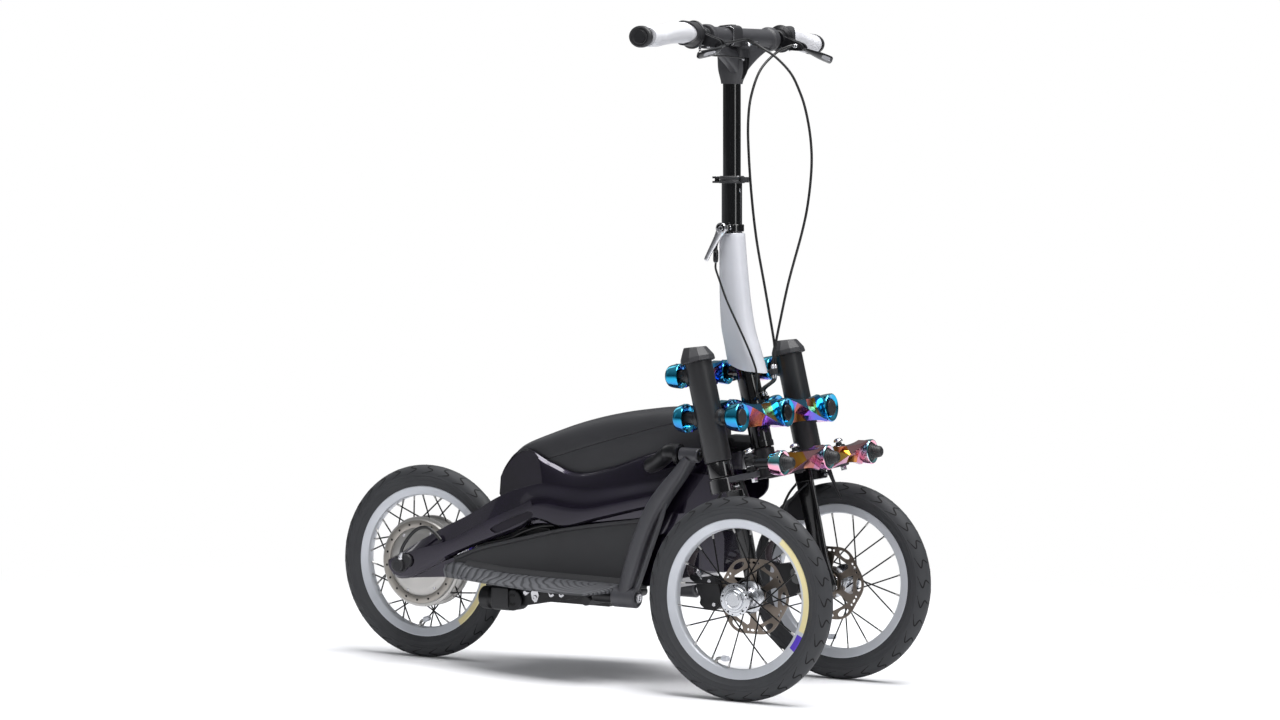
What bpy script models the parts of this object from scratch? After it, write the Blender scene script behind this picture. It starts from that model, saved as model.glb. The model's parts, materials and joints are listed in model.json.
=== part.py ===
"""Leaning three-wheel electric scooter: two front wheels on a parallelogram, hub motor behind.

Frame: +X forward, +Y to the rider's left, +Z up. The origin is on the ground, midway between
the axles. All lengths are in metres.
"""
import math

import bpy
import bmesh
from mathutils import Matrix, Vector

for old in list(bpy.data.objects):
    bpy.data.objects.remove(old, do_unlink=True)

# Clearances
SEAT_GAP = 0.0003
RUN_GAP = 0.0004
SWING_GAP = 0.0015

# Overall layout
WHEELBASE = 0.7296
TRACK = 0.366
CASTER = math.radians(14.5)
LEAN_TILT = math.radians(4.0)
LINK_HALF = 0.162

# Tyres and rims
TYRE_RADIUS = 0.1705
TYRE_HALF_WIDTH = 0.0178
RIM_RADIUS = 0.133
RIM_HALF_WIDTH = 0.0114
RIM_DEPTH = 0.0158
WHEEL_STEPS = 32

# Front hubs, measured from the wheel's middle plane, outboard positive
HUB_CAP_FACE = 0.0262
HUB_CAP_RADIUS = 0.0165
HUB_CAP_DEPTH = 0.0110
HUB_OUTER_FLANGE = 0.0180
HUB_INNER_FLANGE = -0.0320
HUB_FLANGE_RADIUS = 0.0275
HUB_FLANGE_WIDTH = 0.0030
HUB_WAIST_RADIUS = 0.0135
HUB_INNER_END = -0.0420
ROTOR_PLANE = -0.0455
ROTOR_RADIUS = 0.0670
ROTOR_THICKNESS = 0.0018
AXLE_RADIUS = 0.0075
SHOULDER_RADIUS = 0.0125
SPOKE_RADIUS = 0.0011
FRONT_SPOKES = 20

# Hub motor
MOTOR_RADIUS = 0.0745
MOTOR_HALF_WIDTH = 0.0250
MOTOR_COVER_RADIUS = 0.0600
MOTOR_COVER_RISE = 0.0060
MOTOR_FLANGE_RADIUS = 0.0800
REAR_SPOKES = 36
REAR_AXLE_RADIUS = 0.0060
REAR_AXLE_HALF = 0.1000

# Side tubes, measured along the caster line up from the wheel axle
TUBE_RADIUS = 0.0230
TUBE_WALL = 0.0055
TUBE_BOTTOM = 0.2304
TUBE_TOP = 0.3995
TUBE_CAP_HEIGHT = 0.0260
TUBE_CAP_RADIUS = 0.0300

# Fork legs
SLEEVE_RADIUS = 0.0195
STEERER_RADIUS = 0.0165
CROWN_BOTTOM = 0.1780
CROWN_TOP = 0.2030
LEG_OFFSET = 0.0360
LEG_THICKNESS = 0.0110
LEG_WIDTH = 0.0280
STEER_ARM_LENGTH = 0.0600
STEER_ARM_THICKNESS = 0.0110
STEER_PIN_RADIUS = 0.0055
YOKE_RADIUS = 0.0105

# Link arms, in the lean frame (its X is the lean axis, its Z is across it)
LOWER_PIVOT_HEIGHT = 0.4657
UPPER_RISE = 0.0710
TIE_DROP = 0.0770
LOWER_BOSS_RADIUS = 0.0245
UPPER_BOSS_RADIUS = 0.0210
TIE_BOSS_RADIUS = 0.0213
FRONT_ARM_FACE = 0.0630
FRONT_ARM_LENGTH = 0.0270
REAR_ARM_FACE = -0.0405
REAR_ARM_LENGTH = 0.0215
UPPER_ARM_FACE = -0.0484
UPPER_ARM_LENGTH = 0.0255
TIE_FACE = 0.1379
TIE_LENGTH = 0.0260
PIN_RADIUS = 0.0110
PIN_HEAD_RADIUS = 0.0145
PIN_HEAD_DEPTH = 0.0040
TIE_PIN_RADIUS = 0.0060
TIE_NOSE_RADIUS = 0.0125
TIE_NOSE_LENGTH = 0.0170
# The webs between the bosses, the first two as shares of the boss radius
WEB_ROOT = 0.76
WEB_HEIGHT = 1.16
WEB_THICKNESS = 0.0135
TIE_WEB = 0.0110

# Head tube and column, measured along the caster line up from the wheel axles' height
HEAD_RADIUS = 0.0190
HEAD_BORE = 0.0150
HEAD_BOTTOM = 0.2450
HEAD_TOP = 0.3900
SHAFT_RADIUS = HEAD_BORE - RUN_GAP
SHAFT_FOOT = 0.1930
SHAFT_TOP = 0.4300
POST_TILT = math.radians(-1.3)
POST_X = 0.2360
POST_BASE_Z = 0.7700
LOWER_POST_RADIUS = 0.0175
LOWER_POST_TOP = 0.0930
LOWER_POST_FOOT = -0.1500
COLLAR_HEIGHT = 0.0125
UPPER_POST_RADIUS = 0.0152
POST_STEPS = 16
UPPER_POST_FOOT = -0.0100

# Handlebar
BAR_HEIGHT = 1.1000
BAR_X = 0.2400
BAR_HALF = 0.3080
# How far the stem head's foot and top, and the upper post's top, lie under the bar
STEM_FOOT_DROP = 0.0780
STEM_TOP_DROP = 0.0070
POST_TOP_DROP = 0.0450
UPPER_POST_TOP = BAR_HEIGHT - POST_BASE_Z - POST_TOP_DROP
BAR_RADIUS = 0.0111
BAR_SWEEP = 0.0180
BAR_DROP = 0.0050
GRIP_LENGTH = 0.1380
BAR_END = 0.0140
GRIP_INNER = BAR_HALF - BAR_END - GRIP_LENGTH

# Hull, measured from the ground and the middle plane
HULL_HALF = 0.0760
RIDGE_HALF = 0.0535
RIDGE_RISE = 0.0060
HULL_BOTTOM = 0.2520
ARM_INNER = 0.0580
ARM_OUTER = 0.0880
ARM_END_RADIUS = 0.0250
COVER_HALF = 0.0490
CASE_HALF = 0.0600
CASE_FRONT = 0.0500
CASE_REAR = -0.1700
CASE_BOTTOM = 0.1450

# Foot parts, the same on both sides
FOOT_LINE = 0.1050
STRUT_OUTER = 0.1195
STRUT_WIDTH = 0.0290
EYE_RADIUS = 0.0175
TOP_EYE_X = 0.2218
TOP_EYE_Z = 0.4004
TOP_EYE_LENGTH = 0.0360
LOW_EYE_X = 0.1030
LOW_EYE_Z = 0.1477
LOW_EYE_LENGTH = 0.0450
PANEL_INNER = 0.0790
PANEL_OUTER = 0.0830
BOARD_TOP = 0.1660
BOARD_BOTTOM = 0.1540
BAR_OUTER = 0.1200
BAR_INNER = 0.0900
DRUM_RADIUS = 0.0200

AXLE_X = WHEELBASE / 2
SIDES = (("right", -1), ("left", 1))

CABLE_RADIUS = 0.0022
HULL_FRONT = 0.2350
NECK_REAR = 0.2243
COVER_FRONT = 0.2220
EYE_BOLT_RADIUS = 0.0060
NECK_RADIUS = 0.0110
DRUM_Z = 0.1280
CROSS_Z = 0.1350
CROSS_TUBES = (-0.1450, 0.0200)
CROSS_RADIUS = 0.0085
CROSS_HALF = BAR_INNER + 0.0120
LOCK_LEVER_Y = -0.0333
LOCK_LEVER_RISE = 0.0080
LOCK_BARREL = (0.2216, -0.0290, 0.7195)
# Places along the bar, in from the grip's inner end
BOSS_HALF = GRIP_INNER - 0.0520
BAR_BEND = GRIP_INNER - 0.0160
CLAMP_Y = GRIP_INNER - 0.0120
THROTTLE_Y = 0.0280 - GRIP_INNER
BAR_RISE = 0.0060
# The lever's pivot, from the bar's middle
LEVER_PIVOT = (0.0450, GRIP_INNER - 0.0090, -0.0140)
LEVER_TILT = math.radians(19.0)
LEVER_DROOP = math.radians(9.0)
LEVER_ARM_FACES = (GRIP_INNER - 0.0185, GRIP_INNER - 0.0010)
LEVER_EYE = 0.0085
LEVER_HALF = 0.0030
LEVER_PIN = 0.0030
# Cable stops: forward and left of the steering axis, and how far up it
CABLE_STOPS = ((0.0232, -0.0020), (0.0190, 0.0150), (0.0190, -0.0155))
STOP_RISE = 0.0251
CLIP_HEIGHT = 0.0100
CLIP_RIGHT_TOP = (0.3135, 0.0120, 0.5420)
CLIP_LEFT_TOP = (0.3135, 0.0200, 0.5420)

materials = {}


def material(name, colour, roughness, metallic=0.0):
    if name not in materials:
        made = bpy.data.materials.new(name)
        made.use_nodes = True
        shader = made.node_tree.nodes["Principled BSDF"]
        shader.inputs["Base Color"].default_value = (*colour, 1.0)
        shader.inputs["Roughness"].default_value = roughness
        shader.inputs["Metallic"].default_value = metallic
        materials[name] = made
    return materials[name]


RUBBER = material("tyre rubber", (0.035, 0.035, 0.037), 0.75)
RIM_METAL = material("silver anodised rim", (0.62, 0.64, 0.66), 0.35, 0.8)
CHROME = material("polished hub", (0.75, 0.76, 0.78), 0.15, 1.0)
STEEL = material("rotor steel", (0.42, 0.39, 0.36), 0.35, 1.0)
BLACK_SATIN = material("satin black paint", (0.02, 0.02, 0.021), 0.4)
BLACK_GLOSS = material("gloss black paint", (0.012, 0.012, 0.013), 0.12)
BLACK_PLASTIC = material("black moulded plastic", (0.03, 0.03, 0.031), 0.55)
CHARCOAL = material("charcoal moulded cover", (0.045, 0.045, 0.047), 0.6)
HULL_PAINT = material("dark violet metallic paint", (0.035, 0.026, 0.042), 0.2, 0.5)
WHITE = material("white gloss shell", (0.8, 0.8, 0.82), 0.25)
TITANIUM = material("heat-tinted plating", (0.25, 0.45, 0.65), 0.15, 1.0)
ROSE = material("rose heat-tinted plating", (0.62, 0.35, 0.45), 0.18, 1.0)
CABLE_SKIN = material("cable housing", (0.015, 0.015, 0.016), 0.45)


# Placing: an empty on each axis, and every piece hangs from one of them

def frame_at(name, matrix, parent=None):
    empty = bpy.data.objects.new(name, None)
    empty.empty_display_size = 0.02
    bpy.context.collection.objects.link(empty)
    empty.parent = parent
    empty.matrix_basis = matrix
    return empty


def piece(name, bm, finish, frame, smooth=35.0):
    bmesh.ops.recalc_face_normals(bm, faces=bm.faces)
    mesh = bpy.data.meshes.new(name)
    bm.to_mesh(mesh)
    bm.free()
    mesh.materials.append(finish)
    mesh.shade_smooth()
    mesh.set_sharp_from_angle(angle=math.radians(smooth))
    made = bpy.data.objects.new(name, mesh)
    bpy.context.collection.objects.link(made)
    made.parent = frame
    return made


def tool(name, bm, frame):
    made = piece(name, bm, BLACK_PLASTIC, frame)
    made.hide_render = True
    made.display_type = "WIRE"
    return made


def combine(base, other, operation, self_crossing=False):
    step = base.modifiers.new(operation.title() + " " + other.name, "BOOLEAN")
    step.operation = operation
    step.solver = "EXACT"
    step.object = other
    step.use_self = self_crossing


def fuse(base, bm, frame, self_crossing=False):
    combine(base, tool(base.name + "_add", bm, frame), "UNION", self_crossing)


def cut(base, bm, frame, self_crossing=False):
    combine(base, tool(base.name + "_cut", bm, frame), "DIFFERENCE", self_crossing)


# Shapes, each written into a bmesh

def bridge(bm, rings):
    for lower, upper in zip(rings, rings[1:]):
        for step in range(len(lower)):
            after = (step + 1) % len(lower)
            bm.faces.new([lower[step], lower[after], upper[after], upper[step]])


def along(axis, radial, angle, distance):
    across, up = radial * math.cos(angle), radial * math.sin(angle)
    return {"X": (distance, across, up), "Y": (across, distance, up), "Z": (across, up, distance)}[axis]


def turned(profile, steps, axis="Z", bm=None, centre=(0.0, 0.0, 0.0)):
    """A solid of revolution from a closed loop of (radius, distance along the axis).

    A radius of zero closes the ring before or after it with a flat face.
    """
    bm = bm or bmesh.new()
    angles = [2 * math.pi * (step + 0.5) / steps for step in range(steps)]
    rings = []
    for radius, distance in profile:
        rings.append([] if radius < 1e-7 else [
            bm.verts.new(Vector(centre) + Vector(along(axis, radius, angle, distance))) for angle in angles])
    for lower, upper in zip(rings, rings[1:] + rings[:1]):
        if lower and upper:
            bridge(bm, [lower, upper])
        elif lower or upper:
            bm.faces.new(lower or upper)
    return bm


def cylinder(radius, low, high, steps=16, axis="Z", centre=(0.0, 0.0, 0.0), bm=None, edge=0.0):
    profile = [(0.0, low), (radius - edge, low), (radius, low + edge), (radius, high - edge),
               (radius - edge, high), (0.0, high)]
    if edge == 0.0:
        profile = [(0.0, low), (radius, low), (radius, high), (0.0, high)]
    return turned(profile, steps, axis, bm, centre)


def clear_of(radius, steps):
    """Radius of a bore with flat sides in which a round piece of the given radius turns freely."""
    return (radius + RUN_GAP) / math.cos(math.pi / steps)


def ring(outer, inner, low, high, steps=16, axis="Z", bm=None, centre=(0.0, 0.0, 0.0)):
    return turned([(inner, low), (outer, low), (outer, high), (inner, high)], steps, axis, bm, centre)


def prism(outline, low, high, axis="Y", bm=None):
    """An outline of two coordinates, drawn out along the third."""
    bm = bm or bmesh.new()
    order = {"X": lambda a, b, h: (h, a, b), "Y": lambda a, b, h: (a, h, b), "Z": lambda a, b, h: (a, b, h)}
    ends = [[bm.verts.new(order[axis](a, b, h)) for a, b in outline] for h in (low, high)]
    bridge(bm, ends)
    for end in ends:
        bm.faces.new(end)
    return bm


def box(low, high, bm=None):
    return prism([(low[0], low[1]), (high[0], low[1]), (high[0], high[1]), (low[0], high[1])],
                 low[2], high[2], "Z", bm)


def loft(sections, bm=None):
    bm = bm or bmesh.new()
    rings = [[bm.verts.new(point) for point in section] for section in sections]
    bridge(bm, rings)
    bm.faces.new(rings[0])
    bm.faces.new(rings[-1])
    return bm


def rod(start, end, radius, steps=12, bm=None):
    return rod_steps([(start, radius), (end, radius)], steps, bm)


def rod_steps(stations, steps=12, bm=None):
    """A round bar through stations of (point, radius)."""
    points = [Vector(point) for point, _ in stations]
    direction = (points[-1] - points[0]).normalized()
    side = direction.cross(Vector((0.31, 0.17, 0.93))).normalized()
    up = direction.cross(side)
    return loft([[point + radius * (math.cos(a) * side + math.sin(a) * up)
                  for a in (2 * math.pi * step / steps for step in range(steps))]
                 for point, (_, radius) in zip(points, stations)], bm)


def smooth_route(points, spacing):
    """Points every so often on a smooth curve through the given ones."""
    given = [Vector(point) for point in points]
    padded = [2 * given[0] - given[1]] + given + [2 * given[-1] - given[-2]]
    route = []
    for before, start, end, after in zip(padded, padded[1:], padded[2:], padded[3:]):
        pieces = max(1, round((end - start).length / spacing))
        for step in range(pieces):
            t = step / pieces
            route.append(0.5 * (2 * start + (end - before) * t
                                + (2 * before - 5 * start + 4 * end - after) * t * t
                                + (3 * start - before - 3 * end + after) * t ** 3))
    return route + [given[-1]]


def cable(name, points, radius=CABLE_RADIUS, spacing=0.013):
    curve = bpy.data.curves.new(name, "CURVE")
    curve.dimensions = "3D"
    curve.bevel_depth = radius
    curve.bevel_resolution = 2
    curve.use_fill_caps = True
    curve.resolution_u = 1
    curve.render_resolution_u = 0
    line = curve.splines.new("POLY")
    route = smooth_route(points, spacing)
    line.points.add(len(route) - 1)
    for place, point in zip(line.points, route):
        place.co = (*point, 1.0)
    curve.materials.append(CABLE_SKIN)
    made = bpy.data.objects.new(name, curve)
    bpy.context.collection.objects.link(made)
    return made


# Frames of the joints

def turn_y(angle):
    return Matrix.Rotation(angle, 4, "Y")


caster_way = Vector((-math.sin(CASTER), 0.0, math.cos(CASTER)))
pivot_along = (LOWER_PIVOT_HEIGHT - TYRE_RADIUS) / math.cos(CASTER)
lean_origin = Vector((AXLE_X, 0.0, TYRE_RADIUS)) + pivot_along * caster_way
stop_along = pivot_along + STOP_RISE

world_frame = frame_at("ground_middle", Matrix.Identity(4))
rear_frame = frame_at("rear_axle_line", Matrix.Translation((-AXLE_X, 0.0, TYRE_RADIUS)), world_frame)
lean_frame = frame_at("lean_axis", Matrix.Translation(lean_origin) @ turn_y(-LEAN_TILT), world_frame)
upper_frame = frame_at("upper_arm_axis", Matrix.Translation((0.0, 0.0, UPPER_RISE)), lean_frame)
tie_frame = frame_at("tie_rod_axis", Matrix.Translation((0.0, 0.0, -TIE_DROP)), lean_frame)
head_frame = frame_at("steering_axis", Matrix.Translation((AXLE_X, 0.0, TYRE_RADIUS)) @ turn_y(-CASTER),
                      world_frame)
post_frame = frame_at("post_axis", Matrix.Translation((POST_X, 0.0, POST_BASE_Z)) @ turn_y(POST_TILT),
                      world_frame)
bar_frame = frame_at("bar_middle", Matrix.Translation((BAR_X, 0.0, BAR_HEIGHT)), world_frame)
link_frames = {}
leg_frames = {}
wheel_frames = {}
lever_frames = {}
for side_name, out in SIDES:
    link_frames[side_name] = frame_at(side_name + "_link_axis",
                                      Matrix.Translation((0.0, out * LINK_HALF, 0.0)), lean_frame)
    leg_frames[side_name] = frame_at(side_name + "_caster_axis", Matrix.Translation(
        (AXLE_X, out * LINK_HALF, TYRE_RADIUS)) @ turn_y(-CASTER), world_frame)
    wheel_frames[side_name] = frame_at(side_name + "_wheel_axis", Matrix.Translation(
        (AXLE_X, out * TRACK / 2, TYRE_RADIUS)), world_frame)
    lever_frames[out] = frame_at(side_name + "_lever_axis", Matrix.Translation(
        (LEVER_PIVOT[0], out * LEVER_PIVOT[1], LEVER_PIVOT[2])) @ turn_y(LEVER_TILT)
        @ Matrix.Rotation(-out * LEVER_DROOP, 4, "X"), bar_frame)


# Wheels

def make_tyre(name, frame):
    half, outer, seat = TYRE_HALF_WIDTH, TYRE_RADIUS, RIM_RADIUS + SEAT_GAP
    flat = 1.0 / math.cos(math.pi / WHEEL_STEPS)
    bead = RIM_HALF_WIDTH - 0.0005
    section = [(seat, -bead), (seat + 0.0150, -half), (outer - 0.0075, -0.76 * half), (outer, 0.0)]
    section += [(r, -y) for r, y in section[-2::-1]]
    profile = [(r * flat, y) for r, y in section]
    return piece(name, turned(profile, WHEEL_STEPS, "Y"), RUBBER, frame)


def make_rim(name, frame):
    flat = 1.0 / math.cos(math.pi / WHEEL_STEPS)
    inner = RIM_RADIUS - RIM_DEPTH
    section = [(inner, -0.55 * RIM_HALF_WIDTH), (RIM_RADIUS, -RIM_HALF_WIDTH)]
    section += [(r, -y) for r, y in section[::-1]]
    return piece(name, turned([(r * flat, y) for r, y in section], WHEEL_STEPS, "Y"), RIM_METAL, frame)


def spokes(count, hub_radius, flanges, lag, sides=3):
    """Tangent spokes from two flanges to the rim."""
    bm = bmesh.new()
    rim_reach = RIM_RADIUS - RIM_DEPTH - 2.5 * SEAT_GAP
    for index in range(count):
        rim_angle = 2 * math.pi * (index + 0.5) / count
        flange = flanges[index % 2]
        sway = lag if (index // 2) % 2 else -lag
        hub_angle = rim_angle + sway
        tuck = 0.0016 if (index // 2) % 2 else -0.0016
        start = Vector((hub_radius * math.cos(hub_angle), flange + tuck * 0.3,
                        hub_radius * math.sin(hub_angle)))
        end = Vector((rim_reach * math.cos(rim_angle), 0.12 * flange, rim_reach * math.sin(rim_angle)))
        rod_steps([(start, SPOKE_RADIUS), (end, SPOKE_RADIUS)], sides, bm)
    return bm


def make_front_hub(name, frame, out):
    bore = AXLE_RADIUS + RUN_GAP
    flange, waist, width = HUB_FLANGE_RADIUS, HUB_WAIST_RADIUS, HUB_FLANGE_WIDTH
    outer, inner = HUB_OUTER_FLANGE, HUB_INNER_FLANGE
    cap = HUB_CAP_RADIUS
    profile = [(bore, HUB_INNER_END), (0.0185, HUB_INNER_END), (flange, inner - width / 2),
               (flange, inner + width / 2), (waist, inner + 0.012), (waist, outer - 0.008),
               (flange, outer - width / 2), (flange, outer + width / 2), (cap, outer + width),
               (cap, HUB_CAP_FACE), (0.0, HUB_CAP_FACE), (0.0, HUB_CAP_FACE - HUB_CAP_DEPTH),
               (bore, HUB_CAP_FACE - HUB_CAP_DEPTH)]
    made = piece(name, turned([(r, out * y) for r, y in profile], 16, "Y"), CHROME, frame)
    wires = spokes(FRONT_SPOKES, flange - 0.004, (out * outer, out * inner), math.radians(58))
    fuse(made, wires, frame, True)
    return made


def make_rotor(name, frame, plane, radius, out):
    """A wave rotor: a waved ring on six curved arms."""
    half = ROTOR_THICKNESS / 2
    waves, steps = 6, 24
    angles = [2 * math.pi * step / steps for step in range(steps)]
    depth = 0.0022
    outer = [((radius - depth + depth * math.cos(waves * a)) * math.cos(a),
              (radius - depth + depth * math.cos(waves * a)) * math.sin(a)) for a in angles]
    made = piece(name, prism(outer, plane - half, plane + half, "Y"), STEEL, frame)
    window = bmesh.new()
    inside, core = radius - 0.0155, 0.0215
    for index in range(waves):
        middle = 2 * math.pi * index / waves
        reach = math.pi / waves
        pattern = [(inside, -0.80), (inside + 0.002, 0.0), (inside, 0.80), (0.6 * inside, 0.95), (core, 0.75),
                   (core, -0.35), (0.6 * inside, -0.50)]
        prism([(r * math.cos(middle + s * reach + (inside - r) * 12 * out),
                r * math.sin(middle + s * reach + (inside - r) * 12 * out)) for r, s in pattern],
              plane - 2 * half, plane + 2 * half, "Y", window)
    cut(made, window, frame)
    return made


def make_front_wheel(side, out):
    frame = wheel_frames[side]
    make_tyre(side + "_front_tyre", frame)
    make_rim(side + "_front_rim", frame)
    make_front_hub(side + "_front_hub", frame, out)
    plane = out * ROTOR_PLANE
    rotor = make_rotor(side + "_front_rotor", frame, plane, ROTOR_RADIUS, out)
    # The rotor's middle carries a mounting ring that reaches the hub's inner end
    bore = SHOULDER_RADIUS + RUN_GAP
    cut(rotor, cylinder(bore, plane - 0.004, plane + 0.004, 16, "Y"), frame)
    seat = out * (HUB_INNER_END - SEAT_GAP)
    low, high = sorted((plane - out * ROTOR_THICKNESS * 0.2, seat))
    fuse(rotor, ring(0.0200, bore, low, high, 16, "Y"), frame)


def make_hub_motor():
    bore = REAR_AXLE_RADIUS + RUN_GAP
    half, body, cover = MOTOR_HALF_WIDTH, MOTOR_RADIUS, MOTOR_COVER_RADIUS
    lip = half + MOTOR_COVER_RISE
    flange = MOTOR_FLANGE_RADIUS
    profile = [(bore, -lip), (cover - 0.012, -lip), (cover, -half), (body, -half), (flange, -half + 0.006),
               (flange, -half + 0.009), (body, -half + 0.010), (body, half - 0.010), (flange, half - 0.009),
               (flange, half - 0.006), (body, half), (cover, half), (cover - 0.012, lip), (bore, lip)]
    made = piece("hub_motor", turned(profile, 24, "Y"), CHROME, rear_frame)
    flange_planes = (half - 0.0075, -half + 0.0075)
    fuse(made, spokes(REAR_SPOKES, flange - 0.003, flange_planes, math.radians(17)), rear_frame, True)
    return made


def make_rear_wheel():
    make_tyre("rear_tyre", rear_frame)
    make_rim("rear_rim", rear_frame)
    make_hub_motor()


def make_rear_axle():
    reach, seat = REAR_AXLE_HALF, ARM_OUTER + SEAT_GAP
    profile = [(0.0, -reach), (0.0110, -reach), (0.0125, -reach + 0.002), (0.0125, -seat),
               (REAR_AXLE_RADIUS, -seat)]
    profile += [(r, -y) for r, y in profile[::-1]]
    return piece("rear_axle", turned(profile, 16, "Y"), BLACK_PLASTIC, rear_frame)


# The leaning linkage

def boss_ring(radius, low, high, y, z=0.0, bm=None):
    """A boss on the lean axis direction, chamfered in front."""
    edge = 0.0025
    profile = [(0.0, low), (radius, low), (radius, high - edge), (radius - edge, high), (0.0, high)]
    return turned(profile, 16, "X", bm, (0.0, y, z))


def twisted_web(y_start, y_end, middle, height, depth, thickness, flat_end):
    """A web between two bosses: upright at one end, turned flat at the other."""
    sections = []
    for step in range(5):
        t = step / 4
        angle = math.radians(78) * (t if flat_end else 1.0 - t)
        tall = height / 2 * math.cos(angle) ** 2 + depth / 2 * math.sin(angle) ** 2
        half = thickness / 2
        outline = [(-half, -tall * 0.6), (0.0, -tall), (half, -tall * 0.6), (half, tall * 0.6), (0.0, tall),
                   (-half, tall * 0.6)]
        sections.append([(middle + u * math.cos(angle) - w * math.sin(angle), y_start + (y_end - y_start) * t,
                          u * math.sin(angle) + w * math.cos(angle)) for u, w in outline])
    return loft(sections)


def make_link_arm(name, frame, face, length, radius, heads_at_front, finish):
    """Three bosses in a row, twisted webs between them, bored for the pivot pins."""
    back = face - length
    middle = (face + back) / 2
    made = piece(name, boss_ring(radius, back, face, 0.0), finish, frame)
    for _, out in SIDES:
        fuse(made, boss_ring(radius, back, face, out * LINK_HALF), frame)
        inner, outer = WEB_ROOT * radius, LINK_HALF - WEB_ROOT * radius
        web = twisted_web(out * inner, out * outer, middle, WEB_HEIGHT * radius, length - 2 * SWING_GAP,
                          WEB_THICKNESS, out > 0)
        fuse(made, web, frame)
    for place in (-1, 0, 1):
        y = place * LINK_HALF
        cut(made, cylinder(clear_of(PIN_RADIUS, 12), back - 0.01, face + 0.01, 12, "X", (0.0, y, 0.0)), frame)
        low, high = back - 0.01, back + PIN_HEAD_DEPTH
        if heads_at_front:
            low, high = face - PIN_HEAD_DEPTH, face + 0.01
        cut(made, cylinder(clear_of(PIN_HEAD_RADIUS, 12), low, high, 12, "X", (0.0, y, 0.0)), frame)
    return made


def pin_profile(seat, face, head_out):
    """A headed pin from its seat inside the tube wall to the outer face of a boss."""
    neck = face - head_out * (PIN_HEAD_DEPTH - SEAT_GAP)
    return [(0.0, seat), (PIN_RADIUS, seat), (PIN_RADIUS, neck), (PIN_HEAD_RADIUS, neck),
            (PIN_HEAD_RADIUS, face), (0.0, face)]


def add_pivot_pins(made, frame, shell, bore):
    """The lower front, lower rear and upper rear pins, fused to the tube that carries them."""
    seat = (shell + bore) / 2
    for face, head_out, rise in ((FRONT_ARM_FACE, 1, 0.0),
                                 (REAR_ARM_FACE - REAR_ARM_LENGTH, -1, 0.0),
                                 (UPPER_ARM_FACE - UPPER_ARM_LENGTH, -1, UPPER_RISE)):
        lean = -rise * math.tan(CASTER - LEAN_TILT)
        profile = pin_profile(lean + head_out * seat, face, head_out)
        fuse(made, turned(profile, 12, "X", None, (0.0, 0.0, rise)), frame)


def make_linkage():
    make_link_arm("lower_arm_front", lean_frame, FRONT_ARM_FACE, FRONT_ARM_LENGTH, LOWER_BOSS_RADIUS, True,
                  TITANIUM)
    make_link_arm("lower_arm_rear", lean_frame, REAR_ARM_FACE, REAR_ARM_LENGTH, LOWER_BOSS_RADIUS, False,
                  TITANIUM)
    make_link_arm("upper_arm", upper_frame, UPPER_ARM_FACE, UPPER_ARM_LENGTH, UPPER_BOSS_RADIUS, False,
                  TITANIUM)


def make_side_tube(side):
    """A closed-top tube on the caster line; the fork's steerer turns in its bore."""
    frame = leg_frames[side]
    bore = TUBE_RADIUS - TUBE_WALL
    roof = TUBE_TOP - 0.008
    profile = [(bore, TUBE_BOTTOM), (TUBE_RADIUS, TUBE_BOTTOM), (TUBE_RADIUS, TUBE_TOP), (0.0, TUBE_TOP),
               (0.0, roof), (bore, roof)]
    made = piece(side + "_side_tube", turned(profile, 20), BLACK_SATIN, frame)
    add_pivot_pins(made, link_frames[side], TUBE_RADIUS, bore)
    low, shoulder, top = TUBE_TOP + SEAT_GAP, TUBE_TOP + 0.007, TUBE_TOP + TUBE_CAP_HEIGHT
    wide, narrow = TUBE_CAP_RADIUS, 0.6 * TUBE_CAP_RADIUS
    cap = [(0.0, low), (TUBE_RADIUS + 0.002, low), (wide, low + 0.001), (wide, shoulder), (narrow, top),
           (0.0, top)]
    piece(side + "_tube_cap", turned(cap, 8, "Z"), BLACK_PLASTIC, frame, 20)


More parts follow.
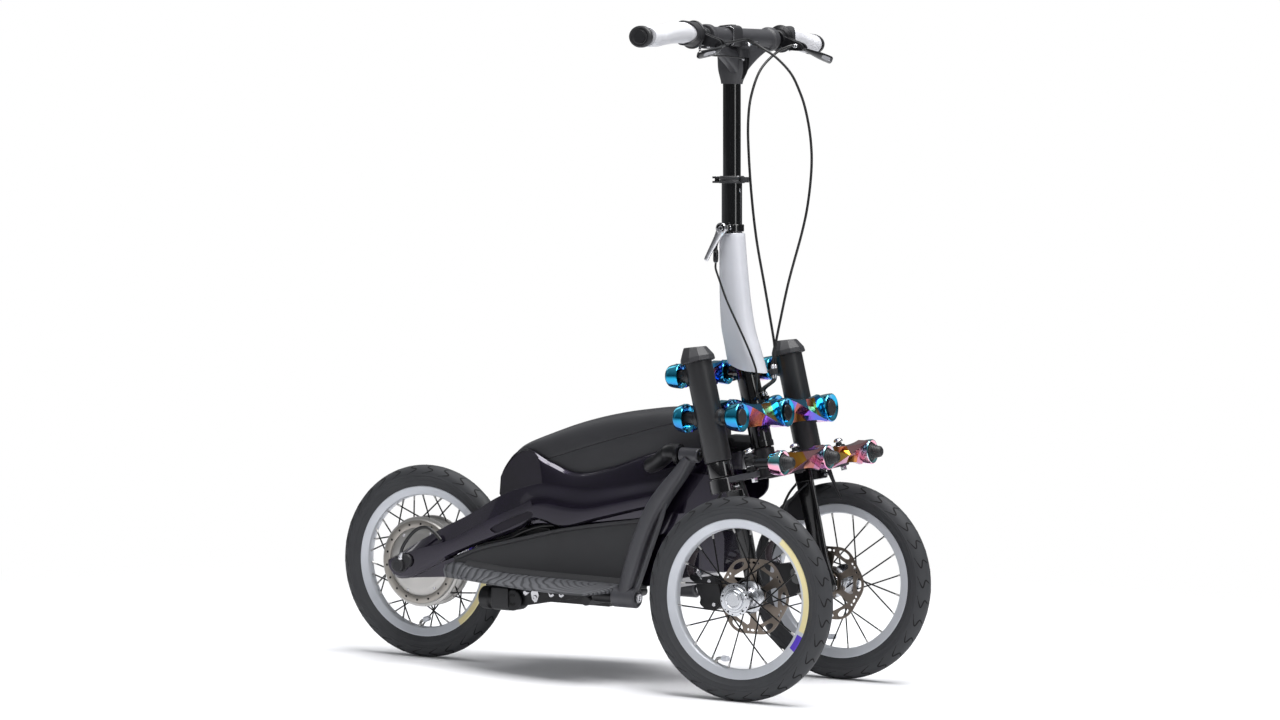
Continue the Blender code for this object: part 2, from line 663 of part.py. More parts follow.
def make_fork_leg(side, out):
    frame = leg_frames[side]
    inward = -out * LEG_OFFSET
    steerer = [(0.0, CROWN_BOTTOM + 0.004), (SLEEVE_RADIUS, CROWN_BOTTOM + 0.004),
               (SLEEVE_RADIUS, TUBE_BOTTOM - SWING_GAP), (STEERER_RADIUS, TUBE_BOTTOM - SWING_GAP),
               (STEERER_RADIUS, TUBE_TOP - 0.020), (0.0, TUBE_TOP - 0.020)]
    made = piece(side + "_fork_leg", turned(steerer, 16), BLACK_GLOSS, frame)
    # Crown: from round the steerer inwards over the tyre to the blade
    rim = SLEEVE_RADIUS + 0.0035
    crown = [(rim * math.cos(a), out * rim * math.sin(a))
             for a in (math.radians(k) for k in range(-10, 191, 20))]
    crown += [(-LEG_WIDTH / 2, inward - out * LEG_THICKNESS / 2),
              (LEG_WIDTH / 2, inward - out * LEG_THICKNESS / 2)]
    fuse(made, prism(crown, CROWN_BOTTOM, CROWN_TOP, "Z"), frame)
    # Blade: a tapering leg with a ridge along its front
    stations = ((CROWN_TOP - 0.004, 1.05, 1.0), (0.110, 1.0, 1.0), (0.040, 0.9, 1.0), (0.0, 1.25, 1.0),
                (-0.016, 0.9, 1.0))
    sections = []
    for height, wide, thick in stations:
        w, t = LEG_WIDTH / 2 * wide, LEG_THICKNESS / 2 * thick
        sections.append([(x, inward + out * y, height) for x, y in
                         ((-w, -t * 0.5), (-w * 0.8, -t), (w * 0.7, -t), (w, -t * 0.3), (w, t * 0.3),
                          (w * 0.7, t), (-w * 0.8, t), (-w, t * 0.5))])
    fuse(made, loft(sections), frame)
    # Stub axle for the wheel
    tip = TRACK / 2 - LINK_HALF + HUB_CAP_FACE - HUB_CAP_DEPTH - SEAT_GAP
    low, high = sorted((inward, out * tip))
    fuse(made, cylinder(AXLE_RADIUS, low, high, 16, "Y"), frame)
    # Its shoulder runs inside the rotor's ring up to the hub's inner end
    stop = out * (TRACK / 2 - LINK_HALF + HUB_INNER_END - SEAT_GAP)
    shoulder = sorted((inward, stop))
    fuse(made, cylinder(SHOULDER_RADIUS, shoulder[0], shoulder[1], 16, "Y"), frame)
    # Steering arm and its upright pin
    half = STEER_ARM_THICKNESS / 2
    level = CROWN_TOP - half - 0.001
    arm = [(0.0, 0.014), (0.0, -0.014), (STEER_ARM_LENGTH, -0.0095), (STEER_ARM_LENGTH + 0.0095, -0.004),
           (STEER_ARM_LENGTH + 0.0095, 0.004), (STEER_ARM_LENGTH, 0.0095)]
    fuse(made, prism(arm, level - half, level + half, "Z"), frame)
    fuse(made, cylinder(STEER_PIN_RADIUS, level, 0.2330, 12, "Z", (STEER_ARM_LENGTH, 0.0, 0.0)), frame)
    # Lug for the brake caliper
    lug = [(-0.010, 0.000), (-0.010, 0.030), (-0.062, 0.034), (-0.062, 0.012)]
    low, high = sorted((inward - out * LEG_THICKNESS * 0.4, inward + out * LEG_THICKNESS * 0.1))
    fuse(made, prism(lug, low, high, "Y"), frame)
    return made


def make_caliper(side, out):
    """A mechanical disc caliper behind the axle, straddling the rotor."""
    frame = leg_frames[side]
    rotor_y = out * (TRACK / 2 - LINK_HALF + ROTOR_PLANE)
    inner_face = -out * (LEG_OFFSET - LEG_THICKNESS * 0.1) + out * SEAT_GAP
    outer_face = rotor_y + out * 0.0125
    low, high = sorted((inner_face, outer_face))
    outline = [(-0.056, -0.004), (-0.068, -0.010), (-0.086, -0.006), (-0.096, 0.014), (-0.096, 0.040),
               (-0.082, 0.050), (-0.058, 0.046), (-0.053, 0.022)]
    made = piece(side + "_brake_caliper", prism(outline, low, high, "Y"), BLACK_PLASTIC, frame)
    slot = ROTOR_THICKNESS / 2 + 0.0010
    reach = ROTOR_RADIUS + 0.003
    wedge = [(0.0, -0.06), (-reach * 0.45, -0.06)]
    wedge += [(reach * math.cos(a), reach * math.sin(a))
              for a in (math.radians(k) for k in range(215, 124, -10))]
    wedge += [(-reach * 0.45, 0.06), (0.0, 0.06)]
    cut(made, prism(wedge, rotor_y - slot, rotor_y + slot, "Y"), frame)
    return made


# Steering

def steer_arm_level():
    return CROWN_TOP - STEER_ARM_THICKNESS / 2 - 0.001


def make_head_tube():
    """The centre tube: carries the arms' middle pins and joins the hull by a neck."""
    profile = [(HEAD_BORE, HEAD_BOTTOM), (HEAD_RADIUS, HEAD_BOTTOM), (HEAD_RADIUS, HEAD_TOP),
               (HEAD_BORE, HEAD_TOP)]
    made = piece("head_tube", turned(profile, 20), BLACK_GLOSS, head_frame)
    add_pivot_pins(made, lean_frame, HEAD_RADIUS, HEAD_BORE)
    seat = hull_ridge(0.230) - RIDGE_RISE + SEAT_GAP
    neck = [(0.2985, 0.4130), (0.2930, 0.4270), (0.2440, 0.4270), (NECK_REAR, 0.4100), (NECK_REAR, seat),
            (HULL_FRONT - 0.002, seat), (0.2760, 0.4020)]
    fuse(made, prism(neck, -0.0140, 0.0140, "Y"), world_frame)
    # Stops for the two brake cables and the lock cable, above the lower pin
    for x, y in CABLE_STOPS:
        stop = box((x - 0.0080, y - 0.0040, stop_along - 0.0060), (x + 0.0035, y + 0.0040, stop_along))
        fuse(made, stop, head_frame)
    cut(made, cylinder(HEAD_BORE, HEAD_BOTTOM - 0.05, HEAD_TOP + 0.05, 20, "Z"), head_frame)
    return made


def make_column():
    """The steering shaft with its arm below the head tube."""
    level = steer_arm_level()
    half = STEER_ARM_THICKNESS / 2
    collar, shoulder = SHAFT_RADIUS + 0.004, HEAD_BOTTOM - SWING_GAP
    shaft = [(0.0, SHAFT_FOOT), (collar, SHAFT_FOOT), (collar, shoulder), (SHAFT_RADIUS, shoulder),
             (SHAFT_RADIUS, SHAFT_TOP), (0.0, SHAFT_TOP)]
    made = piece("steering_shaft", turned(shaft, 16), BLACK_SATIN, head_frame)
    arm = [(0.0, 0.014), (0.0, -0.014), (STEER_ARM_LENGTH, -0.0095), (STEER_ARM_LENGTH + 0.0095, -0.004),
           (STEER_ARM_LENGTH + 0.0095, 0.004), (STEER_ARM_LENGTH, 0.0095)]
    fuse(made, prism(arm, level - half, level + half, "Z"), head_frame)
    fuse(made, cylinder(STEER_PIN_RADIUS, level, 0.2330, 12, "Z", (STEER_ARM_LENGTH, 0.0, 0.0)), head_frame)
    return made


def yoke_height():
    """Distance up the caster line at which the upright pin meets the tie rod's pin line."""
    angle = CASTER - LEAN_TILT
    return pivot_along + (-TIE_DROP - STEER_ARM_LENGTH * math.sin(angle)) / math.cos(angle)


def make_yoke(name, caster_frame, y):
    """A swivel on the upright pin, with a pin forward into the tie rod."""
    middle = yoke_height()
    base = steer_arm_level() + STEER_ARM_THICKNESS / 2 + SEAT_GAP * 2
    top = middle + (middle - base)
    bore = STEER_PIN_RADIUS + RUN_GAP
    body = turned([(bore, base), (YOKE_RADIUS, base), (YOKE_RADIUS, top), (bore, top)], 10, "Z", None,
                  (STEER_ARM_LENGTH, 0.0, 0.0))
    made = piece(name, body, BLACK_PLASTIC, caster_frame)
    start = STEER_ARM_LENGTH + 0.0083
    angle = CASTER - LEAN_TILT
    begin = start * math.cos(angle) - (middle - pivot_along) * math.sin(angle)
    face = TIE_FACE + TIE_NOSE_LENGTH
    shoulder = TIE_FACE - TIE_LENGTH - SWING_GAP
    profile = [(0.0, begin), (TIE_PIN_RADIUS + 0.0020, begin), (TIE_PIN_RADIUS + 0.0020, shoulder),
               (TIE_PIN_RADIUS, shoulder), (TIE_PIN_RADIUS, TIE_FACE + SEAT_GAP * 2),
               (TIE_NOSE_RADIUS, TIE_FACE + SEAT_GAP * 2), (TIE_NOSE_RADIUS, TIE_FACE + 0.003),
               (TIE_NOSE_RADIUS - 0.003, TIE_FACE + 0.006), (0.0055, face), (0.0, face)]
    fuse(made, turned(profile, 10, "X", None, (0.0, y, 0.0)), tie_frame)
    return made


def make_tie_rod():
    face, back = TIE_FACE, TIE_FACE - TIE_LENGTH
    middle = (face + back) / 2
    made = piece("tie_rod", boss_ring(TIE_BOSS_RADIUS, back, face, 0.0), ROSE, tie_frame)
    for _, out in SIDES:
        fuse(made, boss_ring(TIE_BOSS_RADIUS, back, face, out * LINK_HALF), tie_frame)
        web = twisted_web(out * WEB_ROOT * TIE_BOSS_RADIUS, out * (LINK_HALF - WEB_ROOT * TIE_BOSS_RADIUS),
                          middle, WEB_HEIGHT * TIE_BOSS_RADIUS, TIE_LENGTH - 2 * SWING_GAP, TIE_WEB, out > 0)
        fuse(made, web, tie_frame)
    for place in (-1, 0, 1):
        cut(made, cylinder(TIE_PIN_RADIUS + RUN_GAP, back - 0.01, face + 0.01, 12, "X",
                           (0.0, place * LINK_HALF, 0.0)), tie_frame)
    return made


def make_fairing():
    """The white stem shell: slim at the post, deeper and turned forward at the head tube."""
    # Each station: height, middle, half depth, half width, rise from the middle to the front
    stations = ((0.7690, 0.2365, 0.0215, 0.0205, 0.0), (0.7050, 0.2410, 0.0240, 0.0212, 0.0),
                (0.6550, 0.2455, 0.0265, 0.0222, 0.0), (0.6100, 0.2520, 0.0290, 0.0230, 0.0),
                (0.5800, 0.2605, 0.0315, 0.0236, -0.003), (0.5425, 0.2717, 0.0357, 0.0240, -0.0083))
    outline = [(1.0, -0.45), (1.0, 0.45), (0.55, 0.95), (-0.1, 1.0), (-0.75, 0.80), (-1.0, 0.35),
               (-1.0, -0.35), (-0.75, -0.80), (-0.1, -1.0), (0.55, -0.95)]
    sections = [[(x + deep * a, wide * b, z + rise * a) for a, b in outline]
                for z, x, deep, wide, rise in stations]
    made = piece("stem_fairing", loft(sections), WHITE, world_frame, 25)
    bore = LOWER_POST_RADIUS + SEAT_GAP
    cut(made, cylinder(bore, LOWER_POST_FOOT - SEAT_GAP, 0.05, POST_STEPS, "Z"), post_frame)
    cut(made, cylinder(SHAFT_RADIUS + SEAT_GAP, HEAD_TOP - 0.05, SHAFT_TOP + SEAT_GAP, 20, "Z"), head_frame)
    # The head tube's end turns inside the fairing's foot
    cut(made, cylinder(HEAD_RADIUS + SWING_GAP, HEAD_TOP - 0.05, HEAD_TOP + SWING_GAP, 20, "Z"), head_frame)
    return made


def make_posts():
    bore = UPPER_POST_RADIUS + SEAT_GAP
    profile = [(bore, LOWER_POST_FOOT), (LOWER_POST_RADIUS, LOWER_POST_FOOT),
               (LOWER_POST_RADIUS, LOWER_POST_TOP), (bore, LOWER_POST_TOP)]
    lower = piece("lower_post", turned(profile, POST_STEPS), BLACK_GLOSS, post_frame)
    keyway = box((UPPER_POST_RADIUS - 0.001, -0.0022, 0.004),
                 (LOWER_POST_RADIUS + 0.01, 0.0022, LOWER_POST_TOP - 0.012))
    cut(lower, keyway, post_frame)
    upper = [(0.0, UPPER_POST_FOOT), (UPPER_POST_RADIUS, UPPER_POST_FOOT),
             (UPPER_POST_RADIUS, UPPER_POST_TOP), (0.0, UPPER_POST_TOP)]
    made = piece("upper_post", turned(upper, POST_STEPS), BLACK_GLOSS, post_frame)
    groove = box((UPPER_POST_RADIUS - 0.0015, -0.0016, -0.2),
                 (UPPER_POST_RADIUS + 0.01, 0.0016, UPPER_POST_TOP - 0.004))
    cut(made, groove, post_frame)
    # Spool-shaped clamp collar on the lower post's top
    inner = LOWER_POST_RADIUS + SEAT_GAP
    low = LOWER_POST_TOP - 0.0090
    high, throat = low + COLLAR_HEIGHT, UPPER_POST_RADIUS + SEAT_GAP
    spool = [(inner, low), (0.0225, low), (0.0225, low + 0.0025), (0.0200, low + 0.0040),
             (0.0200, high - 0.0040), (0.0225, high - 0.0025), (0.0225, high), (throat, high),
             (throat, LOWER_POST_TOP + SEAT_GAP),
             (inner, LOWER_POST_TOP + SEAT_GAP)]
    collar = piece("post_clamp_collar", turned(spool, POST_STEPS), BLACK_PLASTIC, post_frame)
    ears = bmesh.new()
    for y in (0.0035, -0.0075):
        box((-0.0350, y, low + 0.0004), (-0.0190, y + 0.0040, high - 0.0004), ears)
    fuse(collar, ears, post_frame)
    slit = box((-0.0500, -0.0015, low - 0.01), (-0.0100, 0.0015, high + 0.01))
    cut(collar, slit, post_frame)
    # Band clamp that holds the lean-lock lever, low on the lower post
    band_low, band_high = 0.0020, 0.0140
    band = piece("lever_band_clamp", cylinder(0.0208, band_low, band_high, POST_STEPS), BLACK_PLASTIC,
                 post_frame)
    fuse(band, box((-0.0060, -0.0330, band_low + 0.001), (0.0060, -0.0190, band_high - 0.001)), post_frame)
    fuse(band, cylinder(0.0035, -0.0240, -0.0120, 8, "Y", (-0.0140, 0.0, 0.0080)), post_frame)
    # A strap down to the barrel that the lock cable runs out of
    strap = [(-0.0200, -0.0330), (-0.0110, -0.0330), (0.0040, band_low + 0.002), (-0.0060, band_low + 0.002)]
    fuse(band, prism(strap, -0.0320, -0.0265, "Y"), post_frame)
    place = post_frame.matrix_basis.inverted() @ Vector(LOCK_BARREL)
    fuse(band, cylinder(0.0045, place.z, place.z + 0.0230, 10, "Z", (place.x, place.y, 0.0)), post_frame)
    cut(band, cylinder(inner, band_low - 0.01, band_high + 0.01, POST_STEPS), post_frame)


def make_lock_lever():
    """The friction lever that locks the lean, on the band clamp's right side."""
    pivot = frame_at("lock_lever_axis", Matrix.Translation((0.0, LOCK_LEVER_Y, LOCK_LEVER_RISE)), post_frame)
    made = piece("lean_lock_lever", cylinder(0.0095, -0.0075, 0.0, 16, "Y", edge=0.001), CHROME, pivot)
    outline = [(-0.0060, 0.0050), (-0.0085, -0.0020), (-0.0330, -0.0520), (-0.0290, -0.0560),
               (-0.0245, -0.0545), (0.0030, -0.0080), (0.0070, 0.0)]
    fuse(made, prism(outline, -0.0060, -0.0015, "Y"), pivot)
    return made


# Handlebar and controls

def make_stem_head():
    """A cast neck with a cross boss for the bar and a gusset to each side."""
    foot = BAR_HEIGHT - STEM_FOOT_DROP
    middle = POST_X + math.tan(POST_TILT) * (foot - POST_BASE_Z) - BAR_X
    # Each station: height and middle from the bar's middle, half depth, half width
    stations = ((-STEM_FOOT_DROP, middle, 0.0172, 0.0172), (0.007 - STEM_FOOT_DROP, middle, 0.0185, 0.0180),
                (-0.0550, -0.0080, 0.0245, 0.0205), (-0.0380, -0.0075, 0.0265, 0.0215),
                (-0.0200, -0.0085, 0.0260, 0.0215), (-STEM_TOP_DROP, -0.0080, 0.0240, 0.0205))
    outline = [(1.0, -0.40), (1.0, 0.40), (0.72, 0.85), (-0.2, 1.0), (-0.85, 0.75), (-1.0, 0.30),
               (-1.0, -0.30), (-0.85, -0.75), (-0.2, -1.0), (0.72, -0.85)]
    made = piece("stem_head", loft([[(x + deep * a, wide * b, z) for a, b in outline]
                                    for z, x, deep, wide in stations]), BLACK_GLOSS, bar_frame, 25)
    fuse(made, cylinder(0.0170, -BOSS_HALF, BOSS_HALF, 16, "Y"), bar_frame)
    for _, out in SIDES:
        low, high = sorted((out * (BOSS_HALF - 0.002), out * (BOSS_HALF + 0.0130)))
        fuse(made, cylinder(0.0208, low, high, 16, "Y"), bar_frame)
        web = loft([[(x, out * y, z) for x, z in ((middle - half, low), (middle + half, low),
                                                  (middle + half, high), (middle - half, high))]
                    for y, middle, half, low, high in ((0.012, 0.0020, 0.009, -0.064, -0.025),
                                                       (BOSS_HALF - 0.004, 0.0010, 0.006, -0.014, -0.004))])
        fuse(made, web, bar_frame)
    cut(made, cylinder(UPPER_POST_RADIUS + SEAT_GAP, 0.10, UPPER_POST_TOP + SEAT_GAP, POST_STEPS), post_frame)
    cut(made, box((0.0100, -0.0080, -0.0660), (0.0400, 0.0080, -0.0420)), bar_frame)
    cut(made, bar_sweep(BAR_RADIUS + SEAT_GAP, BAR_HALF + 0.02), bar_frame)
    return made


def bar_line(y):
    """The bar's middle line: straight across the stem, then swept back and drooping."""
    reach = max(0.0, (abs(y) - BAR_BEND) / (BAR_HALF - BAR_BEND))
    rise = BAR_RISE * math.sin(math.pi * min(1.0, 1.35 * reach)) - BAR_DROP * reach
    return Vector((-BAR_SWEEP * reach ** 1.4, y, rise))


def bar_sweep(radius, reach):
    half = (BAR_BEND, GRIP_INNER + 0.0340, GRIP_INNER + 0.0940, BAR_HALF)
    half += (reach,) if reach > BAR_HALF else ()
    return rod_steps([(bar_line(y), radius) for y in [-y for y in reversed(half)] + list(half)], 12)


def bar_ring(y, half, radius, steps=12):
    """A solid clamp ring, fused with the bar that runs through it."""
    centre = bar_line(y)
    return cylinder(radius, y - half, y + half, steps, "Y", (centre.x, 0.0, centre.z))


def make_handlebar():
    made = piece("handlebar", bar_sweep(BAR_RADIUS, BAR_HALF), BLACK_SATIN, bar_frame)
    for _, out in SIDES:
        # Control clamp, with its arm forward to the lever's pivot
        fuse(made, bar_ring(out * CLAMP_Y, 0.0075, 0.0170), bar_frame)
        fuse(made, bar_ring(out * (GRIP_INNER - 0.0035), 0.0030, 0.0225, 16), bar_frame)
        low, high = sorted(out * face for face in LEVER_ARM_FACES)
        x, _, z = LEVER_PIVOT
        arm = [(0.0060, 0.0090), (0.0060, -0.0080), (x + 0.004, z - 0.0065), (x + 0.0075, z),
               (x + 0.001, z + 0.0065)]
        fuse(made, prism(arm, low, high, "Y"), bar_frame)
        # End plug beyond the grip
        fuse(made, bar_ring(out * (GRIP_INNER + GRIP_LENGTH + 0.0035), 0.0028, 0.0160), bar_frame)
        pivot = lever_frames[out]
        slot = LEVER_HALF + RUN_GAP
        cut(made, box((-LEVER_EYE - SWING_GAP, -0.02, -slot), (0.03, 0.02, slot)), pivot)
        fuse(made, cylinder(LEVER_PIN, -0.0060, 0.0060, 8), pivot)
    return made


def make_grip(side, out):
    """An oval grip that flattens into a palm rest towards its end."""
    stations = ((0.0, 0.0185, 0.0182, 0.0), (0.030, 0.0178, 0.0176, 0.0), (0.070, 0.0180, 0.0170, -0.001),
                (0.105, 0.0205, 0.0165, 0.001), (1.0, 0.0225, 0.0168, 0.003))
    sections = []
    for place, deep, tall, shift in stations:
        y = GRIP_INNER + min(place, GRIP_LENGTH)
        centre = bar_line(out * y)
        sections.append([centre + Vector((shift + deep * (math.cos(a) + 0.05 * (1 - math.cos(2 * a))), 0.0,
                                          tall * math.sin(a)))
                         for a in (2 * math.pi * (k + 0.5) / 16 for k in range(16))])
    made = piece(side + "_grip", loft(sections), WHITE, bar_frame)
    cut(made, bar_sweep(BAR_RADIUS + SEAT_GAP, BAR_HALF + 0.02), bar_frame)
    return made


def make_brake_lever(side, out):
    """A slotted two-finger lever, turning on the clamp's pivot."""
    pivot = lever_frames[out]
    made = piece(side + "_brake_lever", cylinder(LEVER_EYE, -LEVER_HALF, LEVER_HALF, 12), BLACK_GLOSS, pivot)
    route = [(0.0005, 0.0), (0.0120, 0.0220), (0.0175, 0.0480), (0.0165, 0.0880)]
    half = (0.0075, 0.0070, 0.0060, 0.0065)
    outline = [(x + w, out * y) for (x, y), w in zip(route, half)]
    outline += [(route[-1][0], out * (route[-1][1] + 0.0045))]
    outline += [(x - w, out * y) for (x, y), w in reversed(list(zip(route, half)))]
    fuse(made, prism(outline, -LEVER_HALF, LEVER_HALF, "Z"), pivot)
    slot = [(0.0150, out * 0.0440), (0.0205, out * 0.0440), (0.0195, out * 0.0800), (0.0140, out * 0.0800)]
    cut(made, prism(slot, -0.02, 0.02, "Z"), pivot)
    cut(made, cylinder(LEVER_PIN + RUN_GAP, -0.02, 0.02, 8), pivot)
    return made


def make_throttle():
    """A thumb lever beside the right clamp, turning round the bar."""
    axis = frame_at("throttle_axis", Matrix.Translation((bar_line(THROTTLE_Y).x, THROTTLE_Y,
                                                         bar_line(THROTTLE_Y).z)), bar_frame)
    made = piece("thumb_throttle", cylinder(0.0165, -0.0080, 0.0080, 16, "Y"), BLACK_PLASTIC, axis)
    paddle = [(-0.0080, 0.0130), (-0.0310, 0.0030), (-0.0330, -0.0040), (-0.0270, -0.0060), (-0.0060, 0.0040)]
    fuse(made, prism(paddle, -0.0070, 0.0070, "Y"), axis)
    cut(made, cylinder(BAR_RADIUS + RUN_GAP, -0.02, 0.02, 16, "Y"), axis)
    return made


def make_display():
    """The small display on the cross boss, over the stem."""
    outline = [(-0.0160, 0.0175), (-0.0180, 0.0200), (-0.0150, 0.0255), (0.0140, 0.0290), (0.0170, 0.0250),
               (0.0150, 0.0175)]
    made = piece("display", prism(outline, -0.0260, 0.0260, "Y"), BLACK_PLASTIC, bar_frame, 20)
    cut(made, cylinder(0.0170 + SEAT_GAP, -0.05, 0.05, 20, "Y"), bar_frame)
    return made


# Hull and what it carries

def height_at(x, line):
    """Height at a place along X on a line of (X, height) points."""
    for (x0, z0), (x1, z1) in zip(line, line[1:]):
        if x <= x1:
            return z0 + (z1 - z0) * (x - x0) / (x1 - x0)
    return line[-1][1]


def hull_ridge(x):
    """Height of the hull's bright upper ridge."""
    return height_at(x, ((-0.200, 0.331), (-0.187, 0.352), (-0.165, 0.374), (-0.134, 0.387), (-0.083, 0.367),
                         (-0.028, 0.350), (0.035, 0.362), (0.105, 0.387), (0.141, 0.397), (0.178, 0.400),
                         (0.240, 0.399)))


def make_hull():
    """The body shell: a pod with a bright ridge, two trailing arms, and a lug for each strut."""
    step = CASE_FRONT + SEAT_GAP * 3
    stations = ((-0.1980, 0.40, 0.303), (-0.1870, 0.78, 0.287), (-0.1650, 0.92, 0.263),
                (-0.1340, 0.98, HULL_BOTTOM), (-0.0830, 1.0, HULL_BOTTOM), (-0.0280, 1.0, HULL_BOTTOM),
                (0.0350, 1.0, HULL_BOTTOM),
                (step, 1.0, HULL_BOTTOM), (step + 0.0010, 1.0, 0.165), (0.1050, 1.0, 0.165),
                (0.1410, 0.96, 0.165), (0.1780, 0.88, 0.170), (0.1900, 0.86, 0.185), (0.1910, 0.86, 0.275),
                (HULL_FRONT, 0.76, 0.292))
    sections = []
    for x, share, low in stations:
        half, ridge = HULL_HALF * share, hull_ridge(x)
        tall = ridge - low
        inner = RIDGE_HALF * min(1.0, share * 1.04)
        right = [(inner - 0.004, ridge - RIDGE_RISE), (inner, ridge),
                 (inner + 0.10 * half, ridge - 0.05 * tall), (0.95 * half, ridge - 0.26 * tall),
                 (half, ridge - 0.55 * tall), (0.93 * half, low + 0.07 * tall), (0.80 * half, low)]
        sections.append([(x, -y, z) for y, z in right] + [(x, y, z) for y, z in reversed(right)])
    made = piece("hull", loft(sections), HULL_PAINT, world_frame, 22)
    circle = [(-AXLE_X + ARM_END_RADIUS * math.cos(math.radians(a)),
               TYRE_RADIUS + ARM_END_RADIUS * math.sin(math.radians(a))) for a in range(140, 301, 20)]
    under = [(-0.3300, 0.1560), (-0.2850, 0.1780), (-0.1950, 0.2220), (-0.1550, 0.2390), (-0.1080, 0.2640),
             (-0.0750, 0.2640), (-0.0450, 0.2530), (0.0, 0.2640), (0.0600, 0.2840), (0.1180, 0.3075)]
    over = [(0.1150, 0.3180), (0.0600, 0.3080), (-0.0500, 0.3020), (-0.1300, 0.3120), (-0.1720, 0.2970),
            (-0.2370, 0.2620), (-0.2880, 0.2370), (-0.3550, 0.2040)]
    spar = circle + under + over
    for side, out in SIDES:
        low, high = sorted((out * ARM_INNER, out * ARM_OUTER))
        fuse(made, prism(spar, low, high, "Y"), world_frame)
        seat = TOP_EYE_X - TOP_EYE_LENGTH / 2 - SEAT_GAP * 2
        lug = rod((0.1250, out * 0.0660, 0.3720), (0.1920, out * 0.1010, 0.3980), 0.0145)
        fuse(made, lug, world_frame)
        fuse(made, cylinder(0.0145, 0.1800, seat, 12, "X", (0.0, out * FOOT_LINE, TOP_EYE_Z)), world_frame)
        face = TOP_EYE_X + TOP_EYE_LENGTH / 2 + SEAT_GAP * 2
        bolt = [(0.0, seat - 0.004), (EYE_BOLT_RADIUS, seat - 0.004), (EYE_BOLT_RADIUS, face),
                (0.0105, face), (0.0105, face + 0.0040), (0.0, face + 0.0040)]
        fuse(made, turned(bolt, 8, "X", None, (0.0, out * FOOT_LINE, TOP_EYE_Z)), world_frame)
    cut(made, cylinder(REAR_AXLE_RADIUS + SEAT_GAP, -0.2, 0.2, 12, "Y"), rear_frame)
    fuse(made, box((0.1850, -0.0380, 0.1950), (0.2540, 0.0380, 0.2650)), world_frame)
    return made


def make_cover():
    """The matt cover between the ridges, crowned along its middle."""
    sections = []
    for x in (-0.1560, -0.1340, -0.1080, -0.0830, -0.0280, 0.0350, 0.1050, 0.1410, 0.1780, COVER_FRONT):
        top = height_at(x, ((-0.1560, 0.3840), (-0.1080, 0.4100), (-0.0370, 0.4370), (0.0350, 0.4550),
                            (0.1050, 0.4670), (0.1330, 0.4710), (0.1900, 0.4750), (COVER_FRONT, 0.4730)))
        base = hull_ridge(x) - RIDGE_RISE + SEAT_GAP
        share = 0.86 if x < -0.15 else 1.0
        half = COVER_HALF * share
        if x > 0.15:
            half = COVER_HALF * (1.0 - 3.2 * (x - 0.15))
        tall = max(top - base, 0.006)
        right = [(half, base), (0.98 * half, base + 0.45 * tall), (0.62 * half, base + 0.86 * tall),
                 (0.30 * half, base + tall)]
        sections.append([(x, -y, z) for y, z in right] + [(x, y, z) for y, z in reversed(right)])
    return piece("top_cover", loft(sections), CHARCOAL, world_frame, 28)


def make_case():
    """The battery case under the hull, with the tubes that carry the foot bars."""
    profile = [(CASE_REAR, 0.1700), (CASE_REAR + 0.015, CASE_BOTTOM), (CASE_FRONT, CASE_BOTTOM),
               (CASE_FRONT, HULL_BOTTOM - SEAT_GAP), (CASE_REAR + 0.045, HULL_BOTTOM - SEAT_GAP),
               (CASE_REAR, 0.2300)]
    made = piece("battery_case", prism(profile, -CASE_HALF, CASE_HALF, "Y"), BLACK_PLASTIC, world_frame, 20)
    for x in CROSS_TUBES:
        fuse(made, cylinder(CROSS_RADIUS, -CROSS_HALF, CROSS_HALF, 12, "Y", (x, 0.0, CROSS_Z)), world_frame)
    fuse(made, box((CASE_REAR + 0.03, -0.030, 0.118), (CASE_FRONT - 0.02, 0.030, 0.150)), world_frame)
    return made


def make_footboard(side, out):
    """A tread board with an upright inner panel."""
    rim = [(-0.2450, 0.1720), (-0.0440, 0.2340), (0.1180, 0.2985), (0.1330, 0.3020), (0.1270, 0.2750),
           (0.1150, 0.2350), (0.0960, BOARD_TOP), (0.0800, BOARD_BOTTOM), (-0.2350, BOARD_BOTTOM)]
    low, high = sorted((out * PANEL_INNER, out * PANEL_OUTER))
    made = piece(side + "_footboard", prism(rim, low, high, "Y"), BLACK_PLASTIC, world_frame, 20)
    # A lip along the panel's top
    lip = [(-0.2440, 0.1630), (-0.2150, 0.1630), (-0.2150, 0.1725), (-0.0440, 0.2285), (0.1100, 0.2885),
           (0.1100, 0.2955), (-0.0440, 0.2340), (-0.2440, 0.1720)]
    low, high = sorted((out * (PANEL_OUTER - 0.001), out * (PANEL_OUTER + 0.0035)))
    fuse(made, prism(lip, low, high, "Y"), world_frame)
    plan = [(-0.2450, 0.0815), (-0.2480, 0.0880), (-0.2150, 0.1120), (-0.1500, 0.1440), (-0.0750, 0.1700),
            (0.0, 0.1850), (0.0480, 0.1890), (0.0680, 0.1780), (0.0790, 0.1450), (0.0800, 0.0815)]
    top = [(x, out * y, BOARD_TOP) for x, y in plan]
    bottom = [(0.985 * x, out * (0.985 * y if y > 0.1 else y), BOARD_BOTTOM) for x, y in plan]
    fuse(made, loft([bottom, top]), world_frame)
    # The bar's neck is let into the board from below
    cut(made, cylinder(NECK_RADIUS + SEAT_GAP, 0.0300, 0.1000, 8, "X", (0.0, out * FOOT_LINE, LOW_EYE_Z)),
        world_frame)
    return made


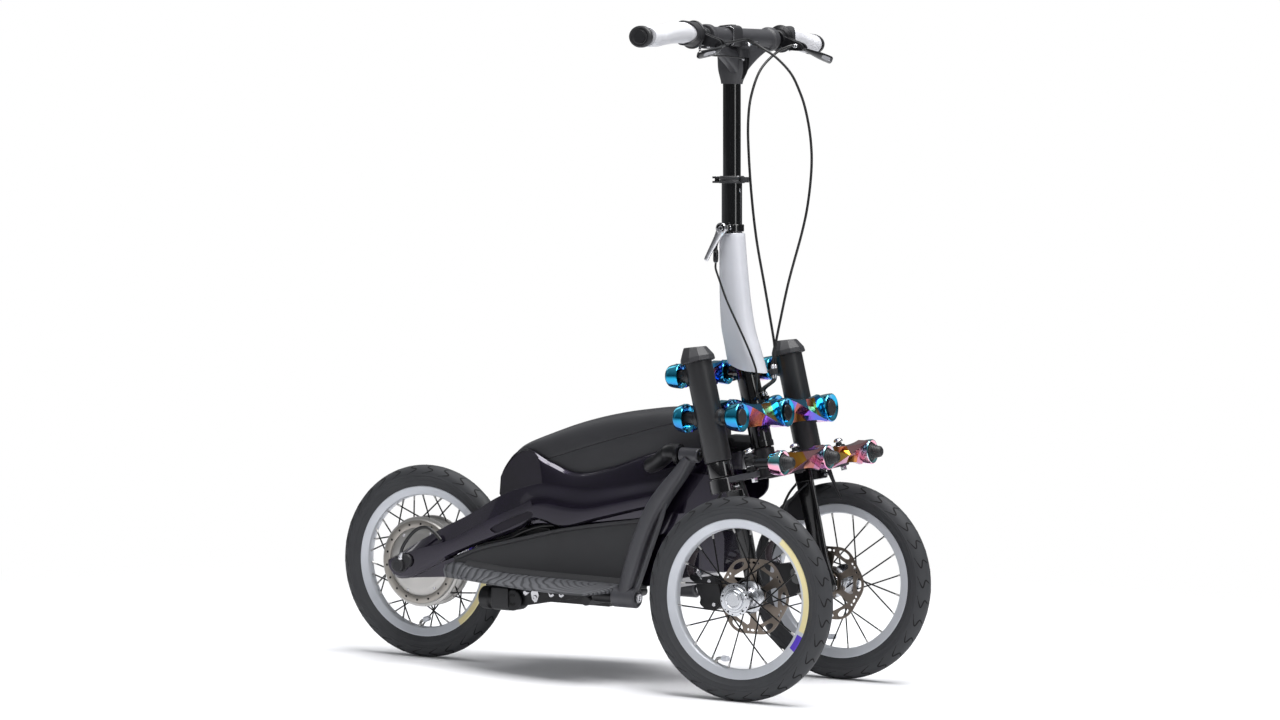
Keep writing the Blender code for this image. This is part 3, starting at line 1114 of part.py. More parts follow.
def make_strut(side, out):
    """The foot frame: a faceted bar between an eye at the hull's lug and one at the foot bar."""
    inner = PANEL_OUTER + SEAT_GAP
    path = [Vector(p) for p in ((0.2190, 0.0, 0.3890), (0.1990, 0.0, 0.3615), (0.1570, 0.0, 0.3085),
                                (0.1290, 0.0, 0.2467), (0.1030, 0.0, 0.1660), (0.1010, 0.0, 0.1560))]
    widths = (0.016, 0.022, STRUT_WIDTH, 0.028, 0.028, 0.026)
    sections = []
    for index, (point, width) in enumerate(zip(path, widths)):
        before, after = path[max(index - 1, 0)], path[min(index + 1, len(path) - 1)]
        way = (after - before).normalized()
        across = Vector((way.z, 0.0, -way.x))
        half, wall = width / 2, 0.0045
        outline = [(-half, inner + wall), (-half + wall, inner), (half - wall, inner), (half, inner + wall),
                   (half, STRUT_OUTER - 2 * wall), (half * 0.35, STRUT_OUTER), (-half * 0.35, STRUT_OUTER),
                   (-half, STRUT_OUTER - 2 * wall)]
        sections.append([point + a * across + Vector((0.0, out * b, 0.0)) for a, b in outline])
    made = piece(side + "_strut", loft(sections), BLACK_SATIN, world_frame, 25)
    for x, z, length in ((TOP_EYE_X, TOP_EYE_Z, TOP_EYE_LENGTH), (LOW_EYE_X, LOW_EYE_Z, LOW_EYE_LENGTH)):
        centre = (0.0, out * FOOT_LINE, z)
        fuse(made, cylinder(EYE_RADIUS, x - length / 2, x + length / 2, 16, "X", centre), world_frame)
    for x, z in ((TOP_EYE_X, TOP_EYE_Z), (LOW_EYE_X, LOW_EYE_Z)):
        cut(made, cylinder(EYE_BOLT_RADIUS + SEAT_GAP, x - 0.05, x + 0.05, 8, "X",
                           (0.0, out * FOOT_LINE, z)), world_frame)
    return made


def make_foot_bar(side, out):
    """The bar under the board, with its drum end, clamp and neck."""
    low, high = sorted((out * BAR_INNER, out * BAR_OUTER))
    side_view = [(-0.1600, 0.1100), (-0.1280, 0.1100), (-0.1250, 0.1150), (0.0400, 0.1405),
                 (0.0520, 0.1450), (0.0520, 0.1600), (-0.1600, 0.1600)]
    top = BOARD_BOTTOM - SEAT_GAP
    side_view = [(x, min(z, top)) for x, z in side_view]
    made = piece(side + "_foot_bar", prism(side_view, low, high, "Y"), BLACK_PLASTIC, world_frame, 25)
    centre = (0.0, out * FOOT_LINE, DRUM_Z)
    fuse(made, cylinder(DRUM_RADIUS, -0.1830, -0.1590, 16, "X", centre), world_frame)
    seat = LOW_EYE_X - LOW_EYE_LENGTH / 2 - SEAT_GAP * 2
    face = LOW_EYE_X + LOW_EYE_LENGTH / 2 + SEAT_GAP * 2
    neck = [(0.0, 0.0400), (0.0085, 0.0400), (NECK_RADIUS, 0.0540), (NECK_RADIUS, seat),
            (EYE_BOLT_RADIUS, seat), (EYE_BOLT_RADIUS, face), (0.0105, face), (0.0105, face + 0.0040),
            (0.0, face + 0.0040)]
    fuse(made, turned(neck, 8, "X", None, (0.0, out * FOOT_LINE, LOW_EYE_Z)), world_frame)
    for x in CROSS_TUBES:
        cut(made, cylinder(CROSS_RADIUS + SEAT_GAP, -CROSS_HALF - SEAT_GAP, CROSS_HALF + SEAT_GAP, 12, "Y",
                           (x, 0.0, CROSS_Z)), world_frame)
    return made


# Cables, each along its own route

def above_clip(place):
    return place[0], place[1], place[2] + 0.0140


def at_bar(forward, y, rise):
    """A place given from the handlebar's middle."""
    return BAR_X + forward, y, BAR_HEIGHT + rise


def make_cables():
    start = LEVER_ARM_FACES[0] - SEAT_GAP
    right_lever = [at_bar(0.0410, -start, -0.0105), at_bar(0.0460, 0.0460 - GRIP_INNER, -0.0090),
                   at_bar(0.0400, -0.0600, -0.0040), at_bar(0.0250, -0.0150, -0.0025),
                   at_bar(0.0260, 0.0, -0.0052), at_bar(0.0387, 0.0100, -0.0149),
                   at_bar(0.0625, 0.0200, -0.0313), at_bar(0.0865, 0.0300, -0.0579),
                   at_bar(0.1020, 0.0340, -0.0880), (0.3539, 0.0350, 0.9802), (0.3640, 0.0350, 0.9350),
                   (0.3675, 0.0350, 0.8877), (0.3640, 0.0330, 0.8300), (0.3555, 0.0300, 0.7776),
                   (0.3327, 0.0280, 0.6922), (0.3197, 0.0240, 0.6240), (0.3150, 0.0180, 0.5850),
                   above_clip(CLIP_RIGHT_TOP), CLIP_RIGHT_TOP]
    cable("right_brake_cable", right_lever)
    left_lever = [at_bar(0.0410, start, -0.0105), at_bar(0.0340, GRIP_INNER - 0.0310, -0.0110),
                  at_bar(0.0150, GRIP_INNER - 0.0460, -0.0235), at_bar(0.0070, 0.0700, -0.0532),
                  at_bar(0.0040, 0.0450, -0.0962), (0.2470, 0.0300, 0.9613), (0.2520, 0.0240, 0.9104),
                  (0.2600, 0.0230, 0.8342), (0.2715, 0.0230, 0.7582), (0.2884, 0.0230, 0.6823),
                  (0.2990, 0.0240, 0.6317), (0.3090, 0.0235, 0.5850), above_clip(CLIP_LEFT_TOP),
                  CLIP_LEFT_TOP]
    cable("left_brake_cable", left_lever)
    for side, top, (forward, y) in (("right", CLIP_RIGHT_TOP, CABLE_STOPS[0]),
                                    ("left", CLIP_LEFT_TOP, CABLE_STOPS[1])):
        start = Vector(top) - Vector((0.0, 0.0, CLIP_HEIGHT + 2 * SEAT_GAP))
        foot = head_point(stop_along + 2 * SEAT_GAP, forward, y)
        above = head_point(stop_along + 0.0120, forward, y)
        route = [start, start - Vector((0.0, 0.0, 0.0100)), above, foot]
        cable(side + "_brake_cable_lower", route, spacing=0.0090)
    x, y, z = LOCK_BARREL
    lock = [(x, y, z - SEAT_GAP), (x + 0.0002, y, z - 0.0100), (0.2270, -0.0290, 0.6960),
            (0.2444, -0.0295, 0.6565), (0.2645, -0.0300, 0.6200), (0.2850, -0.0290, 0.5817),
            (0.2985, -0.0250, 0.5479), (0.3010, -0.0215, 0.5290),
            head_point(stop_along + 0.0120, *CABLE_STOPS[2]),
            head_point(stop_along + 2 * SEAT_GAP, *CABLE_STOPS[2])]
    cable("lean_lock_cable", lock, 0.0018, 0.010)
    thumb = [at_bar(-0.0015, THROTTLE_Y, -0.0165), at_bar(-0.0015, THROTTLE_Y, -0.0250),
             at_bar(0.0050, 0.0510 - GRIP_INNER, -0.0310), at_bar(0.0140, -0.0700, -0.0320),
             at_bar(0.0220, -0.0350, -0.0335), at_bar(0.0219, -0.0185, -0.0355),
             at_bar(0.0155, -0.0137, -0.0360)]
    cable("throttle_cable", thumb, 0.0014, 0.008)
    lead = [(-0.3600, -0.0950, 0.1838), (-0.3560, -0.0955, 0.2020), (-0.3400, -0.0950, 0.2247),
            (-0.3250, -0.0935, 0.2370), (-0.3080, -0.0925, 0.2400), (-0.2930, -0.0915, 0.2320),
            (-0.2800, -0.0912, 0.2200)]
    cable("motor_lead", lead, 0.0030, 0.010)


def head_point(distance, forward, y):
    """A world point in front of the head tube, by its distance along the caster line."""
    back = Matrix.Translation((AXLE_X, 0.0, TYRE_RADIUS)) @ turn_y(-CASTER)
    return tuple(back @ Vector((forward, y, distance)))


def make_clip():
    """The clip that holds both brake cables, in front of the fairing's foot."""
    right, left = Vector(CLIP_RIGHT_TOP), Vector(CLIP_LEFT_TOP)
    high, low = right.z - 2 * SEAT_GAP, right.z - CLIP_HEIGHT
    middle = (right.y + left.y) / 2
    body = box((right.x - 0.0055, middle - 0.0085, low), (right.x + 0.0045, middle + 0.0085, high))
    made = piece("cable_clip", body, BLACK_PLASTIC, world_frame)
    return made


def build():
    for side, out in SIDES:
        make_front_wheel(side, out)
        make_fork_leg(side, out)
        make_caliper(side, out)
        make_side_tube(side)
        make_yoke(side + "_yoke", leg_frames[side], out * LINK_HALF)
        make_grip(side, out)
        make_brake_lever(side, out)
        make_footboard(side, out)
        make_strut(side, out)
        make_foot_bar(side, out)
    make_rear_wheel()
    make_rear_axle()
    make_linkage()
    make_head_tube()
    make_column()
    make_yoke("centre_yoke", head_frame, 0.0)
    make_tie_rod()
    make_fairing()
    make_posts()
    make_lock_lever()
    make_stem_head()
    make_handlebar()
    make_throttle()
    make_display()
    make_hull()
    make_cover()
    make_case()
    make_clip()
    make_cables()


build()
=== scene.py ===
import json
from math import atan2, copysign, cos, dist, pi, radians, sin, sqrt, tanh

import bmesh
import bpy
from mathutils import Matrix, Vector

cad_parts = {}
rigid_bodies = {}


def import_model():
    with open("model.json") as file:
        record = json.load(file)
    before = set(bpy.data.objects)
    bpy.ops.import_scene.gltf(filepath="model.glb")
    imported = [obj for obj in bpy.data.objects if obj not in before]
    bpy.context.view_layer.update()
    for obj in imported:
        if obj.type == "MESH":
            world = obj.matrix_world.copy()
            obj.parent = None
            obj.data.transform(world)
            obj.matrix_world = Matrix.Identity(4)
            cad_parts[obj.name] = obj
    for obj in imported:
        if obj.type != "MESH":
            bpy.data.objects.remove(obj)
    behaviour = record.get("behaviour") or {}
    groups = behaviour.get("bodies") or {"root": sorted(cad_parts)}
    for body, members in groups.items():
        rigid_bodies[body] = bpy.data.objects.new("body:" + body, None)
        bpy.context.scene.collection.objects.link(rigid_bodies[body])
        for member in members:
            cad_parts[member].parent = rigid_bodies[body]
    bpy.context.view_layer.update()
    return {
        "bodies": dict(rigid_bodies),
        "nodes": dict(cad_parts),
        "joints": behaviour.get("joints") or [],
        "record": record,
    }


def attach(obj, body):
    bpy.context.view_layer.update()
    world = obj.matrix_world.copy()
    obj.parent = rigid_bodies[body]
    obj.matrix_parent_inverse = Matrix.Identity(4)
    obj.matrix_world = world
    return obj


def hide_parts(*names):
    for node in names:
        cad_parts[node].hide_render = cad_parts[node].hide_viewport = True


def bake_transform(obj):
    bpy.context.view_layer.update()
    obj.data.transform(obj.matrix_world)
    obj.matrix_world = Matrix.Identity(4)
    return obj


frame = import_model()
nodes = frame["nodes"]
scene = bpy.context.scene
print("frame loaded:", len(nodes), "nodes")

moved = Matrix.Translation


def vec(*values):
    return Vector(values)


# Rows of lengths, given in millimetres one after the other
def mm(*values, by=2):
    return [tuple(round(value / 1000, 6) for value in values[k:k + by]) for k in range(0, len(values), by)]


def rod(radius, low, high):
    return mm(0, low, radius, low, radius, high, 0, high)


# Colours and shader nodes
def linear(hexColour):
    values = [int(hexColour[i:i + 2], 16) / 255 for i in (1, 3, 5)]
    return [v / 12.92 if v <= 0.04045 else ((v + 0.055) / 1.055) ** 2.4 for v in values] + [1]


# A node stands for its first output
def link(tree, source, socket):
    tree.links.new(source.outputs[0] if isinstance(source, bpy.types.Node) else source, socket)


def addNode(tree, kind, inputs=None, **settings):
    node = tree.nodes.new("ShaderNode" + kind)
    for name, value in settings.items():
        setattr(node, name, value)
    for name, value in (inputs or {}).items():
        if isinstance(value, (bpy.types.Node, bpy.types.NodeSocket)):
            link(tree, value, node.inputs[name])
        else:
            node.inputs[name].default_value = value
    return node


def calc(tree, operation, *values):
    return addNode(tree, "Math", dict(enumerate(values)), operation=operation)


def newMaterial(name, slot, colour, roughness, metallic=0, **sockets):
    made = bpy.data.materials.new(name)
    made.use_nodes = True
    tree = made.node_tree
    shader = tree.nodes["Principled BSDF"]
    shader.inputs["Base Color"].default_value = linear(colour)
    shader.inputs["Roughness"].default_value = roughness
    shader.inputs["Metallic"].default_value = metallic
    for socket, value in sockets.items():
        shader.inputs[socket.replace("_", " ")].default_value = value
    return made, tree, shader


def addGrain(tree, shader, grainMm, depthMm, roughSpread=0):
    place = addNode(tree, "TexCoord").outputs["Object"]
    grain = addNode(tree, "TexNoise", {"Vector": place, "Scale": 1000 / grainMm, "Detail": 3})
    bump = addNode(tree, "Bump", {"Height": grain, "Strength": 1, "Distance": depthMm / 1000})
    link(tree, bump, shader.inputs["Normal"])
    if roughSpread:
        middle = shader.inputs["Roughness"].default_value
        spread = addNode(tree, "MapRange", {"Value": grain, "To Min": middle - roughSpread,
            "To Max": middle + roughSpread})
        link(tree, spread, shader.inputs["Roughness"])


def addMottle(tree, shader, darker, lighter, sizeMm):
    place = addNode(tree, "TexCoord").outputs["Object"]
    cloud = addNode(tree, "TexNoise", {"Vector": place, "Scale": 1000 / sizeMm, "Detail": 2})
    mix = addNode(tree, "Mix", data_type="RGBA")
    mix.inputs["A"].default_value = linear(darker)
    mix.inputs["B"].default_value = linear(lighter)
    link(tree, cloud, mix.inputs["Factor"])
    link(tree, mix.outputs["Result"], shader.inputs["Base Color"])


def plain(name, slot, darker, lighter, roughness, metallic=0, *, grainMm, depthMm, mottleMm=60, spread=0.04,
        **more):
    made, tree, shader = newMaterial(name, slot, lighter, roughness, metallic, **more)
    addMottle(tree, shader, darker, lighter, mottleMm)
    addGrain(tree, shader, grainMm, depthMm, spread)
    return made


# Dull charcoal with faint clouds, so the tyres look dry and used
tyreRubber = plain("tyre rubber", "tyre_rubber", "#2a2b2e", "#343538", 0.68, grainMm=0.9, depthMm=0.05,
    mottleMm=30)
# Painted shade: nearly black and matt, so each groove reads as deep
sipeShade = plain("painted shade in a sipe", "tyre_rubber", "#050506", "#0a0a0b", 0.9, grainMm=0.9,
    depthMm=0.02)
# A soft silver that spreads the light along the rims
rimAlloy = plain("silver anodised alloy", "rim_metal", "#b9bcc2", "#cfd2d8", 0.38, 0.35, grainMm=0.5,
    depthMm=0.004)
# Smooth bright metal that mirrors the studio
hubAlloy = plain("polished alloy", "polished_hub", "#b4b6ba", "#d6d8dc", 0.24, 1, grainMm=0.6, depthMm=0,
    spread=0.03)
# Darker and warmer metal with a fine grain, as after the first rides
rotorSteel = plain("brushed rotor steel", "rotor_steel", "#6d645c", "#8f857b", 0.34, 1, grainMm=0.35,
    depthMm=0.006)
# Small sharp highlights on screws and trims
brightSteel = plain("bright screw steel", "bright_steel", "#b5b5b8", "#dcdcdf", 0.22, 1, grainMm=0.4,
    depthMm=0.004)
# Pale dots where the spokes meet the rim
brass = plain("nickelled nipple brass", "bright_steel", "#9b9a98", "#c4c3c1", 0.3, 1, grainMm=0.4,
    depthMm=0.003)
# Thin dark wires with a narrow glint
spokeBlack = plain("black spoke wire", "black_steel", "#0c0c0d", "#161617", 0.28, 0.6, grainMm=0.5,
    depthMm=0.003)
# A soft even sheen on tubes
satinBlack = plain("satin black powder coat", "black_steel", "#151517", "#1f1f22", 0.42, grainMm=0.45,
    depthMm=0.012)
# Long sharp reflections on the posts and fork blades
glossBlack = plain("gloss black lacquer", "black_gloss_alloy", "#070708", "#0c0c0e", 0.14, grainMm=2,
    depthMm=0.003, Coat_Weight=0.6)
# Slightly rough and metallic, as cast clamps look
castBlack = plain("black cast alloy", "moulded_black", "#111113", "#1b1b1e", 0.34, 0.35, grainMm=0.6,
    depthMm=0.015)
# Matt plastic, quiet beside the lacquer
mouldedBlack = plain("black moulded plastic", "moulded_black", "#1b1b1d", "#262629", 0.52, grainMm=0.5,
    depthMm=0.02)
# A little lighter than black, so that seams show
charcoal = plain("charcoal moulded plastic", "moulded_charcoal", "#242427", "#2f2f32", 0.5, grainMm=0.45,
    depthMm=0.02)
# Almost black, violet where the light grazes the clear coat
hullPaint = plain("dark violet metallic paint", "violet_black_shell", "#120c1b", "#21172f", 0.26, 0.75,
    grainMm=0.25, depthMm=0, Coat_Weight=1)
# Smooth cool white that turns grey in the shade
whiteShell = plain("white moulded shell", "white_shell", "#bfc0c6", "#cbccd2", 0.26, grainMm=2.5,
    depthMm=0.004, Coat_Weight=0.3)
# Dark plastic with one thin highlight
cableSkin = plain("cable housing", "cable_skin", "#0b0b0c", "#141415", 0.36, grainMm=0.8, depthMm=0.01)
print("materials made:", len(bpy.data.materials))

# The head tube keeps its CAD shape; pieces stand for all the other nodes
headTube = nodes["head_tube"].data.materials
headTube.clear()
headTube.append(glossBlack)

# Building and placing pieces


def addPiece(name, bm, finish, body, replaced=(), smooth=30):
    bmesh.ops.remove_doubles(bm, verts=bm.verts, dist=1e-6)
    bmesh.ops.recalc_face_normals(bm, faces=bm.faces)
    mesh = bpy.data.meshes.new(name)
    bm.to_mesh(mesh)
    bm.free()
    mesh.materials.append(finish)
    mesh.shade_smooth()
    mesh.set_sharp_from_angle(angle=radians(smooth))
    made = bpy.data.objects.new(name, mesh)
    scene.collection.objects.link(made)
    if body:
        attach(made, body)
    if replaced:
        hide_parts(*replaced)
    return made


def bridgeRings(bm, rings, closed=True):
    for lower, upper in zip(rings, rings[1:]):
        for step in range(len(lower) if closed else len(lower) - 1):
            after = (step + 1) % len(lower)
            bm.faces.new([lower[step], lower[after], upper[after], upper[step]])


def lathe(bm, profile, steps, matrix=Matrix.Identity(4), axis="Y", closed=True):
    rings = []
    for radius, distance in profile:
        ringVerts = []
        if radius > 1e-7:
            for step in range(steps):
                angle = 2 * pi * step / steps
                a, b = radius * cos(angle), radius * sin(angle)
                place = {"X": (distance, a, b), "Y": (b, distance, a), "Z": (a, b, distance)}[axis]
                ringVerts.append(bm.verts.new(matrix @ Vector(place)))
        rings.append(ringVerts)
    pairs = list(zip(rings, rings[1:] + (rings[:1] if closed else [])))
    for lower, upper in pairs:
        if lower and upper:
            bridgeRings(bm, [lower, upper])
        elif lower or upper:
            bm.faces.new(lower or upper)


def loftSections(bm, sections, capped=True):
    rings = [[bm.verts.new(point) for point in section] for section in sections]
    bridgeRings(bm, rings)
    if capped:
        bm.faces.new(rings[0])
        bm.faces.new(rings[-1])


def smoothLine(points, perSpan):
    given = [Vector(point) for point in points]
    padded = [2 * given[0] - given[1]] + given + [2 * given[-1] - given[-2]]
    route = []
    for before, start, end, after in zip(padded, padded[1:], padded[2:], padded[3:]):
        for step in range(perSpan):
            t = step / perSpan
            route.append(0.5 * (2 * start + (end - before) * t
                + (2 * before - 5 * start + 4 * end - after) * t * t
                + (3 * start - before - 3 * end + after) * t ** 3))
    return route + [given[-1]]


def tube(bm, route, radius, steps):
    count = len(route)
    radii = radius if isinstance(radius, (list, tuple)) else [radius] * count
    points = [Vector(point) for point in route]
    way = (points[1] - points[0]).normalized()
    side = way.cross(vec(0.31, 0.17, 0.93)).normalized()
    rings = []
    for index, point in enumerate(points):
        ahead = (points[min(index + 1, count - 1)] - points[max(index - 1, 0)]).normalized()
        side = (side - ahead * side.dot(ahead)).normalized()
        up = ahead.cross(side)
        rings.append([bm.verts.new(point + radii[index] * (cos(a) * side + sin(a) * up))
            for a in (2 * pi * k / steps for k in range(steps))])
    bridgeRings(bm, rings)
    bm.faces.new(rings[0])
    bm.faces.new(rings[-1])


def prism(bm, outline, low, high, axis="Y", matrix=Matrix.Identity(4)):
    order = {"X": (2, 0, 1), "Y": (0, 2, 1), "Z": (0, 1, 2)}[axis]
    ends = [[bm.verts.new(matrix @ vec(*((a, b, h)[k] for k in order))) for a, b in outline]
        for h in sorted((low, high))]
    bridgeRings(bm, ends)
    for end in ends:
        bm.faces.new(end)


def roundEdges(made, width, segments, angle):
    weld = made.modifiers.new("weld", "WELD")
    weld.merge_threshold = 0.00002
    bevel = made.modifiers.new("round edges", "BEVEL")
    bevel.width = width
    bevel.segments = segments
    bevel.limit_method = "ANGLE"
    bevel.angle_limit = radians(angle)
    bevel.harden_normals = True


def screw(bm, matrix, radius, height, socket=0.55):
    edge = 0.18 * radius
    lathe(bm, [(0, -height), (radius, -height), (radius, -edge), (radius - edge, 0), (socket * radius, 0)],
        18, matrix, "Z", closed=False)
    rim = [bm.verts.new(matrix @ vec(socket * radius * cos(a), socket * radius * sin(a), 0))
        for a in (2 * pi * k / 18 for k in range(18))]
    deep = [bm.verts.new(matrix @ vec(socket * radius * 0.86 * cos(a), socket * radius * 0.86 * sin(a),
        -0.5 * height)) for a in (pi * k / 9 for k in range(18))]
    bridgeRings(bm, [rim, deep])
    bm.faces.new(deep)


def facing(place, direction):
    matrix = Vector(direction).to_track_quat("Z", "Y").to_matrix().to_4x4()
    return moved(place) @ matrix


bothSides = (("right", -1), ("left", 1))
axleHeight = 0.1705
frontAxle = 0.3648
halfTrack = 0.183
rearPlace = vec(-0.3648, 0, axleHeight)
casterAngle = radians(14.5)
leanTilt = radians(4)
leanPlace = vec(0.288457, 0, 0.4657)
leanMatrix = moved(leanPlace) @ Matrix.Rotation(-leanTilt, 4, "Y")
headMatrix = moved((frontAxle, 0, axleHeight)) @ Matrix.Rotation(-casterAngle, 4, "Y")
legMatrix = {side: moved((frontAxle, out * 0.162, axleHeight)) @ Matrix.Rotation(-casterAngle, 4, "Y")
    for side, out in bothSides}
wheelPlaces = {"right_front": (vec(frontAxle, -halfTrack, axleHeight), "right_front_wheel"),
    "left_front": (vec(frontAxle, halfTrack, axleHeight), "left_front_wheel"),
    "rear": (rearPlace, "rear_wheel")}

# Tyres: a round section with long curved sipes over each shoulder, drawn as strips of painted shade

tyreSettings = {"outer": 0.1705, "middle": 0.1515, "halfWidth": 0.0178, "bead": 0.1336, "beadHalf": 0.011,
    "sipes": 30, "sipeHalf": 0.00125, "around": 360}


def tyreSection(s):
    high = tyreSettings["outer"] - tyreSettings["middle"]
    angle = s * radians(128)
    radius = tyreSettings["middle"] + high * cos(angle)
    y = tyreSettings["halfWidth"] * sin(angle)
    if abs(s) > 0.8:
        t = (abs(s) - 0.8) / 0.2
        edge = radians(128) * 0.8
        startRadius = tyreSettings["middle"] + high * cos(edge)
        startY = tyreSettings["halfWidth"] * sin(edge)
        radius = startRadius + (tyreSettings["bead"] - startRadius) * t
        y = copysign(startY + (tyreSettings["beadHalf"] - startY) * t ** 1.4, s)
    return radius, y


def sipeSway(t):
    return 1.25 * t - 0.42 * tanh(9 * (t - 0.52)) - 0.25 * sin(pi * t)


def sidewallLine(s):
    lines = ((0.66, 0.012, 0.0005), (0.735, 0.01, 0.0004), (0.86, 0.02, 0.0006))
    return sum(tall * max(0, 1 - abs(abs(s) - place) / half) for place, half, tall in lines)


def makeTyre(side, place, body, node):
    bm = bmesh.new()
    around = tyreSettings["around"]
    stations = [-1, -0.93, -0.88, -0.86, -0.84, -0.8, -0.75, -0.735, -0.72, -0.68, -0.66, -0.64]
    stations += [-0.6 + 0.048 * k for k in range(26)] + [-s for s in reversed(stations)]
    shape = [(s,) + tyreSection(s) for s in stations]
    rings = []
    for step in range(around):
        turnShare = step / around
        c, n = cos(2 * pi * turnShare), sin(2 * pi * turnShare)
        ringVerts = []
        for s, radius, y in shape:
            y += copysign(sidewallLine(s), s)
            ringVerts.append(bm.verts.new(place + vec(radius * n, y, radius * c)))
        rings.append(ringVerts)
    bridgeRings(bm, rings + rings[:1], closed=False)
    # The inner wall, hidden by the rim
    for first, last in ((rings[k], rings[(k + 1) % around]) for k in range(around)):
        bm.faces.new([first[0], first[-1], last[-1], last[0]])
    addPiece(side + "_tyre_tread", bm, tyreRubber, body, [node], 40)
    # Each sipe is a dark tapering line of painted shade, laid along its curve on the tyre's shoulder
    lines = bmesh.new()
    half = tyreSettings["sipeHalf"]
    for sign in (-1, 1):
        for k in range(tyreSettings["sipes"]):
            spots, widths = [], []
            for step in range(41):
                t = step / 40
                turn = 2 * pi * (k + 0.25 * sign - sipeSway(t)) / tyreSettings["sipes"]
                radius, y = tyreSection(sign * (0.05 + 0.56 * t))
                # The section's own outward direction lifts the line clear of the rubber
                out = vec((radius - tyreSettings["middle"]), y).normalized() * 0.00022
                r = radius + out.x
                spots.append((vec(r * sin(turn), y + out.y, r * cos(turn)),
                    vec(out.x * sin(turn), out.y, out.x * cos(turn)).normalized()))
                widths.append(half * (0.25 + 0.75 * sin(pi * min(1, 1.15 * t)) ** 0.5))
            edges = []
            for index, (spot, normal) in enumerate(spots):
                way = spots[min(index + 1, 40)][0] - spots[max(index - 1, 0)][0]
                across = way.cross(normal).normalized() * widths[index]
                edges.append((lines.verts.new(place + spot - across), lines.verts.new(place + spot + across)))
            for (a, b), (c, d) in zip(edges, edges[1:]):
                lines.faces.new((a, b, d, c))
    addPiece(side + "_tyre_sipe_shade", lines, sipeShade, body, smooth=40)


for side, (place, body) in wheelPlaces.items():
    makeTyre(side, place, body, side + "_tyre")
print("tyres made")

# Rims, spokes and nipples, valves

rimSettings = {"outer": 0.1334, "half": 0.0112, "inner": 0.1172}
rimBands = {"right_front": ((-36.5, -24, "#5a3fc0"), (-21, 52, "#e6d9a4")), "rear": ((-54, -12, "#e6d9a4"),)}


def bandedRim(name, place, bands):
    made = rimAlloy.copy()
    made.name = name
    tree = made.node_tree
    shader = next(node for node in tree.nodes if node.type == "BSDF_PRINCIPLED")
    parts = addNode(tree, "SeparateXYZ", {"Vector": addNode(tree, "TexCoord").outputs["Object"]})
    across = calc(tree, "SUBTRACT", parts.outputs["X"], place.x)
    upward = calc(tree, "SUBTRACT", parts.outputs["Z"], place.z)
    angle = calc(tree, "ARCTAN2", upward, across)
    face = calc(tree, "LESS_THAN", parts.outputs["Y"], place.y - 0.0098)
    given = shader.inputs["Base Color"].links[0].from_socket
    for low, high, colour in bands:
        after = calc(tree, "GREATER_THAN", angle, radians(low))
        before = calc(tree, "LESS_THAN", angle, radians(high))
        within = calc(tree, "MULTIPLY", after, before)
        share = calc(tree, "MULTIPLY", within, face)
        mix = addNode(tree, "Mix", {}, data_type="RGBA")
        link(tree, share, mix.inputs["Factor"])
        link(tree, given, mix.inputs["A"])
        mix.inputs["B"].default_value = linear(colour)
        given = mix.outputs["Result"]
    link(tree, given, shader.inputs["Base Color"])
    return made


def makeRim(side, place, body, node):
    r, h, inner = rimSettings["outer"], rimSettings["half"], rimSettings["inner"]
    half = [(r - 0.0062, 0), (r - 0.0058, h - 0.0022), (r - 0.0002, h - 0.0019), (r, h - 0.0012),
        (r, h - 0.0003), (r - 0.0006, h), (r - 0.0016, h), (r - 0.0024, h - 0.0004),
        (inner + 0.0042, h - 0.0016), (inner + 0.002, h - 0.0024), (inner + 0.0006, h - 0.0042),
        (inner, h - 0.0062), (inner - 0.0002, 0)]
    profile = [(radius, -y) for radius, y in half[::-1]] + half[1:-1]
    bm = bmesh.new()
    lathe(bm, profile, 160, moved(place))
    finish = bandedRim(side + " rim with bands", place, rimBands[side]) if side in rimBands else rimAlloy
    addPiece(side + "_rim_shell", bm, finish, body, [node])


def spokeEnds(count, hubRadius, flanges, lag, reach):
    for index in range(count):
        rimAngle = 2 * pi * (index + 0.5) / count
        flange = flanges[index % 2]
        outward = (index // 2) % 2
        hubAngle = rimAngle + (lag if outward else -lag)
        tuck = 0.001 if outward else -0.001
        start = vec(hubRadius * cos(hubAngle), flange + tuck, hubRadius * sin(hubAngle))
        end = vec(reach * cos(rimAngle), 0.12 * flange, reach * sin(rimAngle))
        yield start, end


def makeSpokes(side, place, body, count, hubRadius, flanges, lag):
    wires, nipples = bmesh.new(), bmesh.new()
    for start, end in spokeEnds(count, hubRadius, flanges, lag, 0.118):
        way = (end - start).normalized()
        tube(wires, [place + start, place + start + 0.004 * way, place + end - 0.012 * way, place + end],
            [0.0014, 0.0013, 0.0013, 0.0013], 8)
        # The bent head in its flange hole
        tube(wires, [place + start + vec(0, 0.0021, 0), place + start - vec(0, 0.0021, 0)], 0.0015, 8)
        tube(nipples, [place + end - 0.009 * way, place + end - 0.007 * way, place + end - 0.002 * way,
            place + end], [0.0015, 0.0017, 0.0018, 0.002], 10)
    addPiece(side + "_spokes", wires, spokeBlack, body, smooth=32)
    addPiece(side + "_nipples", nipples, brass, body, smooth=32)


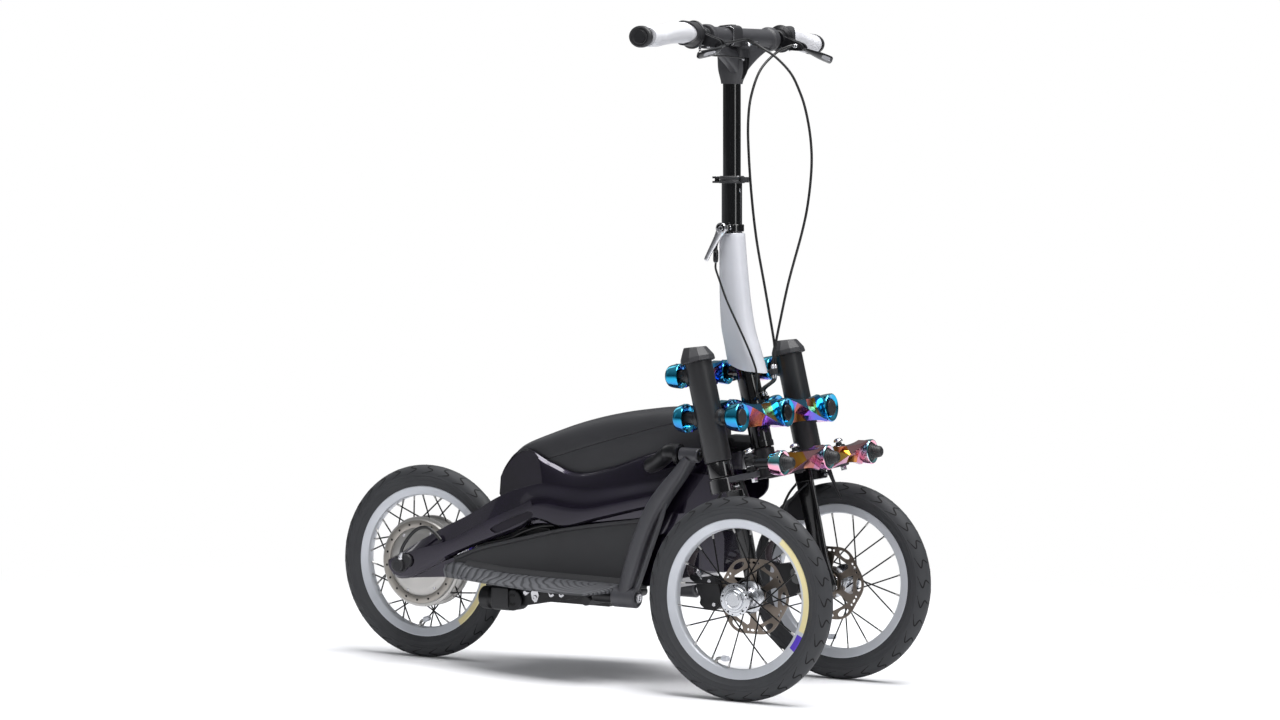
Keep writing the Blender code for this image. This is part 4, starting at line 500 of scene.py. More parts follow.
def makeValve(side, place, body, angle, out):
    radial = vec(cos(angle), 0, sin(angle))
    tangent = vec(-sin(angle), 0, cos(angle))
    stem, cap = bmesh.new(), bmesh.new()
    route = smoothLine([place + 0.1176 * radial, place + 0.112 * radial,
        place + 0.1075 * radial + 0.004 * tangent + vec(0, out * 0.003, 0),
        place + 0.103 * radial + 0.013 * tangent + vec(0, out * 0.007, 0)], 6)
    tube(stem, route, 0.0026, 12)
    way = (route[-1] - route[-3]).normalized()
    lathe(stem, rod(4.2, -1, 1.6), 12, facing(place + 0.1172 * radial, -radial), "Z")
    lathe(cap, mm(0, 0, 5, 0, 5.2, 1.5, 4.6, 12.5, 3, 14.5, 0, 14.8), 14, facing(route[-1], way), "Z")
    addPiece(side + "_valve_stem", stem, brass, body, smooth=32)
    addPiece(side + "_valve_cap", cap, valveCap, body, smooth=32)


# A small pale accent beside the rim
valveCap = plain("pale valve cap", "white_shell", "#b9bcc4", "#d5d7dd", 0.3, 0.1, grainMm=0.6, depthMm=0.01)
for side, (place, body) in wheelPlaces.items():
    makeRim(side, place, body, side + "_rim")
for side, out in bothSides:
    place, body = wheelPlaces[side + "_front"]
    makeSpokes(side + "_front", place, body, 20, 0.0235, (out * 0.018, -out * 0.032), radians(58))
    makeValve(side + "_front", place, body, radians(-112), out)
makeSpokes("rear", rearPlace, "rear_wheel", 36, 0.077, (0.0175, -0.0175), radians(17))
makeValve("rear", rearPlace, "rear_wheel", radians(-96), -1)
print("rims and spokes made")

# Hubs

hubSettings = {"capRadius": 0.0165, "capFace": 0.0262, "outerFlange": 0.018, "innerFlange": -0.032,
    "flangeRadius": 0.0275, "waist": 0.0132, "innerEnd": -0.042}


def makeFrontHub(side, out):
    place, body = wheelPlaces[side + "_front"]
    s = hubSettings
    cap, face, outer, inner = s["capRadius"], s["capFace"], s["outerFlange"], s["innerFlange"]
    flange, waist, end = s["flangeRadius"], s["waist"], s["innerEnd"]
    profile = [(0.008, end), (0.0185, end), (0.0192, end + 0.0008), (0.0192, inner - 0.003),
        (flange - 0.0012, inner - 0.0016), (flange, inner - 0.0008), (flange, inner + 0.0008),
        (flange - 0.001, inner + 0.0016), (0.019, inner + 0.004), (waist + 0.0012, inner + 0.009),
        (waist, inner + 0.013), (waist, outer - 0.01), (waist + 0.0014, outer - 0.006),
        (0.019, outer - 0.0028), (flange - 0.001, outer - 0.0016), (flange, outer - 0.0008),
        (flange, outer + 0.0008), (flange - 0.0012, outer + 0.0016), (0.0215, outer + 0.002),
        (0.0205, outer + 0.0034), (cap + 0.001, outer + 0.0036), (cap + 0.0004, outer + 0.005),
        (cap, face - 0.0012), (cap - 0.001, face - 0.0002), (cap - 0.0032, face),
        (cap - 0.004, face - 0.001), (cap - 0.0052, face - 0.001), (cap - 0.006, face - 0.0002),
        (0.003, face - 0.0002), (0, face - 0.0004)]
    bm = bmesh.new()
    lathe(bm, [(r, out * y) for r, y in profile], 64, moved(place), closed=False)
    addPiece(side + "_hub_shell", bm, hubAlloy, body, [side + "_front_hub"], 28)
    # Painted shade: dark discs on the outer flange's face stand for the spoke holes
    holes = bmesh.new()
    for k in range(10):
        angle = 2 * pi * (k + 0.25) / 10
        spot = place + vec(0.0243 * cos(angle), out * (outer + 0.0017), 0.0243 * sin(angle))
        lathe(holes, rod(1.4, -1, 0.1), 12, facing(spot, (0, out, 0)), "Z")
    addPiece(side + "_hub_spoke_hole_shade", holes, spokeBlack, body, smooth=32)


for side, out in bothSides:
    makeFrontHub(side, out)


def makeHubMotor():
    profile = mm(6.5, -31, 18, -31, 19.5, -30.2, 46, -29.2, 52, -28, 54.5, -26.6, 60, -25.2, 60.8, -24.6,
        60.8, -26.2, 73.5, -26.2, 74.8, -25, 75, -21.5, 79.5, -20, 80, -18.8, 80, -16, 79, -14.8, 75.2,
        -14.2, 74.5, -12, 74.5, 0)
    profile = profile + [(r, -y) for r, y in profile[-2::-1]]
    bm = bmesh.new()
    lathe(bm, profile, 96, moved(rearPlace))
    addPiece("hub_motor_shell", bm, motorAlloy, "rear_wheel", ["hub_motor"], 28)
    ringBm = bmesh.new()
    for sign in (1, -1):
        lathe(ringBm, [(0.0612, sign * 0.0258), (0.0612, sign * 0.027), (0.062, sign * 0.0274),
            (0.0728, sign * 0.0274), (0.0736, sign * 0.027), (0.0736, sign * 0.0258)], 96, moved(rearPlace))
    addPiece("hub_motor_bolt_ring", ringBm, warmAlloy, "rear_wheel", smooth=32)
    heads, ringHoleShade = bmesh.new(), bmesh.new()
    for sign in (1, -1):
        for k in range(18):
            angle = 2 * pi * (k + 0.4) / 18
            spot = rearPlace + vec(0.0674 * cos(angle), sign * 0.0277, 0.0674 * sin(angle))
            # Painted shade: dark discs on each ring's face stand for its holes
            lathe(ringHoleShade, rod(2.1, -1, 0.1), 12, facing(spot, (0, sign, 0)), "Z")
        for k in range(6):
            angle = 2 * pi * (k + 0.1) / 6
            spot = rearPlace + vec(0.0555 * cos(angle), sign * 0.0276, 0.0555 * sin(angle))
            screw(heads, facing(spot, (0, sign, 0)), 0.0026, 0.0018)
    addPiece("hub_motor_screws", heads, brightSteel, "rear_wheel", smooth=32)
    addPiece("hub_motor_ring_hole_shade", ringHoleShade, spokeBlack, "rear_wheel", smooth=32)


# Greyer and softer than the front hubs
motorAlloy = plain("cast motor alloy", "polished_hub", "#a8a6a3", "#c0bebb", 0.36, 0.75, grainMm=0.7,
    depthMm=0.01)
# A ring a little warmer than the motor around it
warmAlloy = plain("warm grey machined ring", "polished_hub", "#8e8983", "#a8a39c", 0.38, 0.8, grainMm=0.4,
    depthMm=0.008)
makeHubMotor()
print("hubs made")

# Brake rotors: a waved ring with slots, on curved arms

rotorSettings = {"radius": 0.067, "plane": -0.0455, "thickness": 0.0018, "petals": 6}


def flatShape(name, outlines, thickness):
    curve = bpy.data.curves.new(name, "CURVE")
    curve.dimensions = "2D"
    curve.fill_mode = "BOTH"
    curve.extrude = thickness / 2
    for outline in outlines:
        line = curve.splines.new("POLY")
        line.points.add(len(outline) - 1)
        for place, (a, b) in zip(line.points, outline):
            place.co = (a, b, 0, 1)
        line.use_cyclic_u = True
    holder = bpy.data.objects.new(name, curve)
    scene.collection.objects.link(holder)
    graph = bpy.context.evaluated_depsgraph_get()
    mesh = bpy.data.meshes.new_from_object(holder.evaluated_get(graph), depsgraph=graph)
    bpy.data.objects.remove(holder, do_unlink=True)
    bpy.data.curves.remove(curve)
    return mesh


def circleAt(x, y, radius, steps=12, long=1, turn=0):
    c, n = cos(turn), sin(turn)
    ring = [(radius * cos(2 * pi * k / steps), radius * long * sin(2 * pi * k / steps)) for k in range(steps)]
    return [(x + a * c - b * n, y + a * n + b * c) for a, b in ring]


def makeRotor(side, out):
    place, body = wheelPlaces[side + "_front"]
    s = rotorSettings
    petals, radius = s["petals"], s["radius"]
    wave = [2 * pi * k / 180 for k in range(180)]
    outer = [((radius - 0.0022 + 0.0022 * cos(petals * a)) * cos(a),
        (radius - 0.0022 + 0.0022 * cos(petals * a)) * sin(a)) for a in wave]
    outlines = [outer, circleAt(0, 0, 0.0135, 32)]
    for k in range(petals):
        base = 2 * pi * k / petals
        # The big loop near the rim of each petal
        outlines.append(circleAt(0.0572 * cos(base), 0.0572 * sin(base), 0.0052, 24, 2.2, base))
        # The window between two arms
        window = []
        for r, share in ((0.049, 0.36), (0.047, 0.06), (0.049, -0.26), (0.045, -0.38), (0.039, -0.46),
                (0.031, -0.54), (0.024, -0.52), (0.0232, -0.22), (0.024, -0.02), (0.03, 0.12), (0.04, 0.25)):
            angle = base + out * (share * 1.05 + (0.045 - r) * 13)
            window.append((r * cos(angle), r * sin(angle)))
        outlines.append(window)
        for share in (0.36, 0.5, 0.64):
            angle = base + share * 2 * pi / petals
            long = 1.8 if share == 0.5 else 1
            outlines.append(circleAt(0.0565 * cos(angle), 0.0565 * sin(angle), 0.0021, 12, long, angle))
    mesh = flatShape(side + "_rotor", outlines, s["thickness"])
    bm = bmesh.new()
    bm.from_mesh(mesh)
    bpy.data.meshes.remove(mesh)
    turn = moved(place + vec(0, out * s["plane"], 0)) @ Matrix.Rotation(radians(90), 4, "X")
    bm.transform(turn)
    lathe(bm, [(0.013, out * -0.042), (0.0195, out * -0.0422), (0.0195, out * -0.044),
        (0.0178, out * -0.0475), (0.013, out * -0.0475)], 40, moved(place))
    addPiece(side + "_wave_rotor", bm, rotorSteel, body, [side + "_front_rotor"], 25)
    bolts = bmesh.new()
    for k in range(6):
        angle = 2 * pi * (k + 0.5) / 6
        spot = place + vec(0.0162 * cos(angle), out * (s["plane"] - 0.0025), 0.0162 * sin(angle))
        screw(bolts, facing(spot, (0, -out, 0)), 0.0028, 0.0018)
    addPiece(side + "_rotor_bolts", bolts, brightSteel, body, smooth=32)


for side, out in bothSides:
    makeRotor(side, out)
print("rotors made")

# Heat-tinted link arms

upperRise, tieDrop, linkHalf = 0.071, -0.077, 0.162
upperMatrix = leanMatrix @ moved((0, 0, upperRise))
tieMatrix = leanMatrix @ moved((0, 0, tieDrop))
pinRadius, plugRadius = 0.011, 0.0145


def tintWithPaintedLight(name, slot, stops, roughness, bandMm, shift=0):
    made, tree, shader = newMaterial(name, slot, stops[0][1], roughness, 1)
    coordinates = addNode(tree, "TexCoord")
    paintedLightFacing = addNode(tree, "SeparateXYZ", {"Vector": coordinates.outputs["Normal"]})
    cloud = addNode(tree, "TexNoise", {"Vector": coordinates.outputs["Object"], "Scale": 1000 / bandMm,
        "Detail": 1})
    # Painted light: faces that look up take the ramp's paler end, faces that look down its darker end
    upward = calc(tree, "MULTIPLY_ADD", paintedLightFacing.outputs["Z"], 0.36, 0.42 + shift)
    drift = calc(tree, "MULTIPLY_ADD", cloud, 0.42, -0.21)
    total = calc(tree, "ADD", upward, drift)
    ramp = addNode(tree, "ValToRGB", {"Fac": total})
    band = ramp.color_ramp
    band.interpolation = "EASE"
    while len(band.elements) < len(stops):
        band.elements.new(0.5)
    for element, (place, colour) in zip(band.elements, stops):
        element.position = place
        element.color = linear(colour)
    link(tree, ramp, shader.inputs["Base Color"])
    addGrain(tree, shader, 0.5, 0.003, 0.03)
    return made


# Violet, blue and pale blue by which way a face looks, as on heated titanium; the pale blue on faces that
# look up is painted light
heatTintPaintedLight = tintWithPaintedLight("heat-tinted titanium with painted light", "heat_tint", ((0.02, "#b0489a"), (0.24, "#8a4cc0"),
    (0.42, "#4f63c8"), (0.58, "#2f9fd0"), (0.8, "#49bfdc"), (0.97, "#a9e2ee")), 0.14, 55)
# The same on the cups, bluer and shinier, near white on faces that look up as painted light
cupTintPaintedLight = tintWithPaintedLight("blue heat-tinted titanium with painted light", "heat_tint", ((0.05, "#8e58b8"), (0.2, "#3d7fc4"),
    (0.45, "#2ba6cf"), (0.75, "#58c3de"), (0.97, "#c7eef5")), 0.1, 70, 0.05)
# Gold and red in the hollows of the arms, brighter gold on faces that look up as painted light
goldTintPaintedLight = tintWithPaintedLight("gold heat-tinted titanium with painted light", "heat_tint", ((0.05, "#6d2f7c"), (0.3, "#a4443a"),
    (0.52, "#d08a28"), (0.75, "#e0b542"), (0.95, "#a85a9c")), 0.16, 26)
# Pale rose on the steering bar; faces that look up are painted paler and faces that look down darker, as
# painted light and shade
roseTintPaintedLight = tintWithPaintedLight("rose heat-tinted titanium with painted light", "rose_tint", ((0.04, "#6a3a6c"), (0.22, "#9c5a86"),
    (0.42, "#c78596"), (0.66, "#d9a3a4"), (0.95, "#e6c3c0")), 0.18, 60)
# Rose with a band of pale turquoise on its cups, paler on faces that look up as painted light
roseCupPaintedLight = tintWithPaintedLight("pale heat-tinted titanium with painted light", "rose_tint", ((0.05, "#b46fa8"), (0.28, "#e2a2b4"),
    (0.5, "#74cfd6"), (0.76, "#b9dfe0"), (0.96, "#efd2c8")), 0.1, 34)


def cupProfile(radius, back, face):
    length, bore = face - back, pinRadius + 0.0008
    return [(bore, back), (0.62 * radius, back + 0.0002), (0.74 * radius, back + 0.0012),
        (0.84 * radius, back + 0.0034), (0.9 * radius, back + 0.007), (0.96 * radius, back + 0.55 * length),
        (radius, face - 0.0042), (radius, face - 0.0014), (radius - 0.0007, face - 0.0004),
        (radius - 0.0016, face), (radius - 0.0032, face - 0.0006), (0.7 * radius, face - 0.003),
        (0.66 * radius, face - 0.0042), (0.66 * radius, face - 0.4 * length), (bore, face - 0.42 * length)]


def smoothStep(t):
    return t * t * (3 - 2 * t)


def creasedWeb(bm, y0, y1, back, face, radius, slim, pocket, up):
    steps = 36
    sections, shares = [], []
    depth = face - back
    for step in range(steps + 1):
        t = step / steps
        end = abs(2 * t - 1)
        tall = radius * (slim + (0.95 - slim) * end ** 2.6)
        crease = (2 * smoothStep(t if up else 1 - t) - 1) * 0.86
        lean = 0.62 * depth
        hollow = pocket * sin(pi * min(1, max(0, (t - 0.12) / 0.76))) ** 0.8
        high, low = 1 - crease, 1 + crease
        topX, bottomX = face - 0.5 * lean * high, face - 0.5 * lean * low
        creaseZ = crease * tall
        valleyZ = (creaseZ + tall) / 2 if high > low else (creaseZ - tall) / 2
        valleyX = (face + (topX if high > low else bottomX)) / 2 - hollow
        upper = [(topX, tall)]
        lower = [(bottomX, -tall)]
        upperValley = (valleyX, valleyZ) if high > low else ((face + topX) / 2, (creaseZ + tall) / 2)
        lowerValley = (valleyX, valleyZ) if high <= low else ((face + bottomX) / 2, (creaseZ - tall) / 2)
        y = y0 + (y1 - y0) * t
        soft = 0.1 * tall
        points = lower + [lowerValley, (face, creaseZ), upperValley] + upper
        points += [(back + 0.16 * depth, tall + 0.04 * tall), (back, tall - soft), (back + 0.1 * depth, 0),
            (back, -tall + soft), (back + 0.16 * depth, -tall - 0.04 * tall)]
        sections.append([vec(x, y, z) for x, z in points])
        shares.append(t)
    rings = [[bm.verts.new(point) for point in section] for section in sections]
    count = len(rings[0])
    for index, (lowerRing, upperRing) in enumerate(zip(rings, rings[1:])):
        t = (shares[index] + shares[index + 1]) / 2
        for k in range(count):
            made = bm.faces.new([lowerRing[k], lowerRing[(k + 1) % count], upperRing[(k + 1) % count],
                upperRing[k]])
            if pocket and k in (0, 1, 2, 3) and 0.16 < t < 0.84:
                inUpper = k in (2, 3)
                crease = (2 * smoothStep(t if up else 1 - t) - 1)
                made.material_index = 1 if inUpper == (crease < 0) else 0
    bm.faces.new(rings[0])
    bm.faces.new(rings[-1])


def makeLinkArm(name, matrix, face, length, radius, body, plan):
    web, cups = bmesh.new(), bmesh.new()
    back = face - length
    for y0, y1, pocket, up in plan:
        creasedWeb(web, y0, y1, back + 0.002, face - 0.0015, radius, 0.74, pocket, up)
    for y in (-linkHalf, 0, linkHalf):
        lathe(cups, cupProfile(radius, back, face), 72, moved((0, y, 0)), "X")
    web.transform(matrix)
    cups.transform(matrix)
    made = addPiece(name + "_webs", web, heatTintPaintedLight, body, [name], 24)
    made.data.materials.append(goldTintPaintedLight)
    addPiece(name + "_cups", cups, cupTintPaintedLight, body)


reach = linkHalf - 0.0165
frontPlan = ((-reach, -0.015, 0.0015, False), (0.015, reach, 0.0075, False))
backPlan = ((-reach, -0.015, 0.006, True), (0.015, reach, 0.006, False))
makeLinkArm("lower_arm_front", leanMatrix, 0.063, 0.027, 0.0245, "lower_arm", frontPlan)
makeLinkArm("lower_arm_rear", leanMatrix, -0.0405, 0.0215, 0.0245, "lower_arm", backPlan)
makeLinkArm("upper_arm", upperMatrix, -0.0484, 0.0255, 0.021, "upper_arm", backPlan)


def makeTieRod():
    face, length, radius = 0.1379, 0.026, 0.0213
    web, cups, noses = bmesh.new(), bmesh.new(), bmesh.new()
    back = face - length
    for y0, y1, pocket in ((-linkHalf + 0.014, -0.012, 0.0012), (0.012, linkHalf - 0.014, 0.007)):
        creasedWeb(web, y0, y1, back + 0.002, face - 0.0015, radius, 0.66, pocket, True)
    for y in (-linkHalf, 0, linkHalf):
        place = moved((0, y, 0))
        lathe(cups, cupProfile(radius, back, face), 72, place, "X")
        lathe(noses, [(0, back + 0.001), (0.01, back + 0.001), (0.01, face - 0.008), (0.0152, face - 0.008),
            (0.0152, face - 0.0012), (0.0145, face + 0.0006), (0.0128, face + 0.0012),
            (0.0104, face + 0.0085), (0.0098, face + 0.01), (0.0098, face + 0.0125), (0.0088, face + 0.015),
            (0.0066, face + 0.0168), (0, face + 0.0172)], 40, place, "X")
    for bm in (web, cups, noses):
        bm.transform(tieMatrix)
    made = addPiece("tie_rod_webs", web, roseTintPaintedLight, "tie_rod", ["tie_rod"], 24)
    made.data.materials.append(goldTintPaintedLight)
    addPiece("tie_rod_cups", cups, roseCupPaintedLight, "tie_rod")
    addPiece("tie_rod_noses", noses, mouldedBlack, "tie_rod")


makeTieRod()
print("link arms made")

# Side tubes with their pins and caps

tubeSettings = {"radius": 0.023, "bottom": 0.2304, "top": 0.3995}


def addPins(wall):
    for matrix, face, way, start in ((leanMatrix, 0.063, 1, 0), (leanMatrix, -0.062, -1, 0),
            (upperMatrix, -0.0739, -1, -0.01316)):
        profile = [(0, start + way * (wall - 0.008)), (0.015, start + way * (wall - 0.008)),
            (0.015, start + way * (wall + 0.001)), (0.0132, start + way * (wall + 0.0026)),
            (pinRadius, start + way * (wall + 0.0042)), (pinRadius, face - way * 0.02),
            (0.01, face - way * 0.0195), (0.01, face - way * 0.004), (plugRadius, face - way * 0.0038),
            (plugRadius, face - way * 0.0006), (plugRadius - 0.0008, face + way * 0.0003),
            (plugRadius - 0.003, face + way * 0.0004), (plugRadius - 0.0036, face), (0, face + way * 0.0003)]
        yield matrix, profile


def makeSideTube(side, out):
    s = tubeSettings
    radius, bottom, top = s["radius"], s["bottom"], s["top"]
    bm = bmesh.new()
    profile = [(0.0196, bottom), (radius - 0.0014, bottom), (radius - 0.0004, bottom + 0.0004),
        (radius, bottom + 0.0014), (radius, top), (0.0196, top)]
    lathe(bm, profile, 72, legMatrix[side], "Z")
    for matrix, pin in addPins(radius):
        lathe(bm, pin, 40, matrix @ moved((0, out * linkHalf, 0)), "X")
    addPiece(side + "_side_tube_shell", bm, satinBlack, side + "_tube", [side + "_side_tube"])


def makeTubeCap(side):
    low, height = tubeSettings["top"] + 0.0003, 0.026
    bm = bmesh.new()
    sides = 10
    rings = []
    for radius, rise, tilt in ((0.029, 0, 0), (0.03, 0.0012, 0), (0.029, 0.0085, 0),
            (0.0215, height - 0.0035, 0.1), (0.019, height, 0.12)):
        ring = []
        for k in range(sides):
            angle = 2 * pi * (k + 0.5) / sides
            x, y = radius * cos(angle), radius * sin(angle)
            ring.append(bm.verts.new(legMatrix[side] @ vec(x, y, low + rise - tilt * x)))
        rings.append(ring)
    bridgeRings(bm, rings)
    bm.faces.new(rings[0])
    bm.faces.new(rings[-1])
    roundEdges(addPiece(side + "_tube_cap_facets", bm, charcoal, side + "_tube", [side + "_tube_cap"], 12),
        0.001, 2, 12)


for side, out in bothSides:
    makeSideTube(side, out)
    makeTubeCap(side)


def makeHeadTube():
    bm = bmesh.new()
    profile = mm(15.2, 245, 18.4, 245, 19, 245.8, 19, 389.2, 18.4, 390, 15.2, 390)
    lathe(bm, profile, 64, headMatrix, "Z")
    for low in (0.245, 0.379):
        lathe(bm, [(0.0188, low), (0.0202, low + 0.0008), (0.0202, low + 0.01), (0.0188, low + 0.0108)], 64,
            headMatrix, "Z")
    for matrix, pin in addPins(0.019):
        lathe(bm, pin, 40, matrix, "X")
    addPiece("head_tube_shell", bm, glossBlack, "frame")


makeHeadTube()
print("tubes made")

# Hull: a pod with a bright ridge and a flat rear facet, flowing into two trailing arms

ridgeLine = mm(-200, 331, -187, 352, -165, 374, -134, 387, -83, 367, -28, 350, 35, 362, 105, 387, 141, 397,
    178, 400, 240, 399)
halfLine = mm(-199, 32, -185, 55, -165, 68, -134, 74.5, -83, 76, 105, 76, 141, 73, 178, 67, 235, 58)
lowLine = mm(-199, 300, -187, 286, -165, 262, -134, 252, -83, 252, 190, 252, 200, 276, 235, 290)
armTop = mm(-390, 180.8, -296.1, 234.5, -228.8, 268.5, -177.4, 299, -129.5, 318.5, -77.3, 330, 0, 328, 60,
    334, 118, 344, 150, 350)
armBand = mm(-390, 177.6, -334.8, 198.5, -260.8, 221.6, -202.1, 252.3, -121.6, 289.4, -83.7, 304, 0, 296, 60,
    308, 118, 323, 150, 330)
armUnder = mm(-364.8, 145.5, -350, 147.5, -336, 153, -255.8, 194.5, -179.8, 226.5, -120.8, 250, -97.2, 265,
    -72.8, 263, -47.8, 256, -20, 258, 24.7, 271, 80, 286, 118, 296, 150, 302)
hullSettings = {"ridgeHalf": 0.0535, "facetFront": -0.0775, "facetSlope": 0.4, "facetTilt": 0.1,
    "armOuter": 0.088, "armInner": 0.059, "plateOuter": 0.0775}


def lineAt(line, x):
    index = next((k for k in range(len(line) - 1) if x <= line[k + 1][0]), len(line) - 2)
    (x0, y0), (x1, y1) = line[index], line[index + 1]
    before, after = line[max(index - 1, 0)], line[min(index + 2, len(line) - 1)]
    t = min(1, max(0, (x - x0) / (x1 - x0)))
    m0 = (y1 - before[1]) / (x1 - before[0]) * (x1 - x0)
    m1 = (after[1] - y0) / (after[0] - x0) * (x1 - x0)
    return ((2 * t ** 3 - 3 * t * t + 1) * y0 + (t ** 3 - 2 * t * t + t) * m0 + (3 * t * t - 2 * t ** 3) * y1
        + (t ** 3 - t * t) * m1)


def spaced(low, high, count):
    return [low + (high - low) * k / (count - 1) for k in range(count)]


def resample(points, count):
    lengths = [0]
    for before, after in zip(points, points[1:]):
        lengths.append(lengths[-1] + dist(before, after))
    made = []
    for target in spaced(0, lengths[-1], count):
        k = next((i for i in range(len(lengths) - 1) if target <= lengths[i + 1] + 1e-12), len(lengths) - 2)
        t = (target - lengths[k]) / max(1e-12, lengths[k + 1] - lengths[k])
        made.append(tuple(a + (b - a) * t for a, b in zip(points[k], points[k + 1])))
    return made


def flatCurve(keys, perSpan):
    return [(point.x, point.y) for point in smoothLine([(a, b, 0) for a, b in keys], perSpan)]


def podSection(x):
    s = hullSettings
    ridge, half, low = lineAt(ridgeLine, x), lineAt(halfLine, x), lineAt(lowLine, x)
    tall = ridge - low
    inner = min(s["ridgeHalf"], 0.72 * half)
    shoulder = [(inner - 0.0022, ridge - 0.0006), (inner, ridge), (inner + 0.0034, ridge - 0.001),
        (inner + 0.007, ridge - 0.0038), (inner + 0.0112, ridge - 0.0086),
        (max(0.93 * half, inner + 0.015), ridge - 0.26 * tall),
        (max(half, inner + 0.015), ridge - 0.52 * tall), (0.985 * half, low + 0.2 * tall),
        (0.93 * half, low + 0.05 * tall), (0.8 * half, low)]
    line = [(inner - 0.0045, ridge - 0.0062), (inner - 0.0036, ridge - 0.0024)] + flatCurve(shoulder, 5)
    if x < s["facetFront"]:
        line = [(min(y, 0.0755 - s["facetSlope"] * (s["facetFront"] - x) - s["facetTilt"] * (z - 0.33)), z)
            for y, z in line]
    return [vec(x, -y, z) for y, z in line] + [vec(x, y, z) for y, z in reversed(line)]


def armSection(x, out):
    s = hullSettings
    top, band = lineAt(armTop, x), lineAt(armBand, x)
    fromAxle = x - rearPlace.x
    under = axleHeight - sqrt(max(0, 0.0252 ** 2 - fromAxle ** 2)) if fromAxle < 0 else lineAt(armUnder, x)
    band = min(band, top - 0.0024)
    under = min(under, band - 0.004)
    soft = min(1, max(0, (x + 0.125) / 0.055))
    topY = 0.0735 + 0.001 * soft
    points = [(s["armInner"], under + 0.002), (s["armInner"], top - 0.004), (topY - 0.004, top)]
    for k in range(9):
        t = k / 8
        bulge = t * (1 - soft) + soft * smoothStep(t)
        points.append((topY + (s["armOuter"] - topY) * bulge, top + (band - top) * t))
    drop = min(0.005, 0.22 * (band - under))
    points += [(s["armOuter"] + 0.0003, band - 0.35 * (band - under)), (s["armOuter"], under + drop),
        (s["armOuter"] - 0.005, under), (s["armInner"] + 0.002, under)]
    slim = max(0, x - 0.102) * 0.2
    return [vec(x, out * (y - slim * (y - 0.059) / 0.029), z) for y, z in points]


def carve(made, cutter, finish):
    # Cuts a shape out for good; the cut faces take the given finish
    tool = addPlain("cutter", cutter, finish)
    made.data.materials.append(finish)
    step = made.modifiers.new("cut", "BOOLEAN")
    step.object = tool
    step.solver = "EXACT"
    step.material_mode = "TRANSFER"
    graph = bpy.context.evaluated_depsgraph_get()
    mesh = bpy.data.meshes.new_from_object(made.evaluated_get(graph), depsgraph=graph)
    made.modifiers.remove(step)
    made.data = mesh
    bpy.data.objects.remove(tool, do_unlink=True)


def addPlain(name, bm, finish):
    bmesh.ops.recalc_face_normals(bm, faces=bm.faces)
    mesh = bpy.data.meshes.new(name)
    bm.to_mesh(mesh)
    bm.free()
    mesh.materials.append(finish)
    made = bpy.data.objects.new(name, mesh)
    scene.collection.objects.link(made)
    return made


# Painted shade: duller than the hull and a shaded copy of its paint, so the windows in the arms look sunk
recessShadePaint = plain("violet paint with painted recess shade", "violet_black_shell", "#15101b", "#1e1827", 0.42, 0.3,
    grainMm=0.3, depthMm=0)


def makeHull():
    s = hullSettings
    bm = bmesh.new()
    loftSections(bm, [podSection(x) for x in spaced(-0.199, 0.235, 100)])
    # The deep middle behind the footboards, and the nose under the head tube
    middle = mm(51.8, 260, 51.8, 165, 176, 165, 190, 183, 190, 260)
    prism(bm, middle, -0.066, 0.066)
    prism(bm, mm(185, 195, 254, 195, 254, 252, 240, 295, 185, 295), -0.038, 0.038)
    body = addPiece("hull_pod", bm, hullPaint, "frame", ["hull"], 24)
    roundEdges(body, 0.001, 2, 40)
    rear = [rearPlace.x - 0.0252 * cos(pi / 2 * k / 12) for k in range(12)]
    for side, out in bothSides:
        bm = bmesh.new()
        loftSections(bm, [armSection(x, out) for x in rear + spaced(rearPlace.x, 0.15, 126)])
        arm = addPiece(side + "_trailing_arm", bm, hullPaint, "frame", smooth=20)
        pocket = bmesh.new()
        outline = flatCurve(mm(-181.5, 243.5, -180, 247, -172, 251.2, -143.6, 265.7, -108, 280), 4)
        outline += flatCurve(mm(-99, 280, -95.5, 276, -98.5, 269), 3)
        outline += flatCurve(mm(-104, 267.2, -163.2, 240.5, -177, 240.5), 4)
        prism(pocket, outline, out * (s["armOuter"] - 0.003), out * (s["armOuter"] + 0.01))
        # The window's cut faces take the painted recess shade
        carve(arm, pocket, recessShadePaint)
        arm.data.shade_smooth()
        arm.data.set_sharp_from_angle(angle=radians(20))
        roundEdges(arm, 0.0012, 3, 26)
        # The lower plate behind the footboard's rear tip
        bm = bmesh.new()
        plate = mm(-356, 146.6, -334.6, 149, -270, 154.5, -230, 158, -230, 170, -262, 190, -336, 160)
        prism(bm, plate, out * 0.06, out * s["plateOuter"])
        roundEdges(addPiece(side + "_arm_plate", bm, hullPaint, "frame", smooth=20), 0.001, 2, 30)
        # The lug that carries the strut's upper eye
        bm = bmesh.new()
        tube(bm, smoothLine([(0.118, out * 0.06, 0.369), (0.145, out * 0.076, 0.38),
            (0.168, out * 0.091, 0.393), (0.182, out * 0.102, 0.3995), (0.2032, out * 0.105, 0.4004)], 6),
            [0.012] + [0.0142] * 24, 28)
        lug = moved((0, out * 0.105, 0.3965))
        lathe(bm, mm(0, 196, 17, 196, 17, 201, 15.5, 203.2, 0, 203.2), 36, lug, "X")
        addPiece(side + "_strut_lug", bm, castBlack, "frame")
        bolt = bmesh.new()
        lathe(bolt, rod(9.5, 240.2, 241.2), 28, lug, "X")
        screw(bolt, facing((0.244, out * 0.105, 0.3965), (1, 0, 0)), 0.0078, 0.0034, 0.5)
        addPiece(side + "_strut_upper_bolt", bolt, spokeBlack, "frame", smooth=32)


makeHull()
print("hull made")

# Top cover: matt panels with one seam along each side

seamLine = mm(-160, 349, -98.3, 367.1, -9.8, 396.1, 68, 419.5, 145.1, 441.1, 220, 456)
coverTop = mm(-159, 383, -145, 392.5, -108, 410, -37, 436.5, 35, 454.5, 105, 466, 133, 469.3, 190, 473.2,
    222, 471.5)


